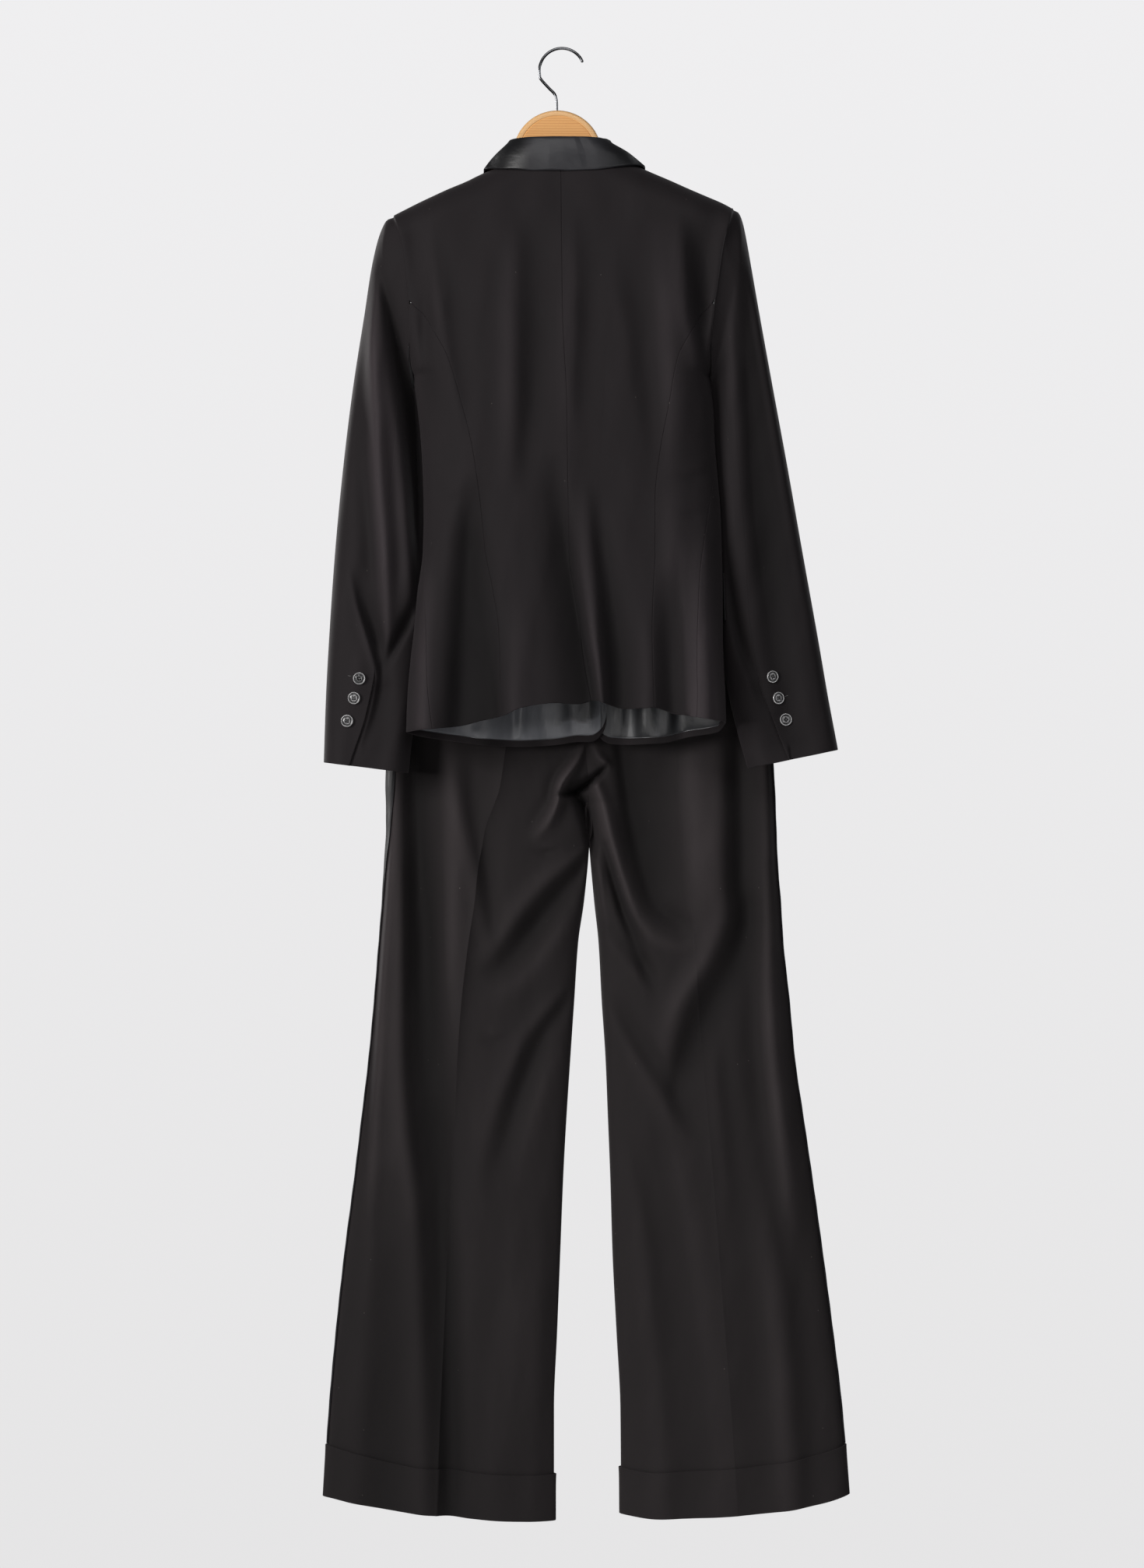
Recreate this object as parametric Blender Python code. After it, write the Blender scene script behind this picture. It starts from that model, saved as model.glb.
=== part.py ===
"""A woman's black dinner trouser suit on a wooden hanger.

The jacket hangs from the hanger's shoulders. The trousers hang at full length
in front of the jacket (towards -Y) from a chrome drop wire and clip bar.
The wearer's back faces +Y and the wearer's left is +X. The origin is the inner
crown of the hook, where a rail or a nail carries it. Tables are in millimetres;
"down" is the distance below the origin, and "across" is +X.
"""

import math

import bpy
import numpy as np

MM = 0.001

JACKET_WALL = 2.0  # wool, canvas and lining together
TROUSER_WALL = 1.5
TRIM_WALL = 1.2  # satin trims
SEAM = 0.15  # each piece stops this far short of its seam line
LIFT = 0.45  # clearance under a piece that lies on another

SHOULDER_ROUND = 35.0  # height over which the shoulder rounds over
UNDERARM = 372.0  # lowest point of the armholes
UNDERARM_ROUND = 60.0
NECK_HALF = 75.0  # neck point of the shoulder seam, from the middle
LAP = 8.0  # each front passes the centre front line by this much
CROTCH = 860.0
CROTCH_ROUND = 70.0
TROUSER_TOP = 600.0  # where the trousers meet the waistband
BAND_HEIGHT = 40.0
BUTTON_RADIUS = 7.5


class Table:
    """Rows of numbers under named columns, read on a smooth monotone curve."""

    def __init__(self, names, *rows):
        self.names = names.split()
        self.rows = np.array(rows, float)

    def __call__(self, name, at):
        knots = self.rows[:, 0]
        values = self.rows[:, self.names.index(name)]
        at = np.clip(np.asarray(at, float), knots[0], knots[-1])
        step = np.diff(knots)
        slope = np.diff(values) / step
        tangent = np.empty(len(knots))
        tangent[0], tangent[-1] = slope[0], slope[-1]
        same = slope[:-1] * slope[1:] > 0
        total = np.where(same, slope[:-1] + slope[1:], 1.0)
        tangent[1:-1] = np.where(same, 2 * slope[:-1] * slope[1:] / total, 0.0)
        i = np.clip(np.searchsorted(knots, at, side="right") - 1, 0, len(step) - 1)
        t = (at - knots[i]) / step[i]
        h = step[i]
        return (
            (1 + 2 * t) * (1 - t) ** 2 * values[i]
            + t * (1 - t) ** 2 * h * tangent[i]
            + t**2 * (3 - 2 * t) * values[i + 1]
            + t**2 * (t - 1) * h * tangent[i + 1]
        )


# The jacket's body. left and right are its side edges, back and front its
# depths at the middle, hinge the depth of the edge itself, square how boxy the
# back is.
BODY = Table(
    "down left right back front hinge square",
    (130, 208, 209, 40, 34, 0, 1.0),
    (187, 193.4, 194.4, 48, 42, 0, 1.0),
    (229, 180.6, 183.5, 53, 46, -2, 1.0),
    (272, 175.3, 177, 55, 49, -5, 1.0),
    (304, 173.5, 172.5, 55, 50, -8, 0.95),
    (344, 173.2, 169.5, 54, 50.5, -11, 0.65),
    (372, 171.3, 170, 53, 50, -12, 0.5),
    (412, 165.5, 174.0, 51, 49, -9, 0.5),
    (452, 161.4, 175.6, 48.5, 48, -7, 0.5),
    (492, 159.3, 178.9, 45, 46.5, -5.5, 0.5),
    (532, 158.4, 182.0, 43, 46, -4.5, 0.5),
    (573, 159.3, 183.3, 43, 46, -4, 0.5),
    (620, 165.5, 184.2, 45.5, 46.5, -4, 0.5),
    (664, 169.5, 184.2, 48.5, 47.5, -3, 0.5),
    (700, 173.5, 185.2, 51, 48, -3, 0.5),
    (744, 177.2, 187.5, 53.5, 48.5, -2, 0.5),
    (800, 178.8, 188.5, 56, 49, -2, 0.5),
)
# The line over which the shoulders turn from back to front.
CREST = Table(
    "across down",
    (-205, 188.5),
    (-183, 176),
    (-164, 168),
    (-143, 159),
    (-123, 150),
    (-103, 141.5),
    (-75, 129),
    (0, 97),
    (75, 136),
    (93, 143.5),
    (109, 151.5),
    (129.5, 160),
    (149, 169),
    (168, 178),
    (205, 197),
)
CENTRE_BACK = Table(
    "down across",
    (120, 1),
    (308, -1),
    (413, -6),
    (526, -7.2),
    (581, -8.2),
    (616, -13),
    (656, -19.5),
    (699, -25),
    (760, -36),
)
PRINCESS = Table(
    "down left right",
    (290, 173.8, 173.2),
    (297, 168.5, 168.5),
    (307, 157, 158.5),
    (324, 147, 149),
    (359, 128, 131),
    (406, 114, 122),
    (465, 100, 111),
    (516, 93, 105.8),
    (576, 87, 105.8),
    (616, 79, 104),
    (667, 71.5, 102.5),
    (770, 69, 105.5),
)
# How far each side seam lies in from the body's edge, on the back.
SIDE_SEAM = Table(
    "down left right",
    (372, 0, 0),
    (420, 2, 1),
    (476, 3, 2),
    (515, 3.5, 12),
    (562, 4, 21),
    (610, 7, 28),
    (650, 13, 30),
    (734, 25, 34),
    (790, 34, 37),
)
# The free edges of the two fronts: the V of the neck, then the closing edge.
FRONT_EDGE = Table(
    "down left right",
    (125, 75, -75),
    (136, 75, -75),
    (200, 56, -57),
    (300, 33, -36),
    (400, 12, -18),
    (480, -12, -2),
    (560, -27, -11),
    (620, -35, -19),
    (700, -46, -30),
    (757, -51.5, -36),
    (800, -51.5, -36),
)
BACK_NECK = Table("across down", (-75, 129), (-40, 133), (0, 134), (40, 135), (75, 136))
BACK_HEM = Table(
    "across down",
    (-188, 769),
    (-163, 766),
    (-129, 760.5),
    (-104, 753.6),
    (-74, 755),
    (-34, 745.8),
    (-20, 749.5),
    (7, 748.3),
    (45, 753.6),
    (66, 762.4),
    (93, 768.5),
    (114, 773.8),
    (136, 776.4),
    (179, 780.5),
)
FRONT_HEM = Table(
    "across down",
    (-189, 769),
    (-180, 780),
    (-147, 785.7),
    (-114, 793),
    (-75, 794.5),
    (-50, 793),
    (-20, 791),
    (7, 794.7),
    (46, 797),
    (84, 795.6),
    (117, 791.6),
    (164, 785),
    (179, 780.5),
)
# Sleeves, from shoulder to cuff. out and in are the two edges as the sleeve
# hangs (across, down), each with its depth; back and front are half-depths, and
# round_out and round_in say how much of the width each edge takes to round over.
SLEEVE_LEFT = Table(
    "part out out_down in in_down out_hinge in_hinge back front round_out round_in",
    (0.000, 192.2, 191.5, 171.9, 372.5, 0, -12.5, 42, 32, 0.19, 0.32),
    (0.012, 199.5, 195.0, 172.4, 377, 0, -16, 41, 33, 0.22, 0.34),
    (0.030, 205.5, 204.5, 172.6, 386, -1, -20, 40, 34, 0.28, 0.36),
    (0.060, 211.0, 219.5, 172.0, 400, -2, -24, 39.5, 35, 0.34, 0.40),
    (0.110, 217.8, 249.0, 169.8, 424, -3, -27, 38.5, 36, 0.42, 0.45),
    (0.200, 226.0, 301.0, 164.5, 468, -6, -30, 37, 36, 0.5, 0.5),
    (0.350, 240.0, 386.5, 156.5, 540, -14, -32, 35.5, 35.5, 0.5, 0.5),
    (0.500, 251.7, 478.0, 154.0, 607, -20, -33, 34.5, 34.5, 0.5, 0.5),
    (0.650, 261.0, 571.0, 158.5, 675, -25, -34, 33, 33, 0.5, 0.5),
    (0.800, 268.2, 670.0, 166.0, 738, -29, -34, 31.5, 31.5, 0.5, 0.5),
    (0.900, 272.2, 742.0, 172.0, 782, -31, -34, 30, 30, 0.5, 0.5),
    (1.000, 274.7, 815.0, 177.0, 827, -32, -34, 28, 28, 0.5, 0.5),
)
SLEEVE_RIGHT = Table(
    "part out out_down in in_down out_hinge in_hinge back front round_out round_in",
    (0.000, 195.8, 182.5, 170.7, 372.5, 0, -12.5, 42, 32, 0.19, 0.32),
    (0.012, 202.0, 187.0, 173.2, 377, 0, -16, 41, 33, 0.22, 0.34),
    (0.030, 206.8, 198.0, 176.0, 386, -1, -20, 40, 34, 0.28, 0.36),
    (0.060, 210.5, 214.0, 178.0, 400, -2, -24, 39.5, 35, 0.34, 0.40),
    (0.110, 216.0, 244.0, 178.8, 424, -3, -27, 38.5, 36, 0.42, 0.45),
    (0.200, 225.5, 297.0, 177.5, 468, -6, -30, 37, 36, 0.5, 0.5),
    (0.350, 242.3, 386.2, 177.5, 540, -14, -32, 35.5, 35.5, 0.5, 0.5),
    (0.500, 259.3, 475.7, 179.0, 607, -20, -33, 34.5, 34.5, 0.5, 0.5),
    (0.650, 276.5, 571.0, 182.0, 672, -25, -34, 33, 33, 0.5, 0.5),
    (0.800, 295.0, 672.0, 191.5, 734, -29, -34, 31.5, 31.5, 0.5, 0.5),
    (0.900, 306.5, 738.0, 201.5, 777, -31, -34, 30, 30, 0.5, 0.5),
    (1.000, 318.4, 800.4, 214.2, 821.8, -32, -34, 28, 28, 0.5, 0.5),
)
# Place of the sleeve seams as a share of the sleeve's width, from the outer edge.
SLEEVE_SEAM = Table(
    "part back_left back_right front",
    (0.0, 0.56, 0.56, 0.80),
    (0.4, 0.55, 0.60, 0.80),
    (0.8, 0.53, 0.68, 0.80),
    (0.9, 0.47, 0.62, 0.80),
    (1.0, 0.31, 0.55, 0.80),
)
# The two legs: outer and inner edges (across), half-depth, and the pressed crease.
LEG_LEFT = Table(
    "down out in depth crease",
    (600, 163, -20, 8, 62),
    (650, 181, -20.5, 13, 62),
    (700, 193, -21.5, 18, 62),
    (760, 202, -24, 22, 63),
    (842, 205.3, -31, 25, 72),
    (890, 204.6, -31, 26, 89),
    (934, 207.1, -30, 26, 97),
    (979, 209.8, -23, 25, 102),
    (1025, 213.5, -18.9, 24, 109),
    (1093, 218.9, -14.3, 23, 117),
    (1161, 225.3, -9.7, 22, 122),
    (1230, 233.5, -5.2, 21, 125),
    (1298, 241.7, -1.5, 21, 129),
    (1389, 253.6, 2.1, 21, 134),
    (1480, 263.6, 5.7, 21, 138),
    (1571, 271.8, 9.4, 21, 142),
    (1700, 280, 9.4, 21, 147),
)
LEG_RIGHT = Table(
    "down out in depth crease",
    (600, -198, -20, 8, -104),
    (650, -217, -20.5, 13, -112),
    (700, -230, -21.5, 18, -120),
    (760, -241, -24, 22, -128),
    (842, -247.6, -31, 25, -136),
    (890, -249.4, -31, 26, -140),
    (934, -251.2, -33, 26, -145),
    (979, -254.8, -38, 25, -150),
    (1025, -257.6, -42.5, 24, -154),
    (1093, -264.9, -46.2, 23, -159),
    (1161, -271.2, -50.7, 22, -164),
    (1230, -281.3, -53.5, 21, -170),
    (1298, -291.3, -56.2, 21, -176),
    (1389, -304, -58.9, 21, -183),
    (1480, -315.9, -63.5, 21, -190),
    (1571, -326.8, -68.1, 21, -197),
    (1700, -337, -69, 21, -205),
)
# Hems and turn-ups by share of the leg's width, from the outer edge.
LEG_HEM = Table(
    "share left right turn_left turn_right",
    (0.0, 1671, 1668.6, 59, 57),
    (0.14, 1678.6, 1678.5, 57, 56),
    (0.28, 1685, 1684.5, 54, 55),
    (0.45, 1690.8, 1689.5, 53, 54),
    (0.65, 1695.2, 1693, 53, 54),
    (0.85, 1698.6, 1695, 53, 53),
    (1.0, 1699.4, 1691, 53, 53),
)
TROUSER_HINGE = -93.0  # depth of the trousers' side edges

# The collar, from the middle of the back (0) round to its front end (1).
# stand: the seam at the neck; fold: where it turns over; both as across, depth,
# down. leaf: its outer edge, as across and down on the jacket.
COLLAR = Table(
    "part stand_x stand_y stand_d fold_x fold_y fold_d leaf_x leaf_d",
    (0.00, 0, 36.5, 132.5, 0, 43.5, 111.0, 0, 148),
    (0.18, 25, 35, 132.5, 27, 42, 111.2, 38, 147.5),
    (0.36, 47, 28, 132, 47.5, 34, 111.5, 66, 146.5),
    (0.52, 62, 15, 131.5, 56.5, 19, 112.5, 87, 144.5),
    (0.66, 69, -3, 130.5, 58, -4, 116, 97, 149),
    (0.82, 65, -22, 145, 52.5, -28, 136, 98, 166),
    (1.00, 57, -35.5, 170, 48, -42.5, 168, 92, 190),
)
LAPEL = Table(
    "down width",
    (197, 40),
    (206, 66),
    (222, 86),
    (250, 82),
    (310, 68),
    (390, 40),
    (432, 18),
    (448, 8),
)

for old in list(bpy.data.objects):
    bpy.data.objects.remove(old, do_unlink=True)


def material(name, colour, roughness, metallic=0.0):
    made = bpy.data.materials.new(name)
    made.use_nodes = True
    shader = made.node_tree.nodes["Principled BSDF"]
    shader.inputs["Base Color"].default_value = (*colour, 1.0)
    shader.inputs["Roughness"].default_value = roughness
    shader.inputs["Metallic"].default_value = metallic
    return made


WOOL = material("suiting", (0.022, 0.019, 0.020), 0.85)
SATIN = material("satin", (0.045, 0.045, 0.052), 0.35)
LINING = material("lining", (0.055, 0.058, 0.064), 0.4)
HORN = material("buttons", (0.012, 0.012, 0.013), 0.3)
BEECH = material("wood", (0.73, 0.38, 0.15), 0.45)
CHROME = material("chrome", (0.8, 0.8, 0.8), 0.12, 1.0)


def rounding(amount):
    """A quarter circle: 0 at the edge, 1 from amount 1 inwards."""
    return np.sqrt(np.maximum(1 - (1 - np.clip(amount, 0, 1)) ** 2, 0))


def ease(amount):
    amount = np.clip(amount, 0, 1)
    return amount * amount * (3 - 2 * amount)


def stacked(across, depth, down):
    return np.stack(np.broadcast_arrays(across, depth, -np.asarray(down)), axis=-1)


# ---------------------------------------------------------------- jacket body


def body_middle(down):
    return (BODY("left", down) - BODY("right", down)) / 2


def body_half(down):
    return (BODY("left", down) + BODY("right", down)) / 2


def body_depth(side, across, down):
    """Depth of the jacket's surface; side is +1 on the back and -1 on the front."""
    s = np.clip(np.abs(across - body_middle(down)) / body_half(down), 0, 1)
    hinge = BODY("hinge", down)
    over_shoulder = rounding((down - CREST("down", across)) / SHOULDER_ROUND)
    by_armhole = rounding((UNDERARM - down) / UNDERARM_ROUND)
    power = np.where(side > 0, 3.2, 2.2)
    inner = (1 - s**power) ** BODY("square", down)
    at_edge = np.where(side > 0, 42.0, 32.0) * by_armhole
    middle = np.where(side > 0, BODY("back", down) - hinge, BODY("front", down) + hinge)
    return hinge + side * over_shoulder * (at_edge * (1 - inner) + middle * inner)


def body_turn(hand, across, down):
    """Angle round the section: 0 at the side edge of that hand, a right angle at the middle."""
    s = hand * (across - body_middle(down)) / body_half(down)
    return np.arccos(np.clip(s, -1, 1))


def body_point(hand, turn, down, front=False):
    """The jacket at an angle round its section: positive turns are on the back."""
    side = np.where((turn < 0) | front, -1.0, 1.0)
    across = body_middle(down) + hand * body_half(down) * np.cos(turn)
    return stacked(across, body_depth(side, across, down), down)


def princess(hand, down):
    side = "left" if hand > 0 else "right"
    return np.where(
        down < 291, hand * BODY(side, down) + 0 * down, hand * PRINCESS(side, down)
    )


def side_seam_turn(hand, down):
    side = "left" if hand > 0 else "right"
    inset = np.where(down > UNDERARM, SIDE_SEAM(side, down), 0.0)
    return np.arccos(np.clip(1 - inset / body_half(down), -1, 1))


def settle(top_of, across_at, start):
    """Height at which a column meets a boundary that is known across."""
    down = np.full(np.shape(start), 0.0) + start
    for _ in range(12):
        down = top_of(across_at(down))
    return down


def back_panel(hand):
    def across_at(a, down):
        middle = CENTRE_BACK("across", down)
        return middle + a * (princess(hand, down) - middle)

    def top(across):
        on_neck = BACK_NECK("down", across)
        return np.where(np.abs(across) < NECK_HALF, on_neck, CREST("down", across))

    def point(a, b):
        high = settle(top, lambda d: across_at(a, d), 150 + 0 * a)
        low = settle(lambda x: BACK_HEM("down", x), lambda d: across_at(a, d), 760 + 0 * a)
        # Both backs share their heights along the centre seam.
        shared = np.interp(b, body_rows(hand), body_rows(1))
        down = high + (a * b + (1 - a) * shared) * (low - high)
        across = across_at(a, down)
        return stacked(across, body_depth(1.0, across, down), down)

    return point


def side_back_panel(hand):
    def point(a, b):
        def across_at(down):
            inner = princess(hand, down)
            turn_in = body_turn(hand, inner, down)
            turn_out = side_seam_turn(hand, down)
            turn = turn_out + (1 - a) * (turn_in - turn_out)
            return turn, body_middle(down) + hand * body_half(down) * np.cos(turn)

        low = settle(lambda x: BACK_HEM("down", x), lambda d: across_at(d)[1], 765 + 0 * a)
        high = seam_span(hand)[0]
        down = high + b * (low - high)
        return body_point(hand, across_at(down)[0], down)

    return point


def front_lap(hand, across, down):
    """The right front rises over the left one where they lap."""
    over = ease((across - FRONT_EDGE("left", down) + 34) / 18.0)
    return np.where(hand < 0, 3.4 * over * ease((down - 436) / 24.0), 0.0)


def front_panel(hand):
    side = "left" if hand > 0 else "right"
    corner_wide, corner_high = 21.0, 31.0

    def turn_at(a, down):
        outer = side_seam_turn(hand, down)
        inner = -body_turn(hand, FRONT_EDGE(side, down), down)
        return outer + a * (inner - outer)

    def across_at(a, down):
        turn = turn_at(a, down)
        return body_middle(down) + hand * body_half(down) * np.cos(turn)

    def bottom(a, down):
        across = across_at(a, down)
        past = 1 - hand * (across - FRONT_EDGE(side, 757.0)) / corner_wide
        lift = corner_high * (1 - rounding(1 - np.clip(past, 0, 1)))
        in_front = FRONT_HEM("down", across) - lift
        return np.where(turn_at(a, down) > 0, BACK_HEM("down", across), in_front)

    def point(a, b):
        high = settle(lambda x: CREST("down", x), lambda d: across_at(a, d), 150 + 0 * a)
        low = 785 + 0 * a
        for _ in range(12):
            low = bottom(a, low)
        down = high + b * (low - high)
        turn = turn_at(a, down)
        in_front = (turn < 0) | ((down < UNDERARM + 0.01) & (turn <= 1e-6))
        flat = body_point(hand, turn, down, in_front)
        flat[..., 1] -= front_lap(hand, flat[..., 0], down) * in_front
        return flat

    return point


# -------------------------------------------------------------------- sleeves


def sleeve_point(hand, part, turn):
    """A sleeve: turn 0 is its outer edge, positive turns are on the back."""
    table = SLEEVE_LEFT if hand > 0 else SLEEVE_RIGHT
    share = (1 - np.cos(turn)) / 2
    side = np.where(turn < 0, -1.0, 1.0)
    across = table("out", part) * (1 - share) + table("in", part) * share
    down = table("out_down", part) * (1 - share) + table("in_down", part) * share
    near_armhole = 1 - ease(part / 0.06)
    # The armhole seam bows towards the middle of the jacket.
    seam = BODY("left" if hand > 0 else "right", down) + 0.35
    across = across + near_armhole * (seam - across)
    hinge = table("out_hinge", part) * (1 - share) + table("in_hinge", part) * share
    hinge = hinge + near_armhole * (BODY("hinge", down) - hinge)
    round_over = rounding(share / table("round_out", part)) * rounding(
        (1 - share) / table("round_in", part)
    )
    half = np.where(side > 0, table("back", part), table("front", part))
    return stacked(hand * across, hinge + side * half * round_over, down)


def sleeve_seam_turn(hand, part, which):
    name = "front" if which == "front" else "back_" + ("left" if hand > 0 else "right")
    share = SLEEVE_SEAM(name, part)
    turn = np.arccos(1 - 2 * share)
    return -turn if which == "front" else turn


def top_sleeve(hand):
    def point(a, b):
        first = sleeve_seam_turn(hand, b, "front")
        last = sleeve_seam_turn(hand, b, "back")
        return sleeve_point(hand, b, first + a * (last - first))

    return point


def under_sleeve(hand):
    def point(a, b):
        first = sleeve_seam_turn(hand, b, "back")
        last = 2 * math.pi + sleeve_seam_turn(hand, b, "front")
        turn = first + a * (last - first)
        return sleeve_point(hand, b, np.where(turn > math.pi, turn - 2 * math.pi, turn))

    return point


# ------------------------------------------------------------------- trousers


def leg_table(hand):
    return LEG_LEFT if hand > 0 else LEG_RIGHT


def leg_point(hand, side, share, down):
    """A leg: share 0 is its outer edge and 1 its inner one."""
    table = leg_table(hand)
    across = table("out", down) + share * (table("in", down) - table("out", down))
    joined = rounding((CROTCH - down) / CROTCH_ROUND)
    inner = joined + (1 - joined) * rounding((1 - share) / 0.5)
    depth = table("depth", down) * rounding(share / 0.48) * inner
    crease = 3.0 * np.exp(-np.abs(across - table("crease", down)) / 9.0)
    crease = crease * ease((down - 640) / 200)
    return stacked(across, TROUSER_HINGE + side * (depth + crease * inner), down)


def crease_share(hand, down):
    table = leg_table(hand)
    width = table("in", down) - table("out", down)
    return (table("crease", down) - table("out", down)) / width


def leg_share(hand, a, down):
    """Columns run from the outseam to the crease, then to the inseam."""
    middle = crease_share(hand, down)
    outer = middle * (1 - np.cos(math.pi * np.clip(a, 0, 0.5)))
    inner = middle + (1 - middle) * np.sin(math.pi * (np.clip(a, 0.5, 1) - 0.5))
    return np.where(a <= 0.5, outer, inner)


def leg_panel(hand, side):
    name = "left" if hand > 0 else "right"

    def point(a, b):
        low = LEG_HEM(name, leg_share(hand, a, 1690.0 + 0 * a))
        down = TROUSER_TOP + 0.3 + b * (low - TROUSER_TOP - 0.3)
        return leg_point(hand, side, leg_share(hand, a, down), down)

    return point


# ------------------------------------------------------------------ mesh tools


def normals(point, a, b, away):
    """Unit normals of a surface, pointing away from the given core points."""
    small = 1e-4
    a0, a1 = np.maximum(a - small, 0), np.minimum(a + small, 1)
    b0, b1 = np.maximum(b - small, 0), np.minimum(b + small, 1)
    cross = np.cross(point(a1, b) - point(a0, b), point(a, b1) - point(a, b0))
    size = np.linalg.norm(cross, axis=-1, keepdims=True)
    cross = cross / np.maximum(size, 1e-12)
    facing = np.sum(cross * (point(a, b) - away), axis=-1, keepdims=True)
    return np.where(facing < 0, -cross, cross)


def body_core(points):
    core = points.copy()
    down = -points[..., 2]
    core[..., 0] = body_middle(down) + 0.55 * (points[..., 0] - body_middle(down))
    core[..., 1] = BODY("hinge", down)
    core[..., 2] = points[..., 2] - 25
    return core


def edge_pull(points, gaps):
    """Moves the border in by each side's gap: first and last column, first and last row."""
    out = points.copy()
    for gap, here, there in (
        (gaps[0], np.s_[:, 0], np.s_[:, 1]),
        (gaps[1], np.s_[:, -1], np.s_[:, -2]),
        (gaps[2], np.s_[0, :], np.s_[1, :]),
        (gaps[3], np.s_[-1, :], np.s_[-2, :]),
    ):
        if gap:
            along = np.gradient(points[here], axis=0)
            along /= np.linalg.norm(along, axis=-1, keepdims=True)
            way = points[there] - points[here]
            way -= along * np.sum(way * along, axis=-1, keepdims=True)
            out[here] += gap * way / np.linalg.norm(way, axis=-1, keepdims=True)
    return out


def wall(name, outer, inner, finish, ring=False):
    """A closed wall between two grids of points, rows by columns, in millimetres."""
    rows, columns = outer.shape[:2]
    count = rows * columns
    around = columns if ring else columns - 1

    def at(r, c):
        return r * columns + c % columns

    faces = []
    for r in range(rows - 1):
        for c in range(around):
            i, j, k, m = at(r, c), at(r, c + 1), at(r + 1, c + 1), at(r + 1, c)
            for face in ((i, j, k), (i, k, m)):
                faces.append(face)
                faces.append(tuple(count + v for v in reversed(face)))
    borders = [[at(0, c) for c in range(around + 1)]]
    borders.append([at(rows - 1, c) for c in range(around, -1, -1)])
    if not ring:
        borders.append([at(r, columns - 1) for r in range(rows)])
        borders.append([at(r, 0) for r in range(rows - 1, -1, -1)])
    for line in borders:
        for i, j in zip(line, line[1:]):
            faces.append((j, i, count + i, count + j))
    mesh = bpy.data.meshes.new(name)
    points = np.concatenate([outer.reshape(-1, 3), inner.reshape(-1, 3)]) * MM
    mesh.from_pydata(points.tolist(), [], faces)
    turned_out(mesh)
    mesh.materials.append(finish)
    mesh.shade_smooth()
    mesh.set_sharp_from_angle(angle=math.radians(50))
    made = bpy.data.objects.new(name, mesh)
    bpy.context.collection.objects.link(made)
    return made


def turned_out(mesh):
    """Turns every face round when the closed mesh encloses a negative volume."""
    mesh.calc_loop_triangles()
    points = np.array([v.co[:] for v in mesh.vertices])
    corners = np.array([t.vertices[:] for t in mesh.loop_triangles])
    if np.linalg.det(points[corners]).sum() < 0:
        mesh.flip_normals()


def cloth(name, point, a, b, thick, finish, gaps=(0, 0, 0, 0), lift=0.0, core=body_core, ends=()):
    """A panel from its surface: a runs across, b runs down; ends flatten the side normals."""
    grid_a, grid_b = np.meshgrid(np.asarray(a, float), np.asarray(b, float))
    middle = point(grid_a, grid_b)
    out = normals(point, grid_a, grid_b, core(middle))
    for column, rows in ends:
        out[rows, column, 0] = 0
        out[rows, column] /= np.linalg.norm(out[rows, column], axis=-1, keepdims=True)
    middle = edge_pull(middle, gaps)
    lifted = middle + out * np.asarray(lift)[..., None] if np.ndim(lift) else middle + out * lift
    return wall(name, lifted, lifted - out * thick, finish)


def revolve(name, profile, centre, axis, finish, sides=16):
    """A turned piece: profile rows are (radius, height) from one end to the other."""
    axis = np.array(axis, float) / np.linalg.norm(axis)
    helper = np.array([0.0, 0.0, 1.0]) if abs(axis[2]) < 0.9 else np.array([1.0, 0.0, 0.0])
    u = np.cross(axis, helper)
    u /= np.linalg.norm(u)
    v = np.cross(axis, u)
    points, faces, rings = [], [], []
    for radius, height in profile:
        base = np.array(centre, float) + axis * height
        if radius < 1e-6:
            rings.append([len(points)] * sides)
            points.append(base)
            continue
        rings.append(list(range(len(points), len(points) + sides)))
        for k in range(sides):
            t = 2 * math.pi * k / sides
            points.append(base + radius * (u * math.cos(t) + v * math.sin(t)))
    for lower, upper in zip(rings, rings[1:]):
        for k in range(sides):
            quad = [lower[k], lower[(k + 1) % sides], upper[(k + 1) % sides], upper[k]]
            face = [q for i, q in enumerate(quad) if q != quad[i - 1]]
            if len(face) > 2:
                faces.append(face)
    mesh = bpy.data.meshes.new(name)
    mesh.from_pydata((np.array(points) * MM).tolist(), [], faces)
    turned_out(mesh)
    mesh.materials.append(finish)
    mesh.shade_smooth()
    mesh.set_sharp_from_angle(angle=math.radians(40))
    made = bpy.data.objects.new(name, mesh)
    bpy.context.collection.objects.link(made)
    return made


def wire(name, points, radius, finish, resolution=2):
    curve = bpy.data.curves.new(name, "CURVE")
    curve.dimensions = "3D"
    curve.bevel_depth = radius * MM
    curve.bevel_resolution = resolution
    curve.use_fill_caps = True
    curve.twist_mode = "MINIMUM"
    spline = curve.splines.new("POLY")
    spline.points.add(len(points) - 1)
    for spot, place in zip(spline.points, points):
        spot.co = (place[0] * MM, place[1] * MM, place[2] * MM, 1.0)
    curve.materials.append(finish)
    made = bpy.data.objects.new(name, curve)
    bpy.context.collection.objects.link(made)
    return made


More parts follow.
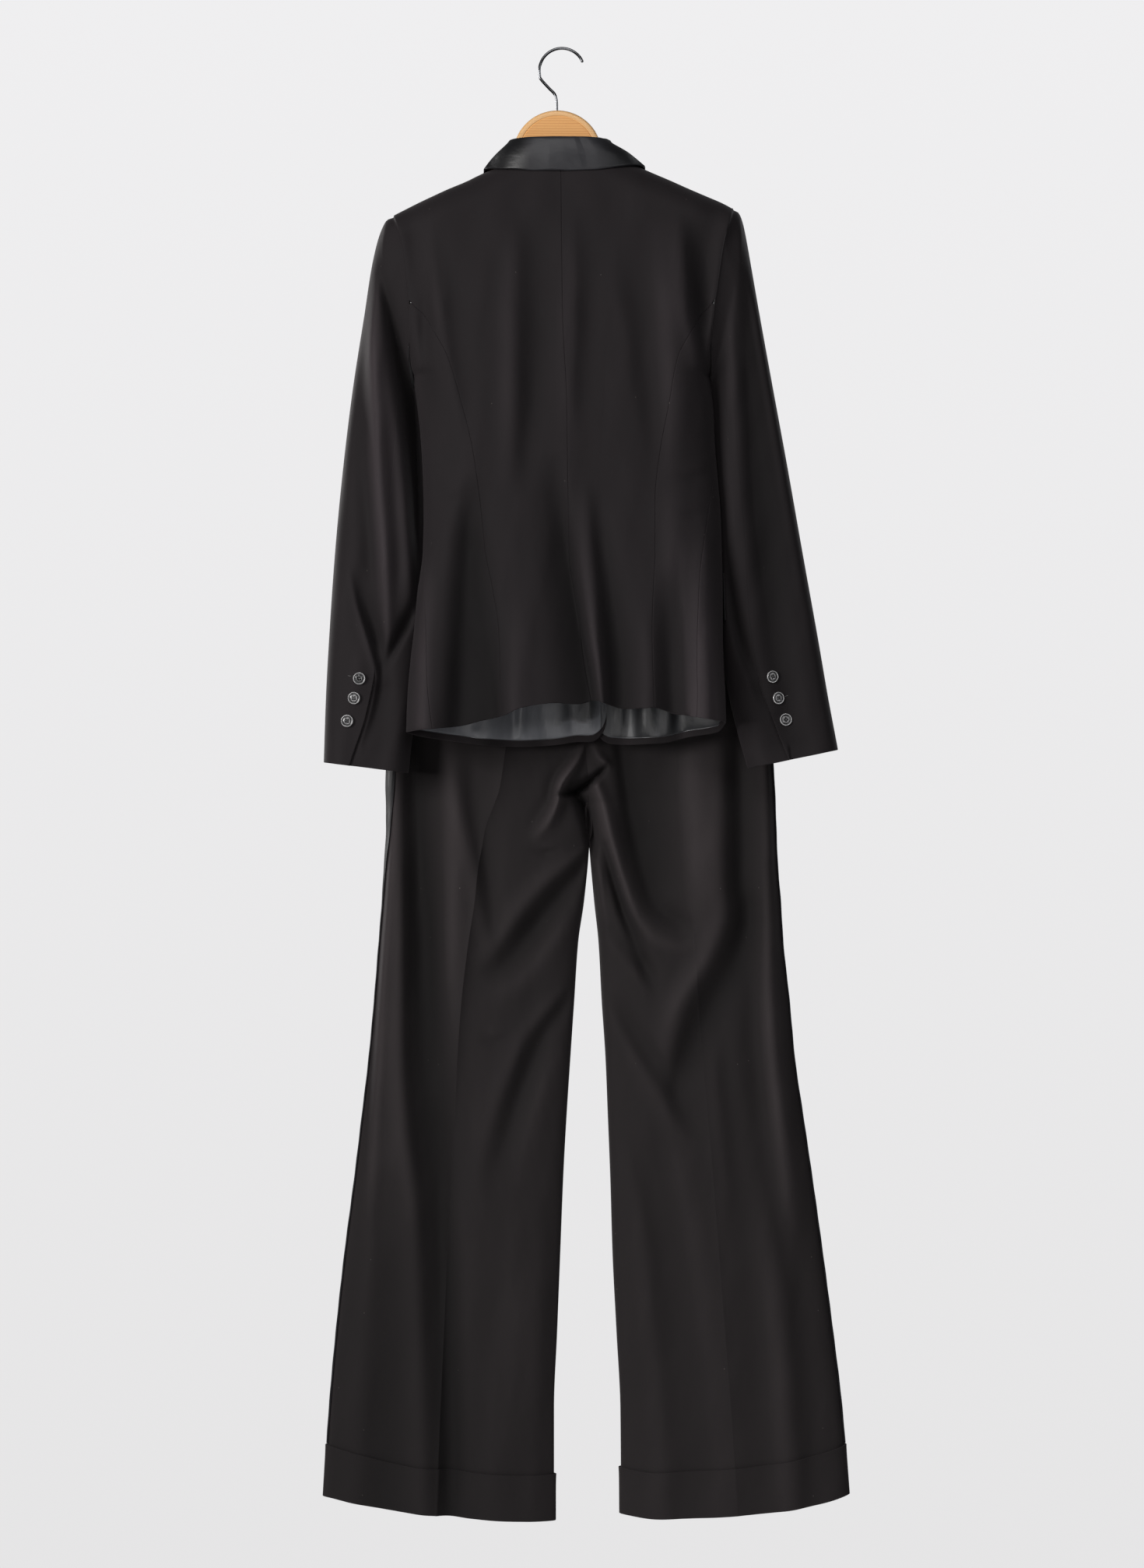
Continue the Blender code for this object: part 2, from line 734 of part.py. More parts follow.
def smooth_path(corners, count):
    """A centripetal curve through the corners, evenly cut into count points."""
    corners = np.array(corners, float)
    ends = np.vstack([2 * corners[0] - corners[1], corners, 2 * corners[-1] - corners[-2]])
    fine = []
    for i in range(1, len(ends) - 2):
        p0, p1, p2, p3 = ends[i - 1 : i + 3]
        for t in np.linspace(0, 1, 24, endpoint=False):
            fine.append(
                0.5
                * (
                    2 * p1
                    + (p2 - p0) * t
                    + (2 * p0 - 5 * p1 + 4 * p2 - p3) * t**2
                    + (3 * p1 - p0 - 3 * p2 + p3) * t**3
                )
            )
    fine = np.array(fine + [corners[-1]])
    run = np.concatenate([[0], np.cumsum(np.linalg.norm(np.diff(fine, axis=0), axis=1))])
    spots = np.linspace(0, run[-1], count)
    return np.stack([np.interp(spots, run, fine[:, k]) for k in range(3)], axis=-1)


# ---------------------------------------------------------------- the jacket

SHOULDER_DROPS = (0, 2.2, 9, 20, 34)
HEIGHTS = (245, 290, 297, 322, 342, 357, 367, 372, 381, 398, 425, 460, 500, 540, 580, 625, 670, 720)


def seam_span(hand):
    """Top of the armhole and foot of the side seam on that hand."""
    side = "left" if hand > 0 else "right"
    high = settle(lambda x: CREST("down", x), lambda d: hand * BODY(side, d), 190.0)
    low = settle(
        lambda x: BACK_HEM("down", x),
        lambda d: body_middle(d) + hand * body_half(d) * np.cos(side_seam_turn(hand, d)),
        770.0,
    )
    return float(high), float(low)


def body_rows(hand):
    high, low = seam_span(hand)
    heights = [high + drop for drop in SHOULDER_DROPS] + list(HEIGHTS) + [low]
    return (np.array(heights) - high) / (low - high)


FRONT_A = {
    1: [0, 0.05, 0.12, 0.22, 0.36, 0.54, 0.74, 0.88, 0.97, 1],
    -1: [0, 0.05, 0.12, 0.22, 0.36, 0.54, 0.74, 0.85, 0.9, 1],
}
for hand, label in ((1, "left"), (-1, "right")):
    cloth(
        f"jacket_back_{label}",
        back_panel(hand),
        [0, 0.18, 0.4, 0.62, 0.8, 0.92, 1],
        body_rows(hand),
        JACKET_WALL,
        WOOL,
        gaps=(SEAM, SEAM, SEAM, 0),
        ends=((-1, slice(0, 6)),),
    )
    cloth(
        f"jacket_side_back_{label}",
        side_back_panel(hand),
        [0, 0.35, 0.7, 1],
        body_rows(hand)[7:],
        JACKET_WALL,
        WOOL,
        gaps=(SEAM, SEAM, 0.3, 0),
        ends=((-1, slice(0, 5)),),
    )
    cloth(
        f"jacket_front_{label}",
        front_panel(hand),
        FRONT_A[hand],
        body_rows(hand),
        JACKET_WALL,
        WOOL,
        gaps=(SEAM, 0, SEAM, 0),
        ends=((0, slice(0, 12)),),
    )


SLEEVE_ROWS = [0, 0.012, 0.03, 0.06, 0.1, 0.16, 0.24, 0.33, 0.42, 0.51, 0.6, 0.69, 0.78, 0.86, 0.93, 1]


def sleeve_cloth(name, hand, point, a, gaps, finish):
    table = SLEEVE_LEFT if hand > 0 else SLEEVE_RIGHT
    grid_a, grid_b = np.meshgrid(np.asarray(a, float), np.asarray(SLEEVE_ROWS, float))
    middle = point(grid_a, grid_b)
    core = stacked(
        hand * (table("out", grid_b) + table("in", grid_b)) / 2,
        (table("out_hinge", grid_b) + table("in_hinge", grid_b)) / 2,
        (table("out_down", grid_b) + table("in_down", grid_b)) / 2,
    )
    out = normals(point, grid_a, grid_b, core)
    out[0, :, 0] = 0
    out[0] /= np.linalg.norm(out[0], axis=-1, keepdims=True)
    middle = edge_pull(middle, gaps)
    return wall(name, middle, middle - out * JACKET_WALL, finish)


for hand, label in ((1, "left"), (-1, "right")):
    sleeve_cloth(
        f"top_sleeve_{label}",
        hand,
        top_sleeve(hand),
        [0, 0.16, 0.34, 0.44, 0.51, 0.58, 0.66, 0.78, 0.9, 1],
        (SEAM, SEAM, 0, 0),
        WOOL,
    )
    sleeve_cloth(
        f"under_sleeve_{label}",
        hand,
        under_sleeve(hand),
        [0, 0.22, 0.44, 0.62, 0.8, 1],
        (SEAM, SEAM, 0, 0),
        WOOL,
    )


# The lining shows inside the fronts, from above the back hem down to the front hem.
for hand, label in ((1, "left"), (-1, "right")):
    rows = body_rows(hand)
    cloth(
        f"front_lining_{label}",
        front_panel(hand),
        FRONT_A[hand][1:-1],
        [rows[-3], rows[-2], 0.3 * rows[-2] + 0.7, 0.06 * rows[-2] + 0.94],
        1.0,
        LINING,
        lift=-(JACKET_WALL + 0.8),
    )


def lapel(hand):
    """Turned back along the front's own edge, over the front."""
    side = "left" if hand > 0 else "right"

    def point(a, b):
        down = 197 + b * (448 - 197)
        across = FRONT_EDGE(side, down) + hand * (0.5 + a * LAPEL("width", down))
        flat = body_point(hand, -body_turn(hand, across, down), down, True)
        flat[..., 1] -= front_lap(hand, across, down)
        return flat

    return point


for hand, label in ((1, "left"), (-1, "right")):
    cloth(
        f"lapel_{label}",
        lapel(hand),
        [0, 0.2, 0.4, 0.6, 0.8, 1],
        [0, 0.03, 0.09, 0.19, 0.32, 0.46, 0.6, 0.74, 0.87, 1],
        TRIM_WALL,
        SATIN,
        lift=LIFT + TRIM_WALL + 0.3,
    )


def collar_grid(parts):
    """Rows of the collar across its width, for parts from -1 (right end) to 1 (left end)."""
    rows = []
    for part in parts:
        hand = 1.0 if part >= 0 else -1.0
        p = abs(part)
        slim = 1.0 if hand > 0 else 1 - 0.07 * ease(p / 0.36)
        drop = 0.0 if hand > 0 else 4.0 * ease(p / 0.5)

        def spot(name, lower=0.0):
            return np.array(
                [
                    hand * COLLAR(name + "_x", p) * slim,
                    COLLAR(name + "_y", p),
                    -(COLLAR(name + "_d", p) - drop * lower),
                ]
            )

        stand, fold = spot("stand", 1.0), spot("fold")
        wide = 1.0 if hand > 0 else 1.0 + 0.03 * ease(p / 0.5)
        across = float(hand * COLLAR("leaf_x", p) * wide) - 3.7 * (1 - p)
        down = float(COLLAR("leaf_d", p)) - (0 if hand > 0 else 4.0 * ease(p / 0.5))
        crest = float(CREST("down", across))
        side = 1.0 if p < 0.62 else -1.0
        down = max(down, crest + 0.05)
        leaf = np.array([across, float(body_depth(side, across, down)), -down])
        slope_x = float(body_depth(side, across + 0.02, down) - leaf[1]) / 0.02
        slope_d = float(body_depth(side, across, down + 0.02) - leaf[1]) / 0.02
        clear = side * np.array([-slope_x, 1.0, slope_d])
        clear /= np.linalg.norm(clear)
        out = np.array([leaf[0] - stand[0], leaf[1] - stand[1], 0.0])
        if p < 0.1:
            out = np.array([0.0, 1.0, 0.0])
        out /= np.linalg.norm(out)
        up = np.array([0, 0, 1.0])
        over = 1 - abs(out[1])
        leaf = leaf + clear * (3.4 + 3.0 * math.exp(-(((p - 0.66) / 0.14) ** 2)))
        rows.append(
            [
                stand,
                stand + 0.72 * (fold - stand) - 1.6 * out,
                fold,
                fold + 3.2 * out - 3.4 * up,
                0.5 * (fold + leaf) + 3.4 * out + 1.0 * up * over,
                leaf,
            ]
        )
    return np.array(rows)


def sheet_normals(grid):
    down_rows = np.gradient(grid, axis=0)
    across = np.gradient(grid, axis=1)
    out = np.cross(down_rows, across)
    return out / np.linalg.norm(out, axis=-1, keepdims=True)


COLLAR_PARTS = [-1, -0.9, -0.8, -0.7, -0.64, -0.59, -0.53, -0.45, -0.34, -0.18, 0]
collar = collar_grid(COLLAR_PARTS + [-p for p in COLLAR_PARTS[-2::-1]])
collar_out = sheet_normals(collar)
wall("collar", collar + collar_out * 0.8, collar - collar_out * 0.8, SATIN)


def flap(hand):
    """A pocket flap across the hip, from near the side edge forwards."""
    first = 0.45 if hand > 0 else 0.06

    def point(a, b):
        down = 598 + b * 54
        return body_point(hand, -first - (0.98 - first) * a, down, True)

    return point


FLAP_A, FLAP_B = np.array([0, 0.08, 0.2, 0.4, 0.7, 1]), np.array([0, 0.5, 1])
for hand, label in ((1, "left"), (-1, "right")):
    cloth(
        f"pocket_flap_{label}",
        flap(hand),
        FLAP_A,
        FLAP_B,
        JACKET_WALL,
        WOOL,
        lift=LIFT + JACKET_WALL + 0.2 + 2.2 * np.outer(FLAP_B, 1 - 0.7 * FLAP_A),
    )


# ----------------------------------------------------------------- buttons


def button(name, place, out, radius):
    """A four-part turned button: a flat back, a raised rim and a sunk middle."""
    profile = (
        (0, 0.0),
        (radius * 0.78, 0.0),
        (radius, 1.0),
        (radius, 1.9),
        (radius * 0.86, 2.5),
        (radius * 0.7, 1.9),
        (0, 1.9),
    )
    revolve(name, profile, place, out, HORN, 14)


def nearest_on_sleeve(hand, across, down):
    """The sleeve's part and turn under a place seen squarely from the back."""
    parts, turns = np.meshgrid(np.linspace(0.7, 1, 301), np.linspace(0.3, 2.2, 301))
    spots = sleeve_point(hand, parts, turns)
    miss = (spots[..., 0] - across) ** 2 + (spots[..., 2] + down) ** 2
    k = np.unravel_index(np.argmin(miss), miss.shape)
    return parts[k], turns[k]


CUFF_BUTTONS = {
    1: ((232.0, 718.8), (237.8, 741.2), (245.7, 767.4)),
    -1: ((-240.4, 716.9), (-247.2, 741.3), (-256.6, 766.0)),
}
for hand, label in ((1, "left"), (-1, "right")):
    for number, (across, down) in enumerate(CUFF_BUTTONS[hand], 1):
        part, turn = nearest_on_sleeve(hand, across, down)
        here = sleeve_point(hand, part, turn)
        out = np.cross(
            sleeve_point(hand, part, turn + 1e-3) - here, sleeve_point(hand, part + 1e-3, turn) - here
        )
        out *= np.sign(out[1]) / np.linalg.norm(out)
        button(f"cuff_button_{label}_{number}", here + out * 0.6, out, BUTTON_RADIUS)

button_x = float(FRONT_EDGE("right", 492)) - 9
button_y = float(body_depth(-1.0, button_x, 492)) - 3.4
button("front_button", (button_x, button_y - 0.8, -492), (0, -1, 0), 10.0)


# ---------------------------------------------------------------- the trousers

LEG_A = [0, 0.05, 0.1, 0.14, 0.27, 0.39, 0.5, 0.68, 0.86, 1]
LEG_B = np.array([0, 50, 110, 170, 215, 243, 259, 285, 330, 390, 460, 540, 630, 740, 860, 980])


def leg_core(points):
    core = points.copy()
    core[..., 1] = TROUSER_HINGE
    core[..., 0] = points[:, :1, 0] * 0.5 + points[:, -1:, 0] * 0.5
    core[..., 0] = core[..., 0] + 0.7 * (points[..., 0] - core[..., 0])
    return core


def leg_rows(hand):
    low = float(LEG_HEM("left" if hand > 0 else "right", 0.45))
    return np.concatenate([LEG_B / (low - TROUSER_TOP), [1.0]])


for hand, label in ((1, "left"), (-1, "right")):
    for side, place in ((1, "back"), (-1, "front")):
        cloth(
            f"trouser_{place}_{label}",
            leg_panel(hand, side),
            LEG_A,
            leg_rows(hand),
            TROUSER_WALL,
            WOOL,
            gaps=(SEAM, SEAM + 0.05, 0, 0),
            core=leg_core,
        )


def band_ring(down, in_by):
    """The waist as one closed ring, from the trousers' own top."""
    points = []
    for hand, side, order in ((1, 1, 1), (-1, 1, -1), (-1, -1, 1), (1, -1, -1)):
        shares = [0, 0.03, 0.1, 0.22, 0.38, 0.6, 0.82, 1][::order]
        for share in shares[:-1]:
            spot = leg_point(hand, side, share, TROUSER_TOP)
            points.append([spot[0] * in_by - 17.5 * (1 - in_by), spot[1], -down])
    return np.array(points)


def ring_normals(grid):
    around = np.roll(grid, -1, axis=1) - np.roll(grid, 1, axis=1)
    out = np.cross(around, np.array([0, 0, 1.0]))
    return out / np.linalg.norm(out, axis=-1, keepdims=True)


band = np.array(
    [
        band_ring(TROUSER_TOP - BAND_HEIGHT, 0.985),
        band_ring(TROUSER_TOP - BAND_HEIGHT / 2, 0.993),
        band_ring(TROUSER_TOP, 1.0),
    ]
)
band_out = ring_normals(band)
if np.sum(band_out[..., 1] * (band[..., 1] - TROUSER_HINGE)) < 0:
    band_out = -band_out
wall("waistband", band, band - band_out * 2.4, WOOL, ring=True)
button(
    "waistband_button",
    (-24, float(leg_point(1, -1, 0.98, TROUSER_TOP)[1]) - 0.6, -(TROUSER_TOP - 20)),
    (0, -1, 0),
    BUTTON_RADIUS,
)


def stripe(hand):
    """A satin band over the outseam, a little more of it on the front."""
    name = "left" if hand > 0 else "right"

    def point(a, b):
        place = 0.1 - 0.24 * a
        low = LEG_HEM(name, 0.0) - LEG_HEM("turn_" + name, 0.0) - 1.2
        down = TROUSER_TOP + 1 + b * (low - TROUSER_TOP - 1)
        share = leg_share(hand, np.abs(place), down)
        return leg_point(hand, np.where(place > 0, 1.0, -1.0), share, down)

    return point


def stripe_rows(hand):
    """The leg's own heights at the outseam, as far as the turn-up."""
    name = "left" if hand > 0 else "right"
    hem = float(LEG_HEM(name, 0))
    foot = hem - float(LEG_HEM("turn_" + name, 0)) - 1.2
    heights = TROUSER_TOP + 0.3 + leg_rows(hand) * (hem - TROUSER_TOP - 0.3)
    heights = [d for d in heights[1:] if d < foot - 8]
    return [0] + [(d - TROUSER_TOP - 1) / (foot - TROUSER_TOP - 1) for d in heights] + [1]


for hand, label in ((1, "left"), (-1, "right")):
    cloth(
        f"side_stripe_{label}",
        stripe(hand),
        (0.1 - np.array([0.1, 0.05, 0, -0.05, -0.1, -0.14])) / 0.24,
        stripe_rows(hand),
        TRIM_WALL,
        SATIN,
        lift=LIFT + TRIM_WALL,
        core=leg_core,
    )


def turn_up(hand, label):
    """A ring over the foot of the leg, standing just clear of it."""
    columns = [(1, a) for a in LEG_A[:-1]] + [(-1, a) for a in LEG_A[:0:-1]]
    rows, outs = [], []
    for b in (0.0, 0.5, 1.0):
        row, out = [], []
        for side, a in columns:

            def point(a, b, side=side):
                share = leg_share(hand, a, 1690.0 + 0 * a)
                foot = LEG_HEM(label, share)
                down = foot - LEG_HEM("turn_" + label, share) * (1 - b) + 0.6 * b
                return leg_point(hand, side, leg_share(hand, a, down), down)

            here = point(np.array(a), np.array(b))
            core = here.copy()
            core[1] = TROUSER_HINGE
            core[0] += 30 * (1 if a > 0.5 else -1) * hand
            row.append(here)
            way = normals(point, np.array(a), np.array(b), core)
            out.append(way)
        rows.append(row)
        outs.append(out)
    grid, out = np.array(rows), np.array(outs)
    lift = LIFT + TROUSER_WALL
    return grid + out * lift, grid + out * LIFT


for hand, label in ((1, "left"), (-1, "right")):
    outer, inner = turn_up(hand, label)
    wall(f"turn_up_{label}", outer, inner, WOOL, ring=True)


# ------------------------------------------------------------------ the hanger

WOOD_HALF = 7.0
DISC = (5.0, 121.0, 51.0)  # across, down and radius of the half-moon top
ARM_CLEAR = 7.0


def hanger_outline():
    """Across and down, clockwise from the left arm's tip: arms, half-moon, underside."""
    points = []
    for x in (184, 165, 140, 112, 88, 74):
        points.append((x, float(CREST("down", x)) + ARM_CLEAR))
    for angle in range(-4, 185, 9):
        t = math.radians(angle)
        points.append((DISC[0] + DISC[2] * math.cos(t), DISC[1] - DISC[2] * math.sin(t)))
    for x in (-78, -88, -112, -140, -165, -186):
        points.append((x, float(CREST("down", x)) + ARM_CLEAR))
    points += [(-191, 194), (-189, 204), (-180, 209)]
    for x in (-140, -90, -40, 5, 50, 100, 145):
        points.append((x, 188 + 22 * (abs(x - 3) / 190) ** 1.5))
    points += [(178, 217), (187, 213), (189, 203)]
    return points


def plate(name, outline, half, bevel, finish):
    """An outline (across, down) thickened in depth, its edges rounded off."""
    count = len(outline)
    points = [(x, y, -d) for y in (-half, half) for x, d in outline]
    faces = [tuple(range(count)), tuple(range(2 * count - 1, count - 1, -1))]
    for i in range(count):
        j = (i + 1) % count
        faces.append((j, i, count + i, count + j))
    mesh = bpy.data.meshes.new(name)
    mesh.from_pydata((np.array(points) * MM).tolist(), [], faces)
    turned_out(mesh)
    mesh.materials.append(finish)
    made = bpy.data.objects.new(name, mesh)
    bpy.context.collection.objects.link(made)
    rounded = made.modifiers.new("rounded", "BEVEL")
    rounded.width = bevel * MM
    rounded.segments = 2
    rounded.limit_method = "ANGLE"
    rounded.angle_limit = math.radians(60)
    return made


wood = plate("wooden_hanger", hanger_outline(), WOOD_HALF, 2.5, BEECH)
socket = revolve(
    "hook_hole", ((0, 0), (2.1, 0), (2.1, 30), (0, 30)), (5.8, 0, -84.5), (0, 0, 1), BEECH, 12
)
socket.hide_render = True
socket.display_type = "WIRE"
bored = wood.modifiers.new("hook hole", "BOOLEAN")
bored.operation = "DIFFERENCE"
bored.object = socket

HOOK_RADIUS, WIRE = 25.8, 1.65
hook = [
    (
        -HOOK_RADIUS * math.cos(math.radians(t)),
        0,
        WIRE - HOOK_RADIUS + HOOK_RADIUS * math.sin(math.radians(t)),
    )
    for t in range(22, 206, 12)
]
hook = smooth_path(
    hook + [(14.6, 0, -44.2), (8.3, 0, -50.8), (6.1, 0, -58.5), (5.8, 0, -70), (5.8, 0, -84)], 44
)
wire("chrome_hook", hook, WIRE, CHROME, 2)

BAND_MIDDLE = -17.5
drop = smooth_path(
    [
        (5, -7.5, -152),
        (5, -14, -152.3),
        (5, -26, -158),
        (5, -52, -180),
        (4.5, -70, -225),
        (3, -74, -300),
        (-3, -76, -400),
        (-10, -80, -470),
        (-16, -89, -520),
        (-17.5, -93, -542.1),
    ],
    36,
)
wire("drop_wire", drop, 1.6, CHROME, 2)
wire("clip_bar", [(x, -93, -545) for x in (-147.5, -82, -17.5, 47, 112.5)], 2.5, CHROME, 2)


def clip(name, across):
    """Sheet steel bent over the bar, its jaws down both faces of the waistband."""
    profile = ((10.6, 582), (10.6, 544), (8.2, 540.2), (-8.2, 540.2), (-10.6, 544), (-10.6, 582))
    inner = ((-8.5, 582), (-8.5, 545.5), (-6.4, 542.2), (6.4, 542.2), (8.5, 545.5), (8.5, 582))
    outline = profile + inner
    count = len(outline)
    points = [
        (across + x, TROUSER_HINGE + y, -d) for x in (-14.0, 14.0) for y, d in outline
    ]
    faces = [tuple(range(count)), tuple(range(2 * count - 1, count - 1, -1))]
    for i in range(count):
        j = (i + 1) % count
        faces.append((j, i, count + i, count + j))
    mesh = bpy.data.meshes.new(name)
    mesh.from_pydata((np.array(points) * MM).tolist(), [], faces)
    turned_out(mesh)
    mesh.materials.append(CHROME)
    made = bpy.data.objects.new(name, mesh)
    bpy.context.collection.objects.link(made)


clip("trouser_clip_left", BAND_MIDDLE + 105)
clip("trouser_clip_right", BAND_MIDDLE - 105)
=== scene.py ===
"""The looks of a woman's black dinner trouser suit on a wooden hanger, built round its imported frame.

The cloth is thin shells on the same section tables as the solids, in millimetres,
with the folds laid in from short tables of their own. "down" is the distance
below the hook's inner crown and "across" is +X, the wearer's left. The wearer's
back faces +Y.
"""

import functools
import math

import bpy
import numpy as np
from mathutils import Matrix, Vector


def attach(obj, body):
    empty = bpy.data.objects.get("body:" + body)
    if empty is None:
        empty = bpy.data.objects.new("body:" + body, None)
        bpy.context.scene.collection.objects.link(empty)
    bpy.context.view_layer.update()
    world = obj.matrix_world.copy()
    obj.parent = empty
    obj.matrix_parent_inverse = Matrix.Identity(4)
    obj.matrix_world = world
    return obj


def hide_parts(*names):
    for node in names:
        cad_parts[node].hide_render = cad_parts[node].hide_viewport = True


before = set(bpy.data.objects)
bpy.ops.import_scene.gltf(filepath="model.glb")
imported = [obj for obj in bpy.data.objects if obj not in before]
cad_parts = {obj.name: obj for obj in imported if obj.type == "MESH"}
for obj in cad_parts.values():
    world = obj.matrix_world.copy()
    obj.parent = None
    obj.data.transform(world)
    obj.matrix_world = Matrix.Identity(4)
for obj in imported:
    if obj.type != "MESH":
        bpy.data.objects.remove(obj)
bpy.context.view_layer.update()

MM = 0.001
JACKET_WALL = 2.0  # wool, canvas and lining together
TROUSER_WALL = 1.5
TRIM_WALL = 1.2  # satin trims
SEAM = 0.15  # each piece stops this far short of its seam line
LIFT = 0.45  # clearance under a piece that lies on another

SHOULDER_ROUND = 35.0  # height over which the shoulder rounds over
UNDERARM = 372.0  # lowest point of the armholes
UNDERARM_ROUND = 60.0
NECK_HALF = 75.0  # neck point of the shoulder seam, from the middle
LAP = 8.0  # each front passes the centre front line by this much
CROTCH = 860.0
CROTCH_ROUND = 70.0
TROUSER_TOP = 600.0  # where the trousers meet the waistband
BAND_HEIGHT = 40.0
BUTTON_RADIUS = 7.0

class Table:
    """Rows of numbers under named columns, read on a smooth monotone curve."""

    def __init__(self, names, *rows):
        self.names = names.split()
        self.rows = np.array(rows, float)

    def __call__(self, name, at):
        knots = self.rows[:, 0]
        values = self.rows[:, self.names.index(name)]
        at = np.clip(np.asarray(at, float), knots[0], knots[-1])
        step = np.diff(knots)
        slope = np.diff(values) / step
        tangent = np.empty(len(knots))
        tangent[0], tangent[-1] = slope[0], slope[-1]
        same = slope[:-1] * slope[1:] > 0
        total = np.where(same, slope[:-1] + slope[1:], 1.0)
        tangent[1:-1] = np.where(same, 2 * slope[:-1] * slope[1:] / total, 0.0)
        i = np.clip(np.searchsorted(knots, at, side="right") - 1, 0, len(step) - 1)
        t = (at - knots[i]) / step[i]
        h = step[i]
        return (
            (1 + 2 * t) * (1 - t) ** 2 * values[i]
            + t * (1 - t) ** 2 * h * tangent[i]
            + t**2 * (3 - 2 * t) * values[i + 1]
            + t**2 * (t - 1) * h * tangent[i + 1]
        )

# The jacket's body. left and right are its side edges, back and front its
# depths at the middle, hinge the depth of the edge itself, square how boxy the
# back is.
BODY = Table(
    "down left right back front hinge square",
    (130, 208, 209, 40, 34, 0, 1.0),
    (187, 193.4, 194.4, 48, 42, 0, 1.0),
    (229, 180.6, 183.5, 53, 46, -2, 1.0),
    (272, 175.3, 177, 55, 49, -5, 1.0),
    (304, 173.5, 172.5, 55, 50, -8, 0.95),
    (344, 173.2, 169.5, 54, 50.5, -11, 0.65),
    (372, 171.3, 170, 53, 50, -12, 0.5),
    (412, 165.5, 174.0, 51, 49, -9, 0.5),
    (452, 161.4, 175.6, 48.5, 48, -7, 0.5),
    (492, 159.3, 178.9, 45, 46.5, -5.5, 0.5),
    (532, 158.4, 182.0, 43, 46, -4.5, 0.5),
    (573, 159.3, 183.3, 43, 46, -4, 0.5),
    (620, 165.5, 184.2, 45.5, 46.5, -4, 0.5),
    (664, 169.5, 184.2, 48.5, 47.5, -3, 0.5),
    (700, 173.5, 185.2, 51, 48, -3, 0.5),
    (744, 177.2, 187.5, 53.5, 48.5, -2, 0.5),
    (800, 178.8, 188.5, 56, 49, -2, 0.5),
)
# The line over which the shoulders turn from back to front.
CREST = Table(
    "across down",
    (-205, 188.5),
    (-183, 176),
    (-164, 168),
    (-143, 159),
    (-123, 150),
    (-103, 141.5),
    (-75, 129),
    (0, 97),
    (75, 136),
    (93, 143.5),
    (109, 151.5),
    (129.5, 160),
    (149, 169),
    (168, 178),
    (205, 197),
)
CENTRE_BACK = Table(
    "down across",
    (120, 1),
    (308, -1),
    (413, -6),
    (526, -7.2),
    (581, -8.2),
    (616, -13),
    (656, -19.5),
    (699, -25),
    (760, -36),
)
PRINCESS = Table(
    "down left right",
    (290, 173.8, 173.2),
    (297, 168.5, 168.5),
    (307, 157, 158.5),
    (324, 147, 149),
    (359, 128, 131),
    (406, 114, 122),
    (465, 100, 111),
    (516, 93, 105.8),
    (576, 87, 105.8),
    (616, 79, 104),
    (667, 71.5, 102.5),
    (770, 69, 105.5),
)
# How far each side seam lies in from the body's edge, on the back.
SIDE_SEAM = Table(
    "down left right",
    (372, 0, 0),
    (420, 2, 1),
    (476, 3, 2),
    (515, 3.5, 12),
    (562, 4, 21),
    (610, 7, 28),
    (650, 13, 30),
    (734, 25, 34),
    (790, 34, 37),
)
# The free edges of the two fronts: the V of the neck, then the closing edge.
FRONT_EDGE = Table(
    "down left right",
    (125, 75, -75),
    (136, 75, -75),
    (200, 56, -57),
    (300, 33, -36),
    (400, 12, -18),
    (480, -12, -2),
    (560, -27, -11),
    (620, -35, -19),
    (700, -46, -30),
    (757, -51.5, -36),
    (800, -51.5, -36),
)
BACK_NECK = Table("across down", (-75, 129), (-40, 133), (0, 134), (40, 135), (75, 136))
BACK_HEM = Table(
    "across down",
    (-188, 769),
    (-163, 766),
    (-129, 760.5),
    (-104, 753.6),
    (-74, 755),
    (-34, 745.8),
    (-20, 749.5),
    (7, 748.3),
    (45, 753.6),
    (66, 762.4),
    (93, 768.5),
    (114, 773.8),
    (136, 776.4),
    (179, 780.5),
)
FRONT_HEM = Table(
    "across down",
    (-189, 769),
    (-180, 780),
    (-147, 785.7),
    (-114, 793),
    (-75, 794.5),
    (-50, 793),
    (-20, 791),
    (7, 794.7),
    (46, 797),
    (84, 795.6),
    (117, 791.6),
    (164, 785),
    (179, 780.5),
)
# Sleeves, from shoulder to cuff. out and in are the two edges as the sleeve
# hangs (across, down), each with its depth; back and front are half-depths, and
# round_out and round_in say how much of the width each edge takes to round over.
SLEEVE_LEFT = Table(
    "part out out_down in in_down out_hinge in_hinge back front round_out round_in",
    (0.000, 192.2, 191.5, 171.6, 372.5, 0, -12.5, 42, 32, 0.19, 0.32),
    (0.012, 199.5, 195.0, 170.6, 377, 0, -17, 41, 33, 0.22, 0.34),
    (0.030, 205.5, 204.5, 168.4, 386, -1, -23, 40, 34, 0.28, 0.36),
    (0.060, 211.0, 219.5, 164.4, 400, -2, -28, 39.5, 35, 0.34, 0.40),
    (0.110, 217.8, 249.0, 160.4, 424, -3, -32, 38.5, 36, 0.42, 0.45),
    (0.200, 226.0, 301.0, 156.4, 468, -6, -33.5, 37, 36, 0.5, 0.5),
    (0.350, 240.0, 386.5, 153.6, 540, -14, -34, 35.5, 35.5, 0.5, 0.5),
    (0.500, 251.7, 478.0, 154.0, 607, -20, -33, 34.5, 34.5, 0.5, 0.5),
    (0.650, 261.0, 571.0, 158.5, 675, -25, -34, 33, 33, 0.5, 0.5),
    (0.800, 268.2, 670.0, 166.0, 738, -29, -34, 31.5, 31.5, 0.5, 0.5),
    (0.900, 272.2, 742.0, 172.0, 782, -31, -34, 30, 30, 0.5, 0.5),
    (1.000, 274.7, 815.0, 177.0, 827, -32, -34, 28, 28, 0.5, 0.5),
)
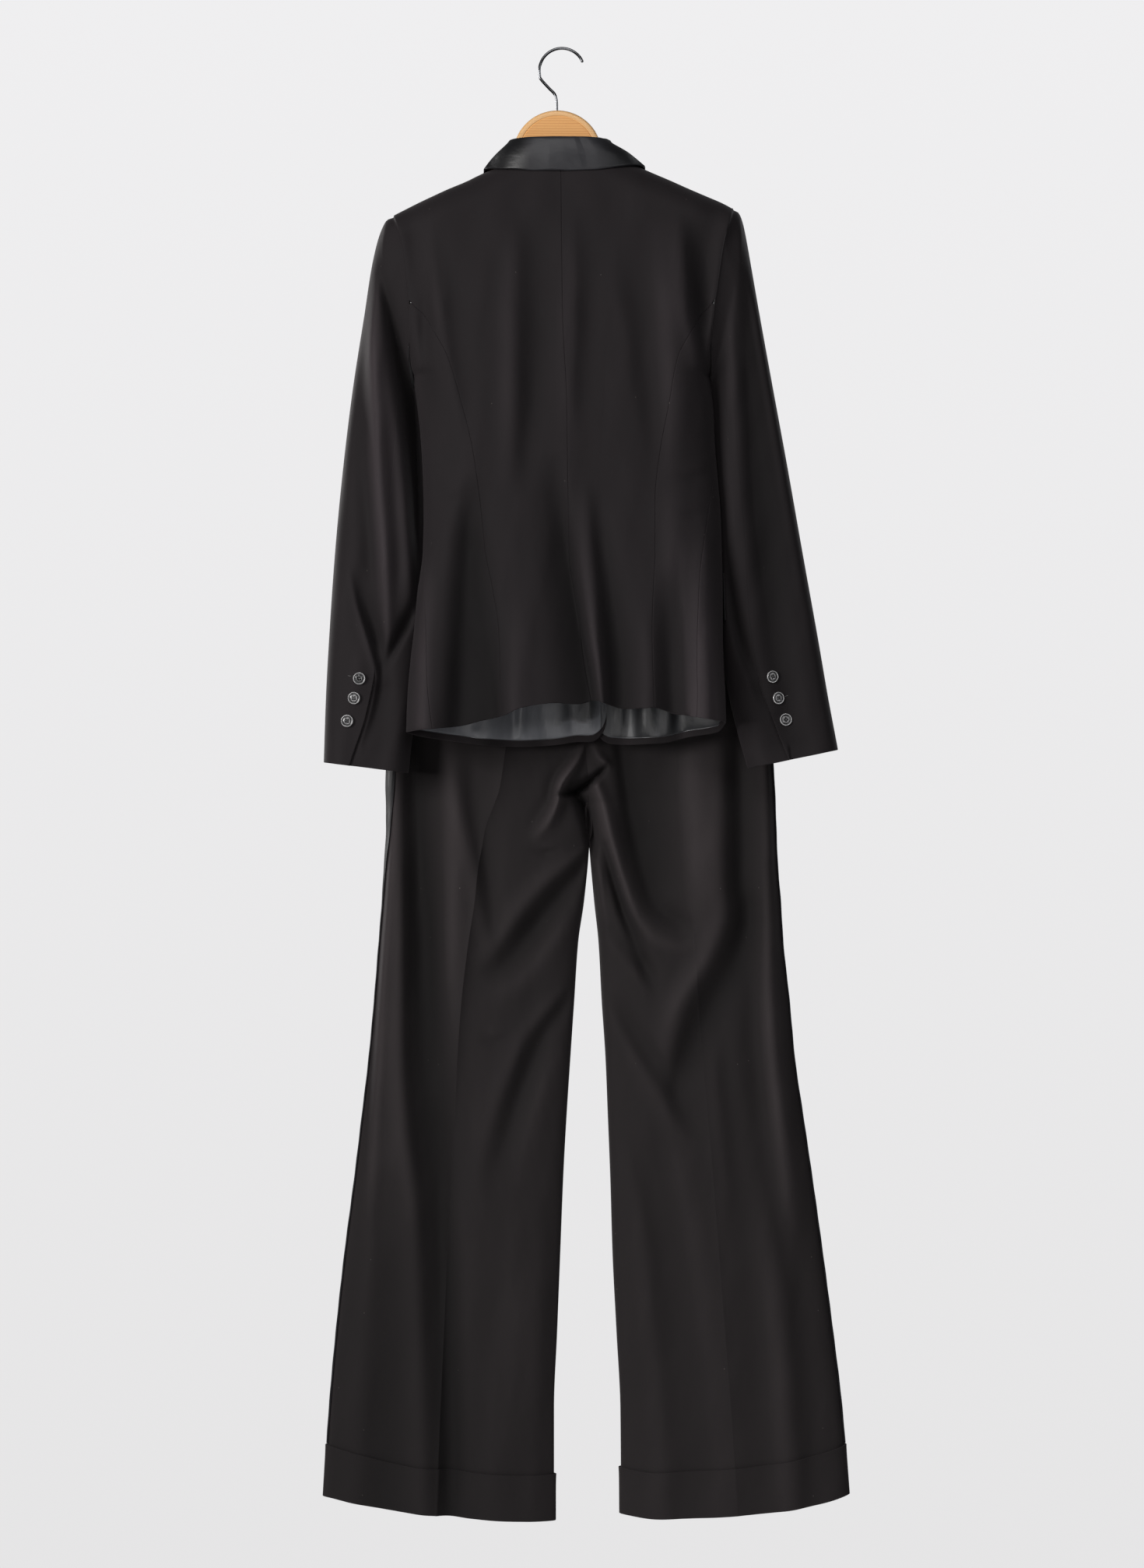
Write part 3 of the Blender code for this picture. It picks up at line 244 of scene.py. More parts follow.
SLEEVE_RIGHT = Table(
    "part out out_down in in_down out_hinge in_hinge back front round_out round_in",
    (0.000, 195.8, 182.5, 170.7, 372.5, 0, -12.5, 42, 32, 0.19, 0.32),
    (0.012, 202.0, 187.0, 169.6, 377, 0, -17, 41, 33, 0.22, 0.34),
    (0.030, 206.8, 198.0, 168.8, 386, -1, -23, 40, 34, 0.28, 0.36),
    (0.060, 210.5, 214.0, 168.8, 400, -2, -28, 39.5, 35, 0.34, 0.40),
    (0.110, 216.0, 244.0, 170.2, 424, -3, -32, 38.5, 36, 0.42, 0.45),
    (0.200, 225.5, 297.0, 172.6, 468, -6, -33.5, 37, 36, 0.5, 0.5),
    (0.350, 242.3, 386.2, 176.0, 540, -14, -34, 35.5, 35.5, 0.5, 0.5),
    (0.500, 259.3, 475.7, 179.0, 607, -20, -33, 34.5, 34.5, 0.5, 0.5),
    (0.650, 276.5, 571.0, 182.0, 672, -25, -34, 33, 33, 0.5, 0.5),
    (0.800, 295.0, 672.0, 191.5, 734, -29, -34, 31.5, 31.5, 0.5, 0.5),
    (0.900, 306.5, 738.0, 201.5, 777, -31, -34, 30, 30, 0.5, 0.5),
    (1.000, 318.4, 800.4, 214.2, 821.8, -32, -34, 28, 28, 0.5, 0.5),
)
# Place of the sleeve seams as a share of the sleeve's width, from the outer edge.
SLEEVE_SEAM = Table(
    "part back_left back_right front",
    (0.0, 0.56, 0.56, 0.80),
    (0.4, 0.55, 0.60, 0.80),
    (0.8, 0.53, 0.68, 0.80),
    (0.9, 0.47, 0.62, 0.80),
    (1.0, 0.31, 0.55, 0.80),
)
# The two legs: outer and inner edges (across), half-depth, and the pressed crease.
LEG_LEFT = Table(
    "down out in depth crease",
    (600, 163, -20, 8, 62),
    (650, 181, -20.5, 13, 62),
    (700, 193, -21.5, 18, 62),
    (760, 202, -24, 22, 63),
    (842, 205.3, -32, 25, 72),
    (866, 204.8, -35.5, 25.5, 80),
    (890, 204.6, -35.5, 26, 89),
    (912, 205.6, -32, 26, 93),
    (934, 207.1, -30.2, 26, 97),
    (979, 209.8, -25.5, 25, 102),
    (1025, 213.5, -18.9, 24, 109),
    (1093, 218.9, -14.3, 23, 117),
    (1161, 225.3, -9.7, 22, 122),
    (1230, 233.5, -5.2, 21, 125),
    (1298, 241.7, -1.5, 21, 129),
    (1389, 253.6, 2.1, 21, 134),
    (1480, 263.6, 5.7, 21, 138),
    (1571, 271.8, 9.4, 21, 142),
    (1700, 280, 9.4, 21, 147),
)
LEG_RIGHT = Table(
    "down out in depth crease",
    (600, -198, -20, 8, -104),
    (650, -217, -20.5, 13, -112),
    (700, -230, -21.5, 18, -120),
    (760, -241, -24, 22, -128),
    (842, -247.6, -30, 25, -136),
    (866, -248.6, -27.5, 25.5, -138),
    (890, -249.4, -27.5, 26, -140),
    (912, -250.2, -31.5, 26, -143),
    (934, -251.2, -33.4, 26, -145),
    (979, -254.8, -37.6, 25, -150),
    (1025, -257.6, -42.5, 24, -154),
    (1093, -264.9, -46.2, 23, -159),
    (1161, -271.2, -50.7, 22, -164),
    (1230, -281.3, -53.5, 21, -170),
    (1298, -291.3, -56.2, 21, -176),
    (1389, -304, -58.9, 21, -183),
    (1480, -315.9, -63.5, 21, -190),
    (1571, -326.8, -68.1, 21, -197),
    (1700, -337, -69, 21, -205),
)
# Hems and turn-ups by share of the leg's width, from the outer edge.
LEG_HEM = Table(
    "share left right turn_left turn_right",
    (0.0, 1671, 1668.6, 59, 57),
    (0.14, 1678.6, 1678.5, 57, 56),
    (0.28, 1685, 1684.5, 54, 55),
    (0.45, 1690.8, 1689.5, 53, 54),
    (0.65, 1695.2, 1693, 53, 54),
    (0.85, 1698.6, 1695, 53, 53),
    (1.0, 1699.4, 1691, 53, 53),
)
TROUSER_HINGE = -93.0  # depth of the trousers' side edges
# The collar, from the middle of the back (0) round to its front end (1).
# stand: the seam at the neck; fold: where it turns over; both as across, depth,
# down. leaf: its outer edge, as across and down on the jacket.
COLLAR = Table(
    "part stand_x stand_y stand_d fold_x fold_y fold_d leaf_x leaf_d",
    (0.00, 0, 36.5, 130.0, 0, 43.5, 107.0, 0, 146.5),
    (0.18, 25, 35, 130.0, 27, 42, 107.0, 37, 146.0),
    (0.36, 47, 28, 129.5, 48.5, 34, 107.0, 64, 144.6),
    (0.52, 62, 15, 128.5, 59.5, 19, 107.8, 83, 142.0),
    (0.66, 68, -3, 128.0, 60.0, -4, 112, 92, 145),
    (0.82, 64, -22, 143, 53.5, -28, 132, 94, 162),
    (1.00, 57, -35.5, 170, 48, -42.5, 168, 92, 190),
)
LAPEL = Table(
    "down width",
    (197, 40),
    (206, 66),
    (222, 86),
    (250, 82),
    (310, 68),
    (390, 40),
    (432, 18),
    (448, 8),
)


def rounding(amount):
    """A quarter circle: 0 at the edge, 1 from amount 1 inwards."""
    return np.sqrt(np.maximum(1 - (1 - np.clip(amount, 0, 1)) ** 2, 0))


def ease(amount):
    amount = np.clip(amount, 0, 1)
    return amount * amount * (3 - 2 * amount)


def stacked(across, depth, down):
    return np.stack(np.broadcast_arrays(across, depth, -np.asarray(down)), axis=-1)


def body_middle(down):
    return (BODY("left", down) - BODY("right", down)) / 2


def body_half(down):
    return (BODY("left", down) + BODY("right", down)) / 2


def body_depth(side, across, down):
    """Depth of the jacket's surface; side is +1 on the back and -1 on the front."""
    s = np.clip(np.abs(across - body_middle(down)) / body_half(down), 0, 1)
    hinge = BODY("hinge", down)
    over_shoulder = rounding((down - CREST("down", across)) / SHOULDER_ROUND)
    by_armhole = rounding((UNDERARM - down) / UNDERARM_ROUND)
    # Away from the armhole's edge the change of section is long and soft.
    inside = ease((1 - s) / 0.22) * ease((UNDERARM + 62 - down) / 118)
    by_armhole = 1 - (1 - by_armhole * (1 - 0.6 * ease((1 - s) / 0.22))) * (1 - inside)
    power = np.where(side > 0, 4.8, 2.2)
    inner = (1 - s**power) ** BODY("square", down)
    at_edge = np.where(side > 0, 42.0, 32.0) * by_armhole
    middle = np.where(side > 0, BODY("back", down) - hinge, BODY("front", down) + hinge)
    return hinge + side * over_shoulder * (at_edge * (1 - inner) + middle * inner)


def body_turn(hand, across, down):
    """Angle round the section: 0 at the side edge of that hand, a right angle at the middle."""
    s = hand * (across - body_middle(down)) / body_half(down)
    return np.arccos(np.clip(s, -1, 1))


def body_point(hand, turn, down, front=False):
    """The jacket at an angle round its section: positive turns are on the back."""
    side = np.where((turn < 0) | front, -1.0, 1.0)
    across = body_middle(down) + hand * body_half(down) * np.cos(turn)
    return stacked(across, body_depth(side, across, down), down)


def princess(hand, down):
    side = "left" if hand > 0 else "right"
    return np.where(
        down < 291, hand * BODY(side, down) + 0 * down, hand * PRINCESS(side, down)
    )


def side_seam_turn(hand, down):
    side = "left" if hand > 0 else "right"
    inset = np.where(down > UNDERARM, SIDE_SEAM(side, down), 0.0)
    return np.arccos(np.clip(1 - inset / body_half(down), -1, 1))


def settle(top_of, across_at, start):
    """Height at which a column meets a boundary that is known across."""
    down = np.full(np.shape(start), 0.0) + start
    for _ in range(12):
        down = top_of(across_at(down))
    return down

SHOULDER_DROPS = (0, 2.2, 9, 20, 34)

HEIGHTS = (245, 290, 297, 322, 342, 357, 367, 372, 381, 398, 425, 460, 500, 540, 580, 625, 670, 720)


def seam_span(hand):
    """Top of the armhole and foot of the side seam on that hand."""
    side = "left" if hand > 0 else "right"
    high = settle(lambda x: CREST("down", x), lambda d: hand * BODY(side, d), 190.0)
    low = settle(
        lambda x: BACK_HEM("down", x),
        lambda d: body_middle(d) + hand * body_half(d) * np.cos(side_seam_turn(hand, d)),
        770.0,
    )
    return float(high), float(low)


def body_rows(hand):
    high, low = seam_span(hand)
    heights = [high + drop for drop in SHOULDER_DROPS] + list(HEIGHTS) + [low]
    return (np.array(heights) - high) / (low - high)


def back_panel(hand):
    def across_at(a, down):
        middle = CENTRE_BACK("across", down)
        return middle + a * (princess(hand, down) - middle)

    def top(across):
        on_neck = BACK_NECK("down", across)
        return np.where(np.abs(across) < NECK_HALF, on_neck, CREST("down", across))

    def point(a, b):
        high = settle(top, lambda d: across_at(a, d), 150 + 0 * a)
        low = settle(lambda x: BACK_HEM("down", x), lambda d: across_at(a, d), 760 + 0 * a)
        # Both backs share their heights along the centre seam.
        shared = np.interp(b, body_rows(hand), body_rows(1))
        down = high + (a * b + (1 - a) * shared) * (low - high)
        across = across_at(a, down)
        return stacked(across, body_depth(1.0, across, down), down)

    return point


def side_back_panel(hand):
    def point(a, b):
        def across_at(down):
            inner = princess(hand, down)
            turn_in = body_turn(hand, inner, down)
            turn_out = side_seam_turn(hand, down)
            turn = turn_out + (1 - a) * (turn_in - turn_out)
            return turn, body_middle(down) + hand * body_half(down) * np.cos(turn)

        low = settle(lambda x: BACK_HEM("down", x), lambda d: across_at(d)[1], 765 + 0 * a)
        high = seam_span(hand)[0]
        down = high + b * (low - high)
        return body_point(hand, across_at(down)[0], down)

    return point


def front_lap(hand, across, down):
    """The right front rises over the left one where they lap."""
    over = ease((across - FRONT_EDGE("left", down) + 34) / 18.0)
    return np.where(hand < 0, 3.4 * over * ease((down - 436) / 24.0), 0.0)


def front_panel(hand):
    side = "left" if hand > 0 else "right"
    corner_wide, corner_high = 21.0, 31.0

    def turn_at(a, down):
        outer = side_seam_turn(hand, down)
        inner = -body_turn(hand, FRONT_EDGE(side, down), down)
        return outer + a * (inner - outer)

    def across_at(a, down):
        turn = turn_at(a, down)
        return body_middle(down) + hand * body_half(down) * np.cos(turn)

    def bottom(a, down):
        across = across_at(a, down)
        past = 1 - hand * (across - FRONT_EDGE(side, 757.0)) / corner_wide
        lift = corner_high * (1 - rounding(1 - np.clip(past, 0, 1)))
        in_front = FRONT_HEM("down", across) - lift
        return np.where(turn_at(a, down) > 0, BACK_HEM("down", across), in_front)

    def point(a, b):
        high = settle(lambda x: CREST("down", x), lambda d: across_at(a, d), 150 + 0 * a)
        low = 785 + 0 * a
        for _ in range(12):
            low = bottom(a, low)
        down = high + b * (low - high)
        turn = turn_at(a, down)
        in_front = (turn < 0) | ((down < UNDERARM + 0.01) & (turn <= 1e-6))
        flat = body_point(hand, turn, down, in_front)
        flat[..., 1] -= front_lap(hand, flat[..., 0], down) * in_front
        return flat

    return point


def sleeve_point(hand, part, turn):
    """A sleeve: turn 0 is its outer edge, positive turns are on the back."""
    table = SLEEVE_LEFT if hand > 0 else SLEEVE_RIGHT
    share = (1 - np.cos(turn)) / 2
    side = np.where(turn < 0, -1.0, 1.0)
    across = table("out", part) * (1 - share) + table("in", part) * share
    down = table("out_down", part) * (1 - share) + table("in_down", part) * share
    # At its outer edge the cap springs straight out from the end of the shoulder.
    near_armhole = 1 - ease(part / (0.012 + 0.048 * ease(share / 0.22)))
    # The armhole seam bows towards the middle of the jacket.
    seam = BODY("left" if hand > 0 else "right", down) + 0.35
    across = across + near_armhole * (seam - across)
    hinge = table("out_hinge", part) * (1 - share) + table("in_hinge", part) * share
    hinge = hinge + near_armhole * (BODY("hinge", down) - hinge)
    # The cloth hangs flat across most of its width and turns close to its edges.
    flat = 1 - 0.42 * ease((part - 0.04) / 0.2)
    round_over = rounding(share / (flat * table("round_out", part))) * rounding(
        (1 - share) / (flat * table("round_in", part))
    )
    half = np.where(side > 0, table("back", part), table("front", part))
    return stacked(hand * across, hinge + side * half * round_over, down)


def sleeve_seam_turn(hand, part, which):
    name = "front" if which == "front" else "back_" + ("left" if hand > 0 else "right")
    share = SLEEVE_SEAM(name, part)
    turn = np.arccos(1 - 2 * share)
    return -turn if which == "front" else turn


def top_sleeve(hand, laid=None):
    laid = laid or draped_sleeve

    def point(a, b):
        first = sleeve_seam_turn(hand, b, "front")
        last = sleeve_seam_turn(hand, b, "back")
        return laid(hand, b, first + a * (last - first))

    return point


def under_sleeve(hand, laid=None):
    laid = laid or draped_sleeve

    def point(a, b):
        first = sleeve_seam_turn(hand, b, "back")
        last = 2 * math.pi + sleeve_seam_turn(hand, b, "front")
        turn = first + a * (last - first)
        return laid(hand, b, np.where(turn > math.pi, turn - 2 * math.pi, turn))

    return point


def leg_table(hand):
    return LEG_LEFT if hand > 0 else LEG_RIGHT


def leg_point(hand, side, share, down):
    """A leg: share 0 is its outer edge and 1 its inner one."""
    table = leg_table(hand)
    across = table("out", down) + share * (table("in", down) - table("out", down))
    joined = rounding((CROTCH - down) / CROTCH_ROUND)
    inner = joined + (1 - joined) * rounding((1 - share) / 0.34)
    depth = table("depth", down) * rounding(share / 0.32) * inner
    high = np.where(np.asarray(side) > 0, CREASE_HIGH[hand, 1], CREASE_HIGH[hand, -1])
    crease = high * np.exp(-np.abs(across - table("crease", down)) / 8.0)
    crease = crease * ease((down - 640) / 200)
    return stacked(across, TROUSER_HINGE + side * (depth + crease * inner), down)


def crease_share(hand, down):
    table = leg_table(hand)
    width = table("in", down) - table("out", down)
    return (table("crease", down) - table("out", down)) / width


def leg_share(hand, a, down):
    """Columns run from the outseam to the crease, then to the inseam."""
    middle = crease_share(hand, down)
    outer = middle * (1 - np.cos(math.pi * np.clip(a, 0, 0.5)))
    inner = middle + (1 - middle) * np.sin(math.pi * (np.clip(a, 0.5, 1) - 0.5))
    return np.where(a <= 0.5, outer, inner)


def leg_panel(hand, side):
    name = "left" if hand > 0 else "right"

    def point(a, b):
        low = LEG_HEM(name, leg_share(hand, a, 1690.0 + 0 * a))
        down = TROUSER_TOP + 0.3 + b * (low - TROUSER_TOP - 0.3)
        return leg_point(hand, side, leg_share(hand, a, down), down)

    return point


def edge_pull(points, gaps):
    """Moves the border in by each side's gap: first and last column, first and last row."""
    out = points.copy()
    for gap, here, there in (
        (gaps[0], np.s_[:, 0], np.s_[:, 1]),
        (gaps[1], np.s_[:, -1], np.s_[:, -2]),
        (gaps[2], np.s_[0, :], np.s_[1, :]),
        (gaps[3], np.s_[-1, :], np.s_[-2, :]),
    ):
        if gap:
            along = np.gradient(points[here], axis=0)
            along /= np.linalg.norm(along, axis=-1, keepdims=True)
            way = points[there] - points[here]
            way -= along * np.sum(way * along, axis=-1, keepdims=True)
            out[here] += gap * way / np.linalg.norm(way, axis=-1, keepdims=True)
    return out


def smooth_path(corners, count):
    """A centripetal curve through the corners, evenly cut into count points."""
    corners = np.array(corners, float)
    ends = np.vstack([2 * corners[0] - corners[1], corners, 2 * corners[-1] - corners[-2]])
    fine = []
    for i in range(1, len(ends) - 2):
        p0, p1, p2, p3 = ends[i - 1 : i + 3]
        for t in np.linspace(0, 1, 24, endpoint=False):
            fine.append(
                0.5
                * (
                    2 * p1
                    + (p2 - p0) * t
                    + (2 * p0 - 5 * p1 + 4 * p2 - p3) * t**2
                    + (3 * p1 - p0 - 3 * p2 + p3) * t**3
                )
            )
    fine = np.array(fine + [corners[-1]])
    run = np.concatenate([[0], np.cumsum(np.linalg.norm(np.diff(fine, axis=0), axis=1))])
    spots = np.linspace(0, run[-1], count)
    return np.stack([np.interp(spots, run, fine[:, k]) for k in range(3)], axis=-1)


def lapel(hand):
    """Turned back along the front's own edge, over the front."""
    side = "left" if hand > 0 else "right"

    def point(a, b):
        down = 197 + b * (448 - 197)
        across = FRONT_EDGE(side, down) + hand * (0.5 + a * LAPEL("width", down))
        flat = body_point(hand, -body_turn(hand, across, down), down, True)
        flat[..., 1] -= front_lap(hand, across, down)
        return flat

    return point


def collar_grid(parts):
    """Rows of the collar across its width, for parts from -1 (right end) to 1 (left end)."""
    rows = []
    for part in parts:
        hand = 1.0 if part >= 0 else -1.0
        p = abs(part)
        slim = 1.0 if hand > 0 else 1 - 0.07 * ease(p / 0.36)
        drop = 0.0 if hand > 0 else 4.0 * ease(p / 0.5)

        def spot(name, lower=0.0):
            return np.array(
                [
                    hand * COLLAR(name + "_x", p) * slim,
                    COLLAR(name + "_y", p),
                    -(COLLAR(name + "_d", p) - drop * lower),
                ]
            )

        stand, fold = spot("stand", 1.0), spot("fold")
        wide = 1.0 if hand > 0 else 1.0 + 0.03 * ease(p / 0.5)
        across = float(hand * COLLAR("leaf_x", p) * wide) - 3.7 * (1 - p)
        down = float(COLLAR("leaf_d", p)) - (0 if hand > 0 else 4.0 * ease(p / 0.5))
        crest = float(CREST("down", across))
        side = 1.0 if p < 0.62 else -1.0
        down = max(down, crest + 0.05)
        leaf = np.array([across, float(body_depth(side, across, down)), -down])
        slope_x = float(body_depth(side, across + 0.02, down) - leaf[1]) / 0.02
        slope_d = float(body_depth(side, across, down + 0.02) - leaf[1]) / 0.02
        clear = side * np.array([-slope_x, 1.0, slope_d])
        clear /= np.linalg.norm(clear)
        out = np.array([leaf[0] - stand[0], leaf[1] - stand[1], 0.0])
        if p < 0.1:
            out = np.array([0.0, 1.0, 0.0])
        out /= np.linalg.norm(out)
        up = np.array([0, 0, 1.0])
        over = 1 - abs(out[1])
        leaf = leaf + clear * (2.6 + 1.4 * math.exp(-(((p - 0.66) / 0.14) ** 2)))
        rows.append(
            [
                stand,
                stand + 0.72 * (fold - stand) - 1.6 * out,
                fold,
                fold + 3.2 * out - 3.4 * up,
                0.5 * (fold + leaf) + 3.4 * out + 1.0 * up * over,
                leaf,
            ]
        )
    return np.array(rows)


def flap(hand):
    """A pocket flap across the hip, from near the side edge forwards."""
    first = 0.45 if hand > 0 else 0.06

    def point(a, b):
        down = 598 + b * 54
        return body_point(hand, -first - (0.98 - first) * a, down, True)

    return point


@functools.lru_cache(maxsize=None)
def cuff_map(hand):
    """The lower sleeve from the back, as places on an even grid of part and turn."""
    parts, turns = np.meshgrid(np.linspace(0.7, 1, 241), np.linspace(0.3, 2.2, 241), indexing="ij")
    return parts, turns, draped_sleeve(hand, parts, turns)


def nearest_on_sleeve(hand, across, down):
    """The sleeve's part and turn under a place seen squarely from the back."""
    parts, turns, spots = cuff_map(hand)
    miss = (spots[..., 0] - across) ** 2 + (spots[..., 2] + down) ** 2
    i, j = np.unravel_index(np.argmin(miss), miss.shape)
    i, j = min(max(i, 1), 239), min(max(j, 1), 239)
    by_part = (spots[i + 1, j] - spots[i - 1, j])[[0, 2]] / (parts[i + 1, j] - parts[i - 1, j])
    by_turn = (spots[i, j + 1] - spots[i, j - 1])[[0, 2]] / (turns[i, j + 1] - turns[i, j - 1])
    left = np.array([across, -down]) - spots[i, j][[0, 2]]
    step = np.linalg.solve(np.stack([by_part, by_turn], -1), left)
    return parts[i, j] + float(np.clip(step[0], -0.003, 0.003)), turns[i, j] + float(np.clip(step[1], -0.02, 0.02))


CUFF_BUTTONS = {
    1: ((232.0, 718.8), (237.8, 741.2), (245.7, 767.4)),
    -1: ((-240.4, 716.9), (-247.2, 741.3), (-256.6, 766.0)),
}


def band_ring(down, in_by):
    """The waist as one closed ring, from the trousers' own top."""
    points = []
    for hand, side, order in ((1, 1, 1), (-1, 1, -1), (-1, -1, 1), (1, -1, -1)):
        shares = [0, 0.03, 0.1, 0.22, 0.38, 0.6, 0.82, 1][::order]
        for share in shares[:-1]:
            spot = leg_point(hand, side, share, TROUSER_TOP)
            points.append([spot[0] * in_by - 17.5 * (1 - in_by), spot[1], -down])
    return np.array(points)


def stripe(hand):
    """A satin band over the outseam, a little more of it on the front."""
    name = "left" if hand > 0 else "right"

    def point(a, b):
        wide = 0.13 - 0.085 * ease((b - 0.22) / 0.18) if hand > 0 else 0.045
        place = wide - (wide + 0.14) * a
        low = LEG_HEM(name, 0.0) - LEG_HEM("turn_" + name, 0.0) - 1.2
        down = TROUSER_TOP + 1 + b * (low - TROUSER_TOP - 1)
        share = leg_share(hand, np.abs(place), down)
        return leg_point(hand, np.where(place > 0, 1.0, -1.0), share, down)

    return point

DISC = (5.0, 121.0, 51.0)  # across, down and radius of the half-moon top

ARM_CLEAR = 7.0


def hanger_outline():
    """Across and down, clockwise from the left arm's tip: arms, half-moon, underside."""
    points = []
    for x in (184, 165, 140, 112, 88, 74):
        points.append((x, float(CREST("down", x)) + ARM_CLEAR))
    for angle in range(-4, 185, 9):
        t = math.radians(angle)
        points.append((DISC[0] + DISC[2] * math.cos(t), DISC[1] - DISC[2] * math.sin(t)))
    for x in (-78, -88, -112, -140, -165, -186):
        points.append((x, float(CREST("down", x)) + ARM_CLEAR))
    points += [(-191, 194), (-189, 204), (-180, 209)]
    for x in (-140, -90, -40, 5, 50, 100, 145):
        points.append((x, 188 + 22 * (abs(x - 3) / 190) ** 1.5))
    points += [(178, 217), (187, 213), (189, 203)]
    return points


# ------------------------------------------------------------------- the folds
# A fold is a row for each of its points: across, down, how deep it is there (a
# ridge is positive and a trough negative), and its widths towards +X and -X.

# A fold marked FORM is a true ridge or hollow, even on both sides.
FORM = "form"
SPREAD = 1.25

BACK_FOLDS = (
    # the blade folds, from under the collar to the waist
    ((44, 186, 0, 13, 15), (42, 240, -4.0, 13, 15), (42, 330, -6.6, 14, 16), (44, 424, -6.2, 14, 14), (50, 520, 0, 10, 10)),
    ((66, 186, 0, 10, 10), (66, 280, 1.8, 12, 11), (68, 400, 1.6, 12, 12), (70, 480, 0, 10, 10)),
    ((-19, 180, 0, 10, 12), (-21, 240, -3.0, 9, 12), (-23, 320, -3.6, 9, 12), (-19, 394, -2.6, 9, 12), (-16, 450, 0, 8, 8)),
    ((8, 190, 0, 12, 12), (6, 300, 1.8, 13, 12), (4, 420, 1.0, 12, 12), (2, 500, 0, 10, 10)),
    ((150, 196, 0, 8, 8), (142, 240, -2.4, 9, 11), (128, 310, -3.6, 9, 12), (114, 400, -2.4, 8, 10), (106, 460, 0, 8, 8)),
    ((-60, 190, 0, 10, 10), (-74, 290, -2.0, 12, 12), (-94, 420, -1.2, 10, 12), (-100, 480, 0, 8, 8)),
    # behind the wearer's right arm, the cloth drops away towards the armhole
    ((-140, 186, 0, 8, 10), (-143, 233, -7.6, 9, 16), (-150, 300, -10.4, 10, 18), (-160, 345, -9.0, 10, 18), (-168, 400, -4.0, 8, 14), (-172, 440, 0, 8, 10)),
    ((-104, 196, 0, 14, 14), (-109, 290, 6.4, 16, 18), (-114, 400, 6.6, 16, 18), (-118, 500, 0, 14, 14)),
    ((158, 250, 0, 6, 8), (160, 320, -3.8, 8, 9), (156, 390, -3.0, 7, 9), (150, 440, 0, 6, 8)),
    # flares below the waist
    (FORM, (6, 465, 0, 14, 8), (2, 520, -8.0, 17, 9), (-4, 570, -14.0, 19, 9), (-12, 625, -15.0, 25, 8), (-21, 675, -16.0, 30, 8), (-29, 710, -16.0, 32, 8), (-36, 756, -16.0, 34, 8)),
    ((-18, 505, 0, 8, 8), (-22, 600, 2.6, 7, 8), (-31, 675, 3.2, 6, 7), (-43, 750, 4.0, 7, 7)),
    ((-32, 500, 0, 8, 9), (-40, 565, -6.0, 9, 11), (-47, 643, -11.0, 10, 14), (-50, 700, -13.0, 10, 16), (-51, 752, -13.0, 10, 17)),
    (FORM, (150, 560, 0, 8, 10), (156, 640, 5.0, 8, 12), (158, 700, 8.0, 8, 13), (160, 772, 10.5, 8, 14)),
    (FORM, (98, 490, 0, 13, 18), (102, 528, -8.0, 14, 18), (105, 565, -15.0, 16, 20), (109, 640, -19.0, 18, 22), (112, 710, -22.0, 19, 24), (114, 774, -24.0, 20, 26)),
    (FORM, (84, 560, 0, 16, 12), (82, 650, -6.0, 18, 13), (82, 710, -11.0, 20, 14), (80, 774, -15.0, 20, 14)),
    ((50, 600, 0, 12, 12), (58, 680, 2.6, 12, 14), (60, 765, 3.6, 12, 14)),
    (FORM, (-118, 590, 0, 13, 8), (-120, 680, -8.0, 15, 9), (-123, 755, -10.5, 17, 9)),
    ((-136, 560, 0, 6, 14), (-140, 670, 6.5, 8, 22), (-144, 758, 10.0, 10, 26)),
    (FORM, (-124, 470, 0, 14, 14), (-127, 530, 4.0, 15, 16), (-128, 590, 4.6, 16, 16), (-130, 650, 0, 14, 14)),
    (FORM, (-156, 520, 0, 12, 8), (-162, 580, 5.0, 18, 8), (-166, 660, 8.0, 18, 8), (-170, 770, 12.0, 20, 8)),
    ((-86, 585, 0, 12, 14), (-88, 680, 3.0, 13, 15), (-90, 752, 4.0, 14, 16)),
    # short cross folds where the waist gives
    ((150, 500, 0, 7, 7), (128, 512, -1.2, 6, 6), (104, 508, 0, 6, 6)),
    ((-176, 470, 0, 6, 6), (-150, 488, -1.4, 6, 7), (-118, 486, 0, 6, 6)),
    ((-172, 520, 0, 6, 6), (-146, 530, -1.0, 6, 6), (-120, 524, 0, 6, 6)),
    ((152, 452, 0, 6, 6), (132, 470, -1.0, 6, 6), (112, 474, 0, 6, 6)),
)
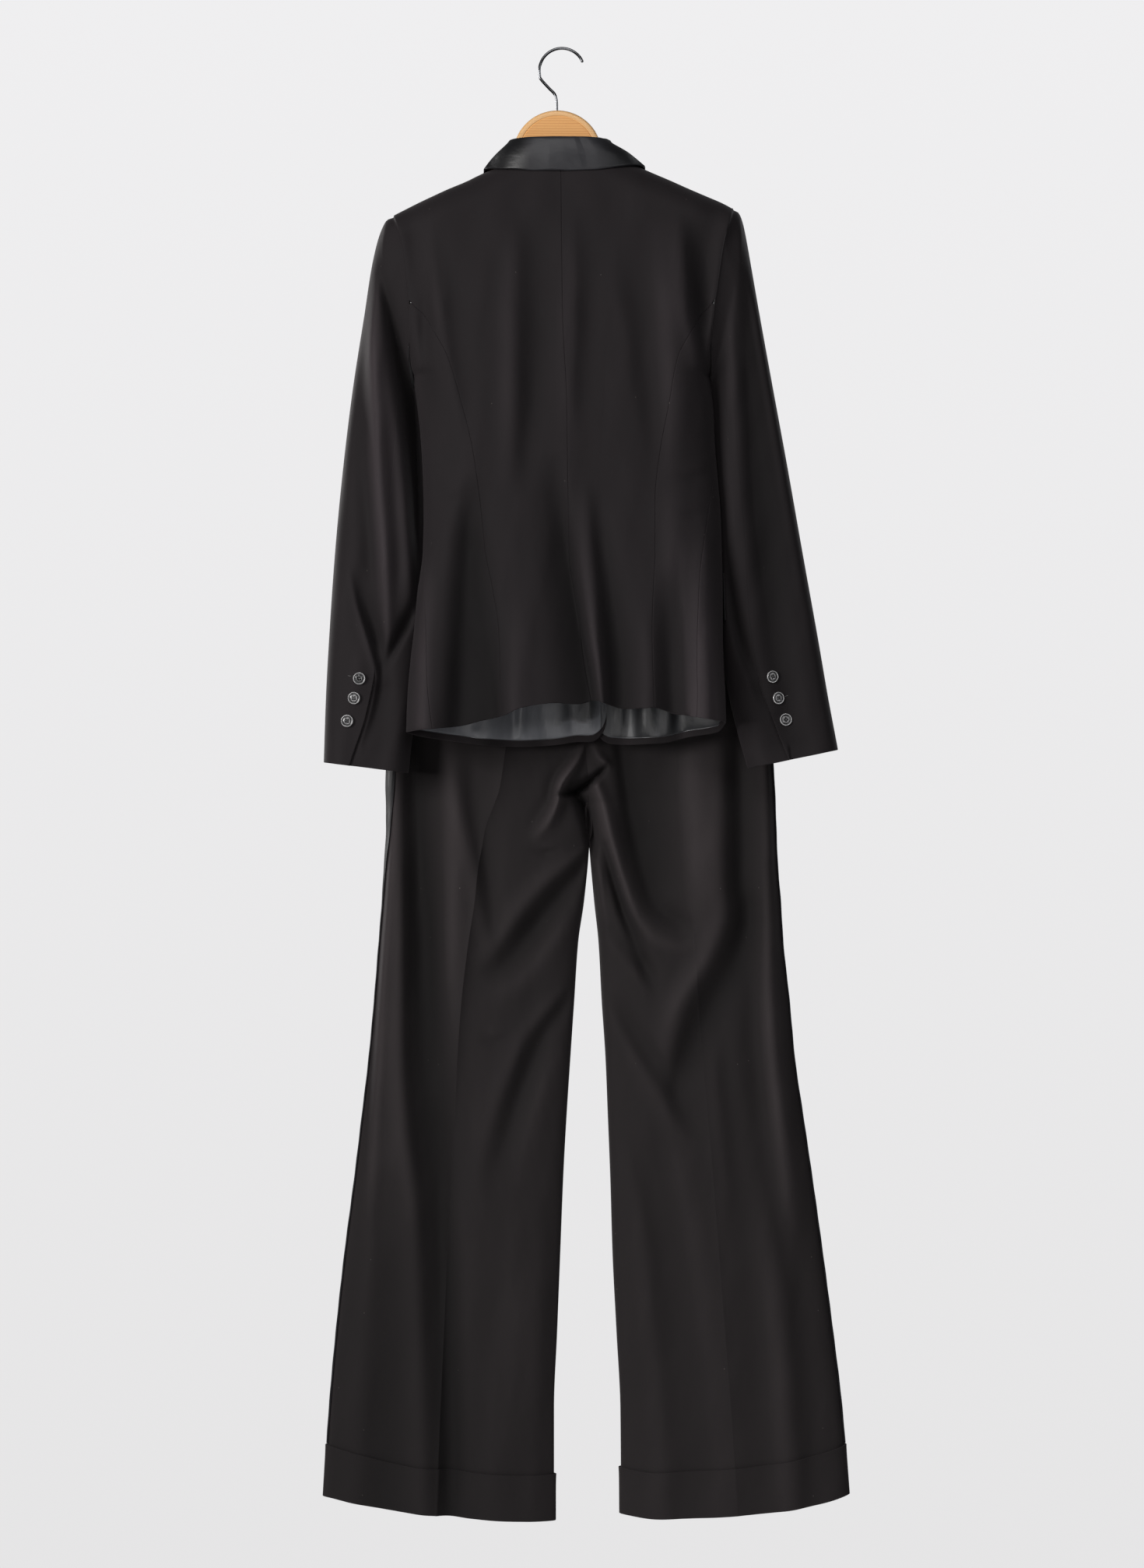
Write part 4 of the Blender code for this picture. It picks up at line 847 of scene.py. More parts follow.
FRONT_FOLDS = (
    ((110, 215, 0, 12, 14), (104, 300, -3.4, 14, 16), (98, 400, -2.6, 12, 14), (88, 480, 0, 10, 10)),
    ((-112, 220, 0, 12, 14), (-108, 320, -3.8, 14, 16), (-94, 430, -2.4, 12, 14), (-84, 500, 0, 10, 10)),
    ((140, 300, 0, 9, 9), (136, 390, 2.2, 12, 12), (120, 470, 0, 10, 10)),
    ((-140, 290, 0, 9, 9), (-138, 380, 2.4, 12, 12), (-124, 480, 0, 10, 10)),
    # pulls towards the button
    ((60, 470, 0, 8, 8), (30, 486, -1.8, 7, 7), (2, 491, 0, 5, 5)),
    ((-62, 462, 0, 8, 8), (-36, 482, -2.2, 7, 7), (-10, 490, 0, 5, 5)),
    ((54, 520, 0, 7, 7), (26, 506, -1.4, 6, 6), (2, 498, 0, 5, 5)),
    ((-70, 530, 0, 8, 8), (-40, 510, -1.6, 6, 7), (-12, 497, 0, 5, 5)),
    # flares to the hem
    ((88, 540, 0, 10, 10), (96, 660, -4.2, 13, 13), (98, 795, -6.0, 15, 15)),
    ((36, 570, 0, 10, 10), (30, 680, 2.2, 12, 12), (26, 795, 3.2, 14, 14)),
    ((-80, 550, 0, 10, 10), (-90, 670, -4.8, 12, 14), (-94, 795, -6.4, 14, 16)),
    ((-128, 580, 0, 9, 9), (-132, 680, 2.6, 12, 12), (-134, 795, 3.4, 12, 12)),
    ((134, 580, 0, 8, 8), (140, 680, 2.4, 10, 10), (142, 795, 3.2, 12, 12)),
)
SLEEVE_FOLDS = (
    # wearer's left, back: the long highlight with a hollow inside it
    ((206, 236, 0, 8, 9), (198, 310, -9.0, 9, 11), (186, 380, -13.0, 10, 12), (177, 440, -16.0, 11, 12), (170, 520, -15.0, 11, 12), (166, 590, -11.0, 10, 9), (166, 650, 0, 8, 8)),
    ((228, 240, 0, 8, 8), (223, 320, 5.0, 12, 9), (218, 400, 9.0, 12, 11), (214, 500, 9.5, 12, 11), (208, 590, 7.5, 11, 10), (204, 680, 0, 8, 8)),
    (FORM, (226, 240, 0, 8, 8), (217, 320, 3.5, 12, 12), (209, 400, 7.0, 13, 12), (205, 500, 8.0, 13, 12), (200, 590, 6.0, 12, 10), (200, 690, 0, 8, 8)),
    ((214, 238, 0, 6, 6), (201, 289, -2.4, 7, 7), (186, 336, 0, 6, 6)),
    # elbow
    ((240, 590, 0, 5, 7), (230, 636, -6.4, 5, 9), (219, 672, -9.0, 5, 9), (211, 704, -5.0, 4, 7), (208, 722, 0, 4, 5)),
    (FORM, (166, 632, -3.0, 7, 7), (178, 657, -10.0, 7, 5), (191, 682, -9.0, 6, 4.5), (203, 708, 0, 4, 4)),
    (FORM, (198, 600, 0, 9, 9), (199, 660, 3.4, 8, 8), (203, 700, 3.0, 6, 6), (205, 730, 0, 5, 5)),
    ((240, 650, 0, 8, 8), (238, 700, 1.6, 9, 9), (244, 760, 0, 8, 8)),
    (FORM, (206, 694, -1.0, 4, 8), (207, 726, -7.5, 3.5, 12), (214, 762, -5.0, 3.5, 12), (226, 796, -1.0, 3, 8)),
    ((186, 740, 0, 10, 10), (192, 778, 1.8, 12, 12), (198, 820, 1.0, 12, 12)),
    # wearer's right, back
    ((-206, 236, 0, 9, 9), (-208, 316, -4.4, 11, 12), (-212, 410, -7.0, 12, 16), (-218, 510, -9.0, 14, 20), (-227, 590, -8.0, 14, 20), (-242, 690, -5.0, 14, 16), (-258, 790, -2.0, 12, 14)),
    ((-190, 250, 0, 7, 7), (-188, 330, 3.0, 8, 7), (-190, 400, 2.0, 8, 7), (-192, 470, 0, 7, 7)),
    ((-214, 236, 0, 9, 9), (-218, 340, 1.6, 10, 12), (-222, 470, 1.8, 10, 12), (-228, 590, 0, 9, 9)),
    (FORM, (-214, 250, 0, 24, 24), (-220, 340, -5.0, 28, 28), (-226, 480, -5.0, 30, 30), (-240, 640, -6.0, 32, 32), (-258, 790, -6.0, 34, 34)),
    (FORM, (-184, 556, 0, 8, 8), (-193, 620, -6.6, 8, 9), (-205, 676, -8.6, 7, 9), (-222, 724, -5.0, 6, 8), (-238, 762, 0, 4, 6)),
    ((-236, 600, 0, 10, 10), (-244, 680, 1.4, 10, 12), (-262, 770, 0, 10, 10)),
    ((-200, 735, 0, 8, 8), (-212, 770, 2.2, 10, 10), (-226, 815, 1.6, 12, 12)),
)
SLEEVE_FRONT_FOLDS = (
    ((206, 250, 0, 9, 9), (198, 340, -3.8, 11, 11), (190, 440, -2.2, 10, 10), (186, 520, 0, 8, 8)),
    ((232, 560, 0, 6, 7), (214, 592, -4.6, 7, 8), (186, 606, -2.4, 7, 7), (170, 604, 0, 6, 6)),
    ((240, 600, 0, 7, 7), (222, 634, -3.4, 7, 8), (196, 650, 0, 7, 7)),
    ((226, 650, 0, 9, 9), (232, 730, 1.8, 11, 11), (238, 790, 0, 10, 10)),
    ((-206, 246, 0, 9, 9), (-200, 340, -3.4, 11, 11), (-196, 450, -2.4, 10, 10), (-194, 540, 0, 8, 8)),
    ((-250, 548, 0, 7, 7), (-228, 584, -4.8, 8, 7), (-204, 600, -2.2, 7, 7), (-188, 600, 0, 6, 6)),
    ((-262, 600, 0, 7, 7), (-240, 628, -3.2, 8, 7), (-214, 640, 0, 7, 7)),
    ((-248, 670, 0, 9, 9), (-258, 740, 1.6, 11, 11), (-272, 800, 0, 10, 10)),
)
LEG_BACK_FOLDS = (
    # wearer's left leg: the long hollow beside the outseam, and the rim outside it
    ((178, 760, -8.0, 10, 12), (180, 850, -13, 10, 14), (179, 960, -16, 11, 16), (178, 1060, -15, 12, 18), (177, 1150, -13, 14, 20), (171, 1240, -12, 15, 22), (160, 1330, -10.0, 15, 19), (154, 1486, -10.0, 15, 19), (150, 1620, -8.0, 16, 19), (149, 1700, -6.0, 14, 18)),
    (FORM, (96, 1440, 0, 50, 50), (96, 1560, -2.5, 60, 60), (96, 1640, -4.5, 66, 66), (96, 1705, -5.5, 66, 66)),
    (FORM, (142, 1200, 0, 12, 12), (137, 1300, -4.4, 14, 14), (131, 1440, -7.0, 15, 15), (128, 1600, -6.6, 15, 15), (127, 1705, -5.0, 15, 15)),
    (FORM, (190, 1280, 0, 34, 34), (200, 1420, -8.0, 44, 44), (210, 1560, -10.0, 50, 50), (218, 1705, -11.0, 54, 54)),
    (FORM, (120, 900, 0, 12, 12), (150, 1000, -3.0, 14, 14), (146, 1120, -5.0, 17, 16), (138, 1240, -4.0, 18, 16), (130, 1330, 0, 16, 14)),
    ((199, 790, 3.0, 6, 6), (203, 900, 7.0, 7, 6), (212, 1040, 9.0, 8, 7), (221, 1200, 7.0, 9, 8), (231, 1360, 3.0, 10, 10), (238, 1480, 0, 10, 12)),
    ((136, 760, 1.0, 14, 14), (136, 860, 8.0, 16, 17), (136, 1000, 8.0, 16, 16), (138, 1110, 4.0, 14, 14), (140, 1200, 0, 12, 12)),
    ((129, 780, 0, 11, 11), (112, 860, -4.4, 11, 13), (97, 927, -5.6, 10, 12), (86, 995, -3.6, 9, 9), (80, 1040, 0, 8, 8)),
    # the two long diagonals from the fork, on the left leg
    ((-29, 920, -2.0, 5, 5), (-14, 938, -7.0, 10, 9), (12, 964, -11, 14, 14), (43, 1002, -11, 15, 15), (70, 1038, -7.0, 14, 14), (94, 1064, 0, 10, 10)),
    ((-27, 956, 0, 6, 8), (10, 1010, 3.6, 12, 14), (50, 1060, 3.4, 14, 14), (84, 1090, 0, 12, 12)),
    ((-8, 1078, 0, 6, 6), (6, 1100, -4.6, 9, 9), (34, 1140, -7.4, 12, 12), (57, 1196, -6.4, 13, 13), (78, 1262, -4.0, 13, 13), (92, 1330, 0, 12, 12)),
    ((0, 1140, 0, 9, 9), (30, 1190, 2.6, 12, 12), (46, 1250, 2.2, 12, 12), (56, 1320, 0, 10, 10)),
    ((100, 1132, 0, 5, 5), (80, 1136, -1.8, 7, 7), (62, 1130, 0, 5, 5)),
    ((40, 914, 0, 4, 4), (20, 917, -2.4, 5, 5), (0, 913, 0, 4, 4)),
    ((16, 1300, 0, 12, 12), (14, 1440, -2.6, 16, 16), (18, 1600, -2.0, 18, 18), (20, 1700, -1.4, 16, 16)),
    ((66, 1320, 0, 14, 14), (70, 1460, 2.6, 18, 20), (80, 1600, 2.0, 18, 20), (84, 1700, 1.4, 16, 16)),
    ((222, 1340, 0, 12, 12), (234, 1440, 3.0, 12, 14), (246, 1560, 3.0, 14, 16), (252, 1700, 2.0, 14, 16)),
    # the fork itself: the flap that falls from the seat seam, over a deep black hollow
    (FORM, (-27, 790, 2.0, 8, 3), (-18, 812, 6.0, 9, 5), (-4, 832, 10.0, 8, 5), (3, 843, 8.0, 7, 4), (6, 862, 4.6, 8, 4), (16, 882, 3.6, 9, 6), (38, 908, 0, 9, 8)),
    (FORM, (-36, 790, 1.5, 2.5, 9), (-42, 808, 5.6, 3.5, 8), (-50, 815, 7.0, 4, 5), (-56, 822, 0, 4, 5)),
    (FORM, (1, 852, -8.0, 3, 5), (-9, 850, -19, 4.4, 7), (-24, 843, -21, 5, 6), (-38, 833, -15.0, 3.6, 4.4), (-51, 820, -6.0, 2.6, 3)),
    (FORM, (-17, 852, -16, 6, 7), (-29, 872, -20, 8, 5), (-35, 898, -18, 7, 4), (-36, 922, -8.0, 4, 4)),
    # the sharp roll on the right of the fork, which runs on as a swag round the thigh
    (FORM, (-40, 842, 11.0, 6, 8), (-48, 866, 14.0, 8, 9), (-56, 900, 14.0, 8, 9), (-67, 944, 12.0, 7, 9), (-76, 972, 9.6, 5, 10), (-88, 998, 6.0, 8, 10), (-110, 1020, 4.6, 10, 10), (-140, 1030, 3.2, 10, 10), (-162, 1024, 0, 8, 8)),
    (FORM, (-68, 780, -5.0, 9, 22), (-76, 850, -15.0, 11, 32), (-84, 900, -16.0, 11, 30), (-97, 950, -13.0, 11, 24), (-112, 984, -9.0, 11, 14), (-136, 1000, -5.0, 10, 12), (-158, 1004, 0, 8, 8)),
    ((-24, 794, 0, 5, 5), (-12, 814, 4.0, 6, 6), (3, 836, 8.0, 7, 6), (8, 858, 7.0, 8, 6), (20, 882, 5.0, 9, 8), (38, 906, 0, 8, 8)),
    (FORM, (-50, 910, -4.0, 4, 5), (-60, 946, -12.0, 6, 6), (-71, 984, -12.0, 7, 7), (-84, 1020, -9.0, 8, 9), (-98, 1058, -5.0, 9, 9), (-112, 1092, 0, 8, 8)),
    (FORM, (-40, 918, 1.0, 4, 4), (-44, 946, 5.0, 5, 4), (-48, 980, 3.6, 5, 5), (-54, 1016, 0, 5, 5)),
    ((-52, 1004, 0, 6, 6), (-70, 1030, -3.8, 8, 8), (-92, 1052, -4.6, 9, 9), (-112, 1086, 0, 8, 8)),
    ((-54, 1082, 0, 7, 7), (-72, 1118, -4.0, 10, 10), (-92, 1152, -5.4, 11, 11), (-116, 1188, -5.4, 12, 12), (-140, 1230, -4.0, 12, 12), (-176, 1268, 0, 10, 10)),
    # wearer's right leg: the big hollow that turns in below the thigh
    ((-196, 760, -4.0, 14, 12), (-198, 830, -10.0, 15, 13), (-198, 950, -12.0, 16, 13), (-202, 998, -12.0, 17, 15), (-184, 1052, -12.0, 20, 20), (-156, 1104, -12.0, 20, 22), (-136, 1160, -8.0, 15, 18), (-126, 1210, 0, 9, 10)),
    ((-144, 764, 0, 16, 16), (-142, 830, 9.0, 22, 20), (-146, 920, 9.5, 22, 20), (-150, 980, 6.0, 18, 16), (-150, 1036, 0, 12, 12)),
    ((-180, 990, 0, 12, 9), (-158, 1046, 2.8, 13, 10), (-128, 1094, 2.4, 12, 10), (-110, 1150, 0, 10, 9)),
    ((-232, 790, 3.0, 10, 8), (-234, 900, 4.6, 12, 9), (-234, 1010, 6.0, 13, 10), (-235, 1110, 9.6, 14, 12), (-245, 1220, 8.6, 14, 12), (-260, 1340, 4.0, 12, 12), (-268, 1430, 0, 10, 10)),
    ((-180, 1100, 0, 9, 9), (-186, 1190, -2.6, 9, 10), (-196, 1280, -2.0, 10, 12), (-206, 1400, 0, 12, 12)),
    ((-112, 1180, 0, 12, 12), (-128, 1280, 2.8, 14, 14), (-150, 1400, 2.6, 16, 16), (-170, 1560, 1.6, 18, 18), (-178, 1690, 1.0, 16, 16)),
    ((-78, 1240, 0, 10, 10), (-98, 1330, -3.2, 13, 13), (-112, 1440, -3.2, 15, 15), (-124, 1580, -2.0, 16, 16), (-130, 1690, -1.2, 16, 16)),
    ((-238, 1290, 0, 12, 12), (-262, 1400, -3.0, 14, 14), (-276, 1560, -3.0, 16, 16), (-284, 1690, -2.0, 16, 16)),
    ((-222, 1330, 0, 12, 12), (-236, 1440, 2.4, 14, 14), (-250, 1600, 2.2, 16, 16), (-258, 1690, 1.4, 16, 16)),
)
LEG_FRONT_FOLDS = (
    ((168, 780, -3.0, 13, 16), (172, 960, -6.0, 14, 18), (170, 1120, -4.6, 15, 18), (160, 1300, -2.4, 16, 18), (152, 1480, 0, 14, 14)),
    ((120, 800, 0, 12, 12), (112, 920, -2.8, 13, 13), (98, 1020, -1.8, 12, 12), (92, 1080, 0, 10, 10)),
    ((-30, 900, 0, 6, 6), (0, 930, -4.4, 10, 10), (36, 976, -5.6, 13, 13), (66, 1030, -3.0, 12, 12), (86, 1070, 0, 10, 10)),
    ((-16, 1050, 0, 8, 8), (16, 1110, -3.6, 11, 11), (44, 1180, -3.0, 12, 12), (62, 1250, 0, 10, 10)),
    ((-32, 900, 0, 6, 6), (-62, 940, -5.0, 10, 10), (-98, 990, -5.8, 13, 13), (-132, 1034, -3.0, 12, 12), (-150, 1060, 0, 10, 10)),
    ((-60, 1060, 0, 8, 8), (-88, 1130, -3.8, 11, 11), (-118, 1200, -3.2, 12, 12), (-140, 1270, 0, 10, 10)),
    ((-198, 780, -3.0, 14, 13), (-202, 940, -6.4, 15, 14), (-198, 1080, -4.6, 15, 14), (-190, 1240, 0, 12, 12)),
    ((40, 700, 0, 12, 12), (36, 780, -2.4, 12, 12), (20, 860, 0, 8, 8)),
    ((-96, 700, 0, 12, 12), (-84, 780, -2.2, 12, 12), (-60, 860, 0, 8, 8)),
    ((24, 1320, 0, 12, 12), (22, 1460, -1.8, 15, 15), (26, 1620, -1.0, 16, 16)),
    ((-104, 1300, 0, 12, 12), (-120, 1450, -2.2, 15, 15), (-132, 1600, -1.2, 16, 16)),
    ((206, 1300, 0, 12, 12), (218, 1450, 1.8, 14, 14), (232, 1620, 1.2, 15, 15)),
    ((-232, 1300, 0, 12, 12), (-250, 1450, 1.8, 14, 14), (-268, 1620, 1.2, 15, 15)),
)
# How far a pressed crease stands up: back and front of each leg.
CREASE_HIGH = {(1, 1): 4.4, (1, -1): 3.0, (-1, 1): 1.2, (-1, -1): 2.6}


@functools.lru_cache(maxsize=None)
def fold_path(rows, count=26):
    """The fold's rows on a smooth curve: across and down curve, the rest run straight."""
    rows = np.array(rows, float)
    run = np.concatenate([[0], np.cumsum(np.hypot(*np.diff(rows[:, :2], axis=0).T))])
    flat = [(r[0], r[1], 0.0) for r in rows]
    line = smooth_path(flat, count)
    spots = np.linspace(0, run[-1], count)
    rest = [np.interp(spots, run, rows[:, k]) for k in (2, 3, 4)]
    return np.column_stack([line[:, 0], line[:, 1], *rest])


def fold_height(across, down, rows):
    """How far one fold lifts the cloth at each place."""
    form = rows[0] == FORM
    path = fold_path(rows[1:] if form else rows)
    reach = 3.2 * path[:, 3:].max()
    low, high = path[:, :2].min(axis=0) - reach, path[:, :2].max(axis=0) + reach
    near = (across > low[0]) & (across < high[0]) & (down > low[1]) & (down < high[1])
    height = np.zeros(np.shape(across))
    if not near.any():
        return height
    x, d = across[near][:, None], down[near][:, None]
    start, way = path[:-1], np.diff(path[:, :2], axis=0)
    size = np.maximum((way**2).sum(axis=1), 1e-9)
    t = np.clip(((x - start[:, 0]) * way[:, 0] + (d - start[:, 1]) * way[:, 1]) / size, 0, 1)
    off_x = x - start[:, 0] - t * way[:, 0]
    off_d = d - start[:, 1] - t * way[:, 1]
    k = np.argmin(off_x**2 + off_d**2, axis=1)
    row = np.arange(len(k))
    t, off_x, off_d = t[row, k], off_x[row, k], off_d[row, k]
    deep, plus, minus = (path[k, c] * (1 - t) + path[k + 1, c] * t for c in (2, 3, 4))
    side = off_x * way[k, 1] - off_d * way[k, 0]
    wide = np.where(side > 0, plus, minus) * (1 if form else SPREAD)
    far = np.hypot(off_x, off_d) / wide
    bell = np.exp(-(far**2))
    if form:
        height[near] = deep * bell
        return height
    # A hung fold leans: the cloth steps down on the side away from the wearer's left
    # and above, and comes back slowly.
    length = np.sqrt(size[k])
    lean = np.clip((0.86 * way[k, 1] + 0.5 * way[k, 0]) / length / 0.5, -1, 1)
    far = np.where(side > 0, far, -far)
    height[near] = SPREAD * deep * bell * (0.45 - 1.25 * lean * far)
    return height


def fold_heights(across, down, folds):
    return sum(fold_height(across, down, rows) for rows in folds)


def ripple(across, down, wide, high, seed):
    """The cloth's own unevenness: long soft waves that lean towards the vertical."""
    chance = np.random.default_rng(seed)
    total = 0.0
    for _ in range(9):
        lean = chance.normal(0, 0.45)
        pace = 2 * math.pi / (wide * chance.uniform(0.65, 1.6))
        total = total + np.sin(
            pace * (across * math.cos(lean) + 0.6 * down * math.sin(lean))
            + 0.35 * np.sin(down / (0.9 * wide) + chance.uniform(0, 6))
            + chance.uniform(0, 6.3)
        )
    return high * total / 3


def body_drape(points):
    """Lays the folds into the jacket's body."""
    across, down = points[..., 0], -points[..., 2]
    rise = points[..., 1] - BODY("hinge", down)
    edge = body_half(down) - np.abs(across - body_middle(down))
    by_arm = ease((UNDERARM + 14 - down) / 40) * (1 - ease(edge / 15))
    held = (1 - by_arm) * ease((down - CREST("down", across) - 10) / 48)
    back = fold_heights(across, down, BACK_FOLDS) + ripple(across, down, 46, 0.55, 3)
    front = fold_heights(across, down, FRONT_FOLDS) + ripple(across, down, 46, 0.6, 4)
    fine = ripple(across, down, 15, 0.10, 5)
    out = points.copy()
    out[..., 1] += held * ease((rise - 3) / 20) * (back + fine)
    out[..., 1] -= held * ease((-rise - 3) / 20) * (front + fine)
    return out


def leg_drape(points):
    """Lays the folds into the trousers."""
    across, down = points[..., 0], -points[..., 2]
    rise = points[..., 1] - TROUSER_HINGE
    full = np.where(across > -30, LEG_LEFT("depth", down), LEG_RIGHT("depth", down))
    held = ease(np.abs(rise) / (0.5 * full)) * ease((down - 612) / 70)
    back = fold_heights(across, down, LEG_BACK_FOLDS) + ripple(across, down, 60, 0.6, 7)
    front = fold_heights(across, down, LEG_FRONT_FOLDS) + ripple(across, down, 60, 0.7, 8)
    fine = ripple(across, down, 17, 0.10, 9)
    out = points.copy()
    out[..., 1] += held * np.where(rise > 0, back + fine, -(front + fine))
    return out


def draped_sleeve(hand, part, turn):
    """A sleeve with its folds; the inner edge tucks in behind the body."""
    out = sleeve_point(hand, part, turn)
    share = (1 - np.cos(turn)) / 2
    held = ease(np.minimum(share, 1 - share) / 0.17) * ease((part - 0.02) / 0.09)
    across, down = out[..., 0], -out[..., 2]
    back = fold_heights(across, down, SLEEVE_FOLDS) + ripple(across, down, 38, 0.5, 11)
    front = fold_heights(across, down, SLEEVE_FRONT_FOLDS) + ripple(across, down, 38, 0.5, 12)
    out = out.copy()
    out[..., 1] += held * np.where(turn > 0, back, -front)
    return out


# ------------------------------------------------------------------ mesh tools


def run_of(points, axis):
    """Running length along one axis of a grid of points."""
    step = np.linalg.norm(np.diff(points, axis=axis), axis=-1)
    run = np.cumsum(step, axis=axis)
    return np.concatenate([np.zeros_like(np.take(run, [0], axis)), run], axis=axis)


NEAR_EDGE = (0, 0.1, 0.38, 0.8, 1.6, 2.8, 4.6, 7.2)


def stations(length, step, sharp=(), zones=()):
    """Places along a length: close together by both ends, at sharp places and in zones."""
    spots = [n for n in NEAR_EDGE] + [length - n for n in NEAR_EDGE]
    for place in sharp:
        spots += [place + n for n in (-4.6, -2.6, -1.2, -0.5, 0, 0.5, 1.2, 2.6, 4.6)]
    spots = sorted(spots)
    filled = [spots[0]]
    for here, there in zip(spots, spots[1:]):
        at = here
        while True:
            pace = step
            for low, high, fine in zones:
                if low <= at <= high:
                    pace = min(pace, fine)
            if there - at <= 1.35 * pace:
                break
            at += pace
            filled.append(at)
        filled.append(there)
    filled = np.array(filled)
    keep = np.concatenate([[True], np.diff(filled) > 0.05])
    return filled[keep]


def panel_grid(point, step, sharp_a=(), zones_a=(), zones_b=(), trace=(0.5, 0.5), rows=None):
    """Points of a surface on a grid that is even in real length, finer where it is needed."""
    fine = np.linspace(0, 1, 601)
    across = run_of(point(fine[None, :], np.full((1, 601), trace[1])), 1)[0]
    along = run_of(point(np.full((601, 1), trace[0]), fine[:, None]), 0)[:, 0]
    sharp = [float(np.interp(s, fine, across)) for s in sharp_a]
    a = np.interp(stations(across[-1], step, sharp, zones_a), across, fine)
    if rows is None:
        rows = np.interp(stations(along[-1], step, (), zones_b), along, fine)
    grid_a, grid_b = np.meshgrid(a, rows)
    return point(grid_a, grid_b), grid_a, grid_b


def grid_normals(grid, ring=False):
    if ring:
        across = np.roll(grid, -1, axis=1) - np.roll(grid, 1, axis=1)
    else:
        across = np.gradient(grid, axis=1)
    along = np.gradient(grid, axis=0)
    out = np.cross(along, across)
    return out / np.maximum(np.linalg.norm(out, axis=-1, keepdims=True), 1e-9)


def mesh_of(name, points, faces, finishes, kinds=None, cloth=None, sharp=None, fold=None):
    """A mesh from millimetre points and faces of four corners or three."""
    mesh = bpy.data.meshes.new(name)
    faces = faces.tolist() if isinstance(faces, np.ndarray) else faces
    mesh.from_pydata((np.asarray(points) * MM).tolist(), [], faces)
    for finish in finishes:
        mesh.materials.append(finish)
    if kinds is not None:
        mesh.polygons.foreach_set("material_index", np.asarray(kinds, np.int32))
    if cloth is not None:
        layer = mesh.uv_layers.new(name="cloth")
        layer.uv.foreach_set("vector", np.asarray(cloth, np.float32).reshape(-1))
        layer = mesh.uv_layers.new(name="fold")
        layer.uv.foreach_set("vector", np.asarray(fold, np.float32).reshape(-1))
        mesh.uv_layers.active_index = 0
    turned_out(mesh)
    mesh.shade_smooth()
    if sharp:
        mesh.set_sharp_from_angle(angle=math.radians(sharp))
    made = bpy.data.objects.new(name, mesh)
    bpy.context.scene.collection.objects.link(made)
    return made


def turned_out(mesh):
    """Turns every face round when the closed mesh encloses a negative volume."""
    mesh.calc_loop_triangles()
    points = np.empty(len(mesh.vertices) * 3, np.float32)
    mesh.vertices.foreach_get("co", points)
    corners = np.empty(len(mesh.loop_triangles) * 3, np.int32)
    mesh.loop_triangles.foreach_get("vertices", corners)
    points = points.reshape(-1, 3).astype(float)
    if np.linalg.det(points[corners.reshape(-1, 3)]).sum() < 0:
        mesh.flip_normals()


def shell(name, surface, thick, away, finishes, gaps=(0, 0, 0, 0), lift=0.0, ring=False, hem=None, soft=1.0, fold=0.0):
    """A closed wall under a surface, rows by columns, its edges half round.

    away points outwards. finishes are the outer and the inner one; hem is how far
    the outer one turns in at the last row, in millimetres.
    """
    grid = edge_pull(surface, gaps) if any(gaps) else surface
    out = grid_normals(grid, ring)
    if np.sum(out * away) < 0:
        out = -out
    rows, columns = grid.shape[:2]
    lift = np.broadcast_to(lift, (rows, columns))[..., None]
    grid = grid + out * (lift - thick / 2)
    down_run = run_of(grid, 0)
    edge = np.minimum(down_run, down_run[-1:] - down_run)
    if ring:
        closing = np.concatenate([grid, grid[:, :1]], axis=1)
        over_run = run_of(closing, 1)
    else:
        over_run = run_of(grid, 1)
        edge = np.minimum(edge, np.minimum(over_run, over_run[:, -1:] - over_run))
    half = (thick / 2 * rounding(edge / (thick / 2 * soft)))[..., None]
    outer, inner = grid + out * half, grid - out * half
    index = np.arange(rows * columns).reshape(rows, columns)
    inside = np.full((rows, columns), -1)
    body = np.zeros((rows, columns), bool)
    if ring:
        body[1:-1, :] = True
    else:
        body[1:-1, 1:-1] = True
    inside[body] = rows * columns + np.arange(body.sum())
    inside[~body] = index[~body]
    points = np.concatenate([outer.reshape(-1, 3), inner[body]])
    if ring:
        index = np.concatenate([index, index[:, :1]], axis=1)
        inside = np.concatenate([inside, inside[:, :1]], axis=1)
        down_run = np.concatenate([down_run, down_run[:, :1]], axis=1)
    else:
        over_run = over_run - over_run[:, columns // 2 : columns // 2 + 1]
    front = np.stack([index[:-1, :-1], index[:-1, 1:], index[1:, 1:], index[1:, :-1]], -1)
    back = np.stack([inside[:-1, :-1], inside[1:, :-1], inside[1:, 1:], inside[:-1, 1:]], -1)
    faces = np.concatenate([front.reshape(-1, 4), back.reshape(-1, 4)])
    lengths = np.stack([over_run, down_run], -1) * MM
    flat = lengths.reshape(-1, 2)
    # The second map holds how far each place lies in a fold, 0.5 being level. The materials paint shade in its hollows
    # and highlights on its ridges, and the lining and collar pass painted light and shade in it directly.
    level = fold * np.sign(out[..., 1]) + np.zeros((rows, columns))
    level = np.concatenate([level, level[:, :1]], axis=1) if ring else level
    level = np.clip(0.5 + level / 60, 0, 1).reshape(-1)
    spot = np.arange(index.size).reshape(index.shape)
    f = np.stack([spot[:-1, :-1], spot[:-1, 1:], spot[1:, 1:], spot[1:, :-1]], -1)
    b = np.stack([spot[:-1, :-1], spot[1:, :-1], spot[1:, 1:], spot[:-1, 1:]], -1)
    corners = np.concatenate([f.reshape(-1, 4), b.reshape(-1, 4)])
    cloth = flat[corners]
    level = level[corners][..., None] * np.array([1.0, 0.0]) + np.array([0.0, 0.5])
    kinds = np.zeros(len(faces), int)
    if len(finishes) > 1:
        turned = np.zeros(front.shape[:2], bool)
        if hem:
            turned = (down_run[-1:] - down_run)[:-1, :-1] < hem
        kinds[front.shape[0] * front.shape[1] :] = np.where(turned, 0, 1).reshape(-1)
    made = mesh_of(name, points, faces, finishes, kinds, cloth, fold=level)
    return made


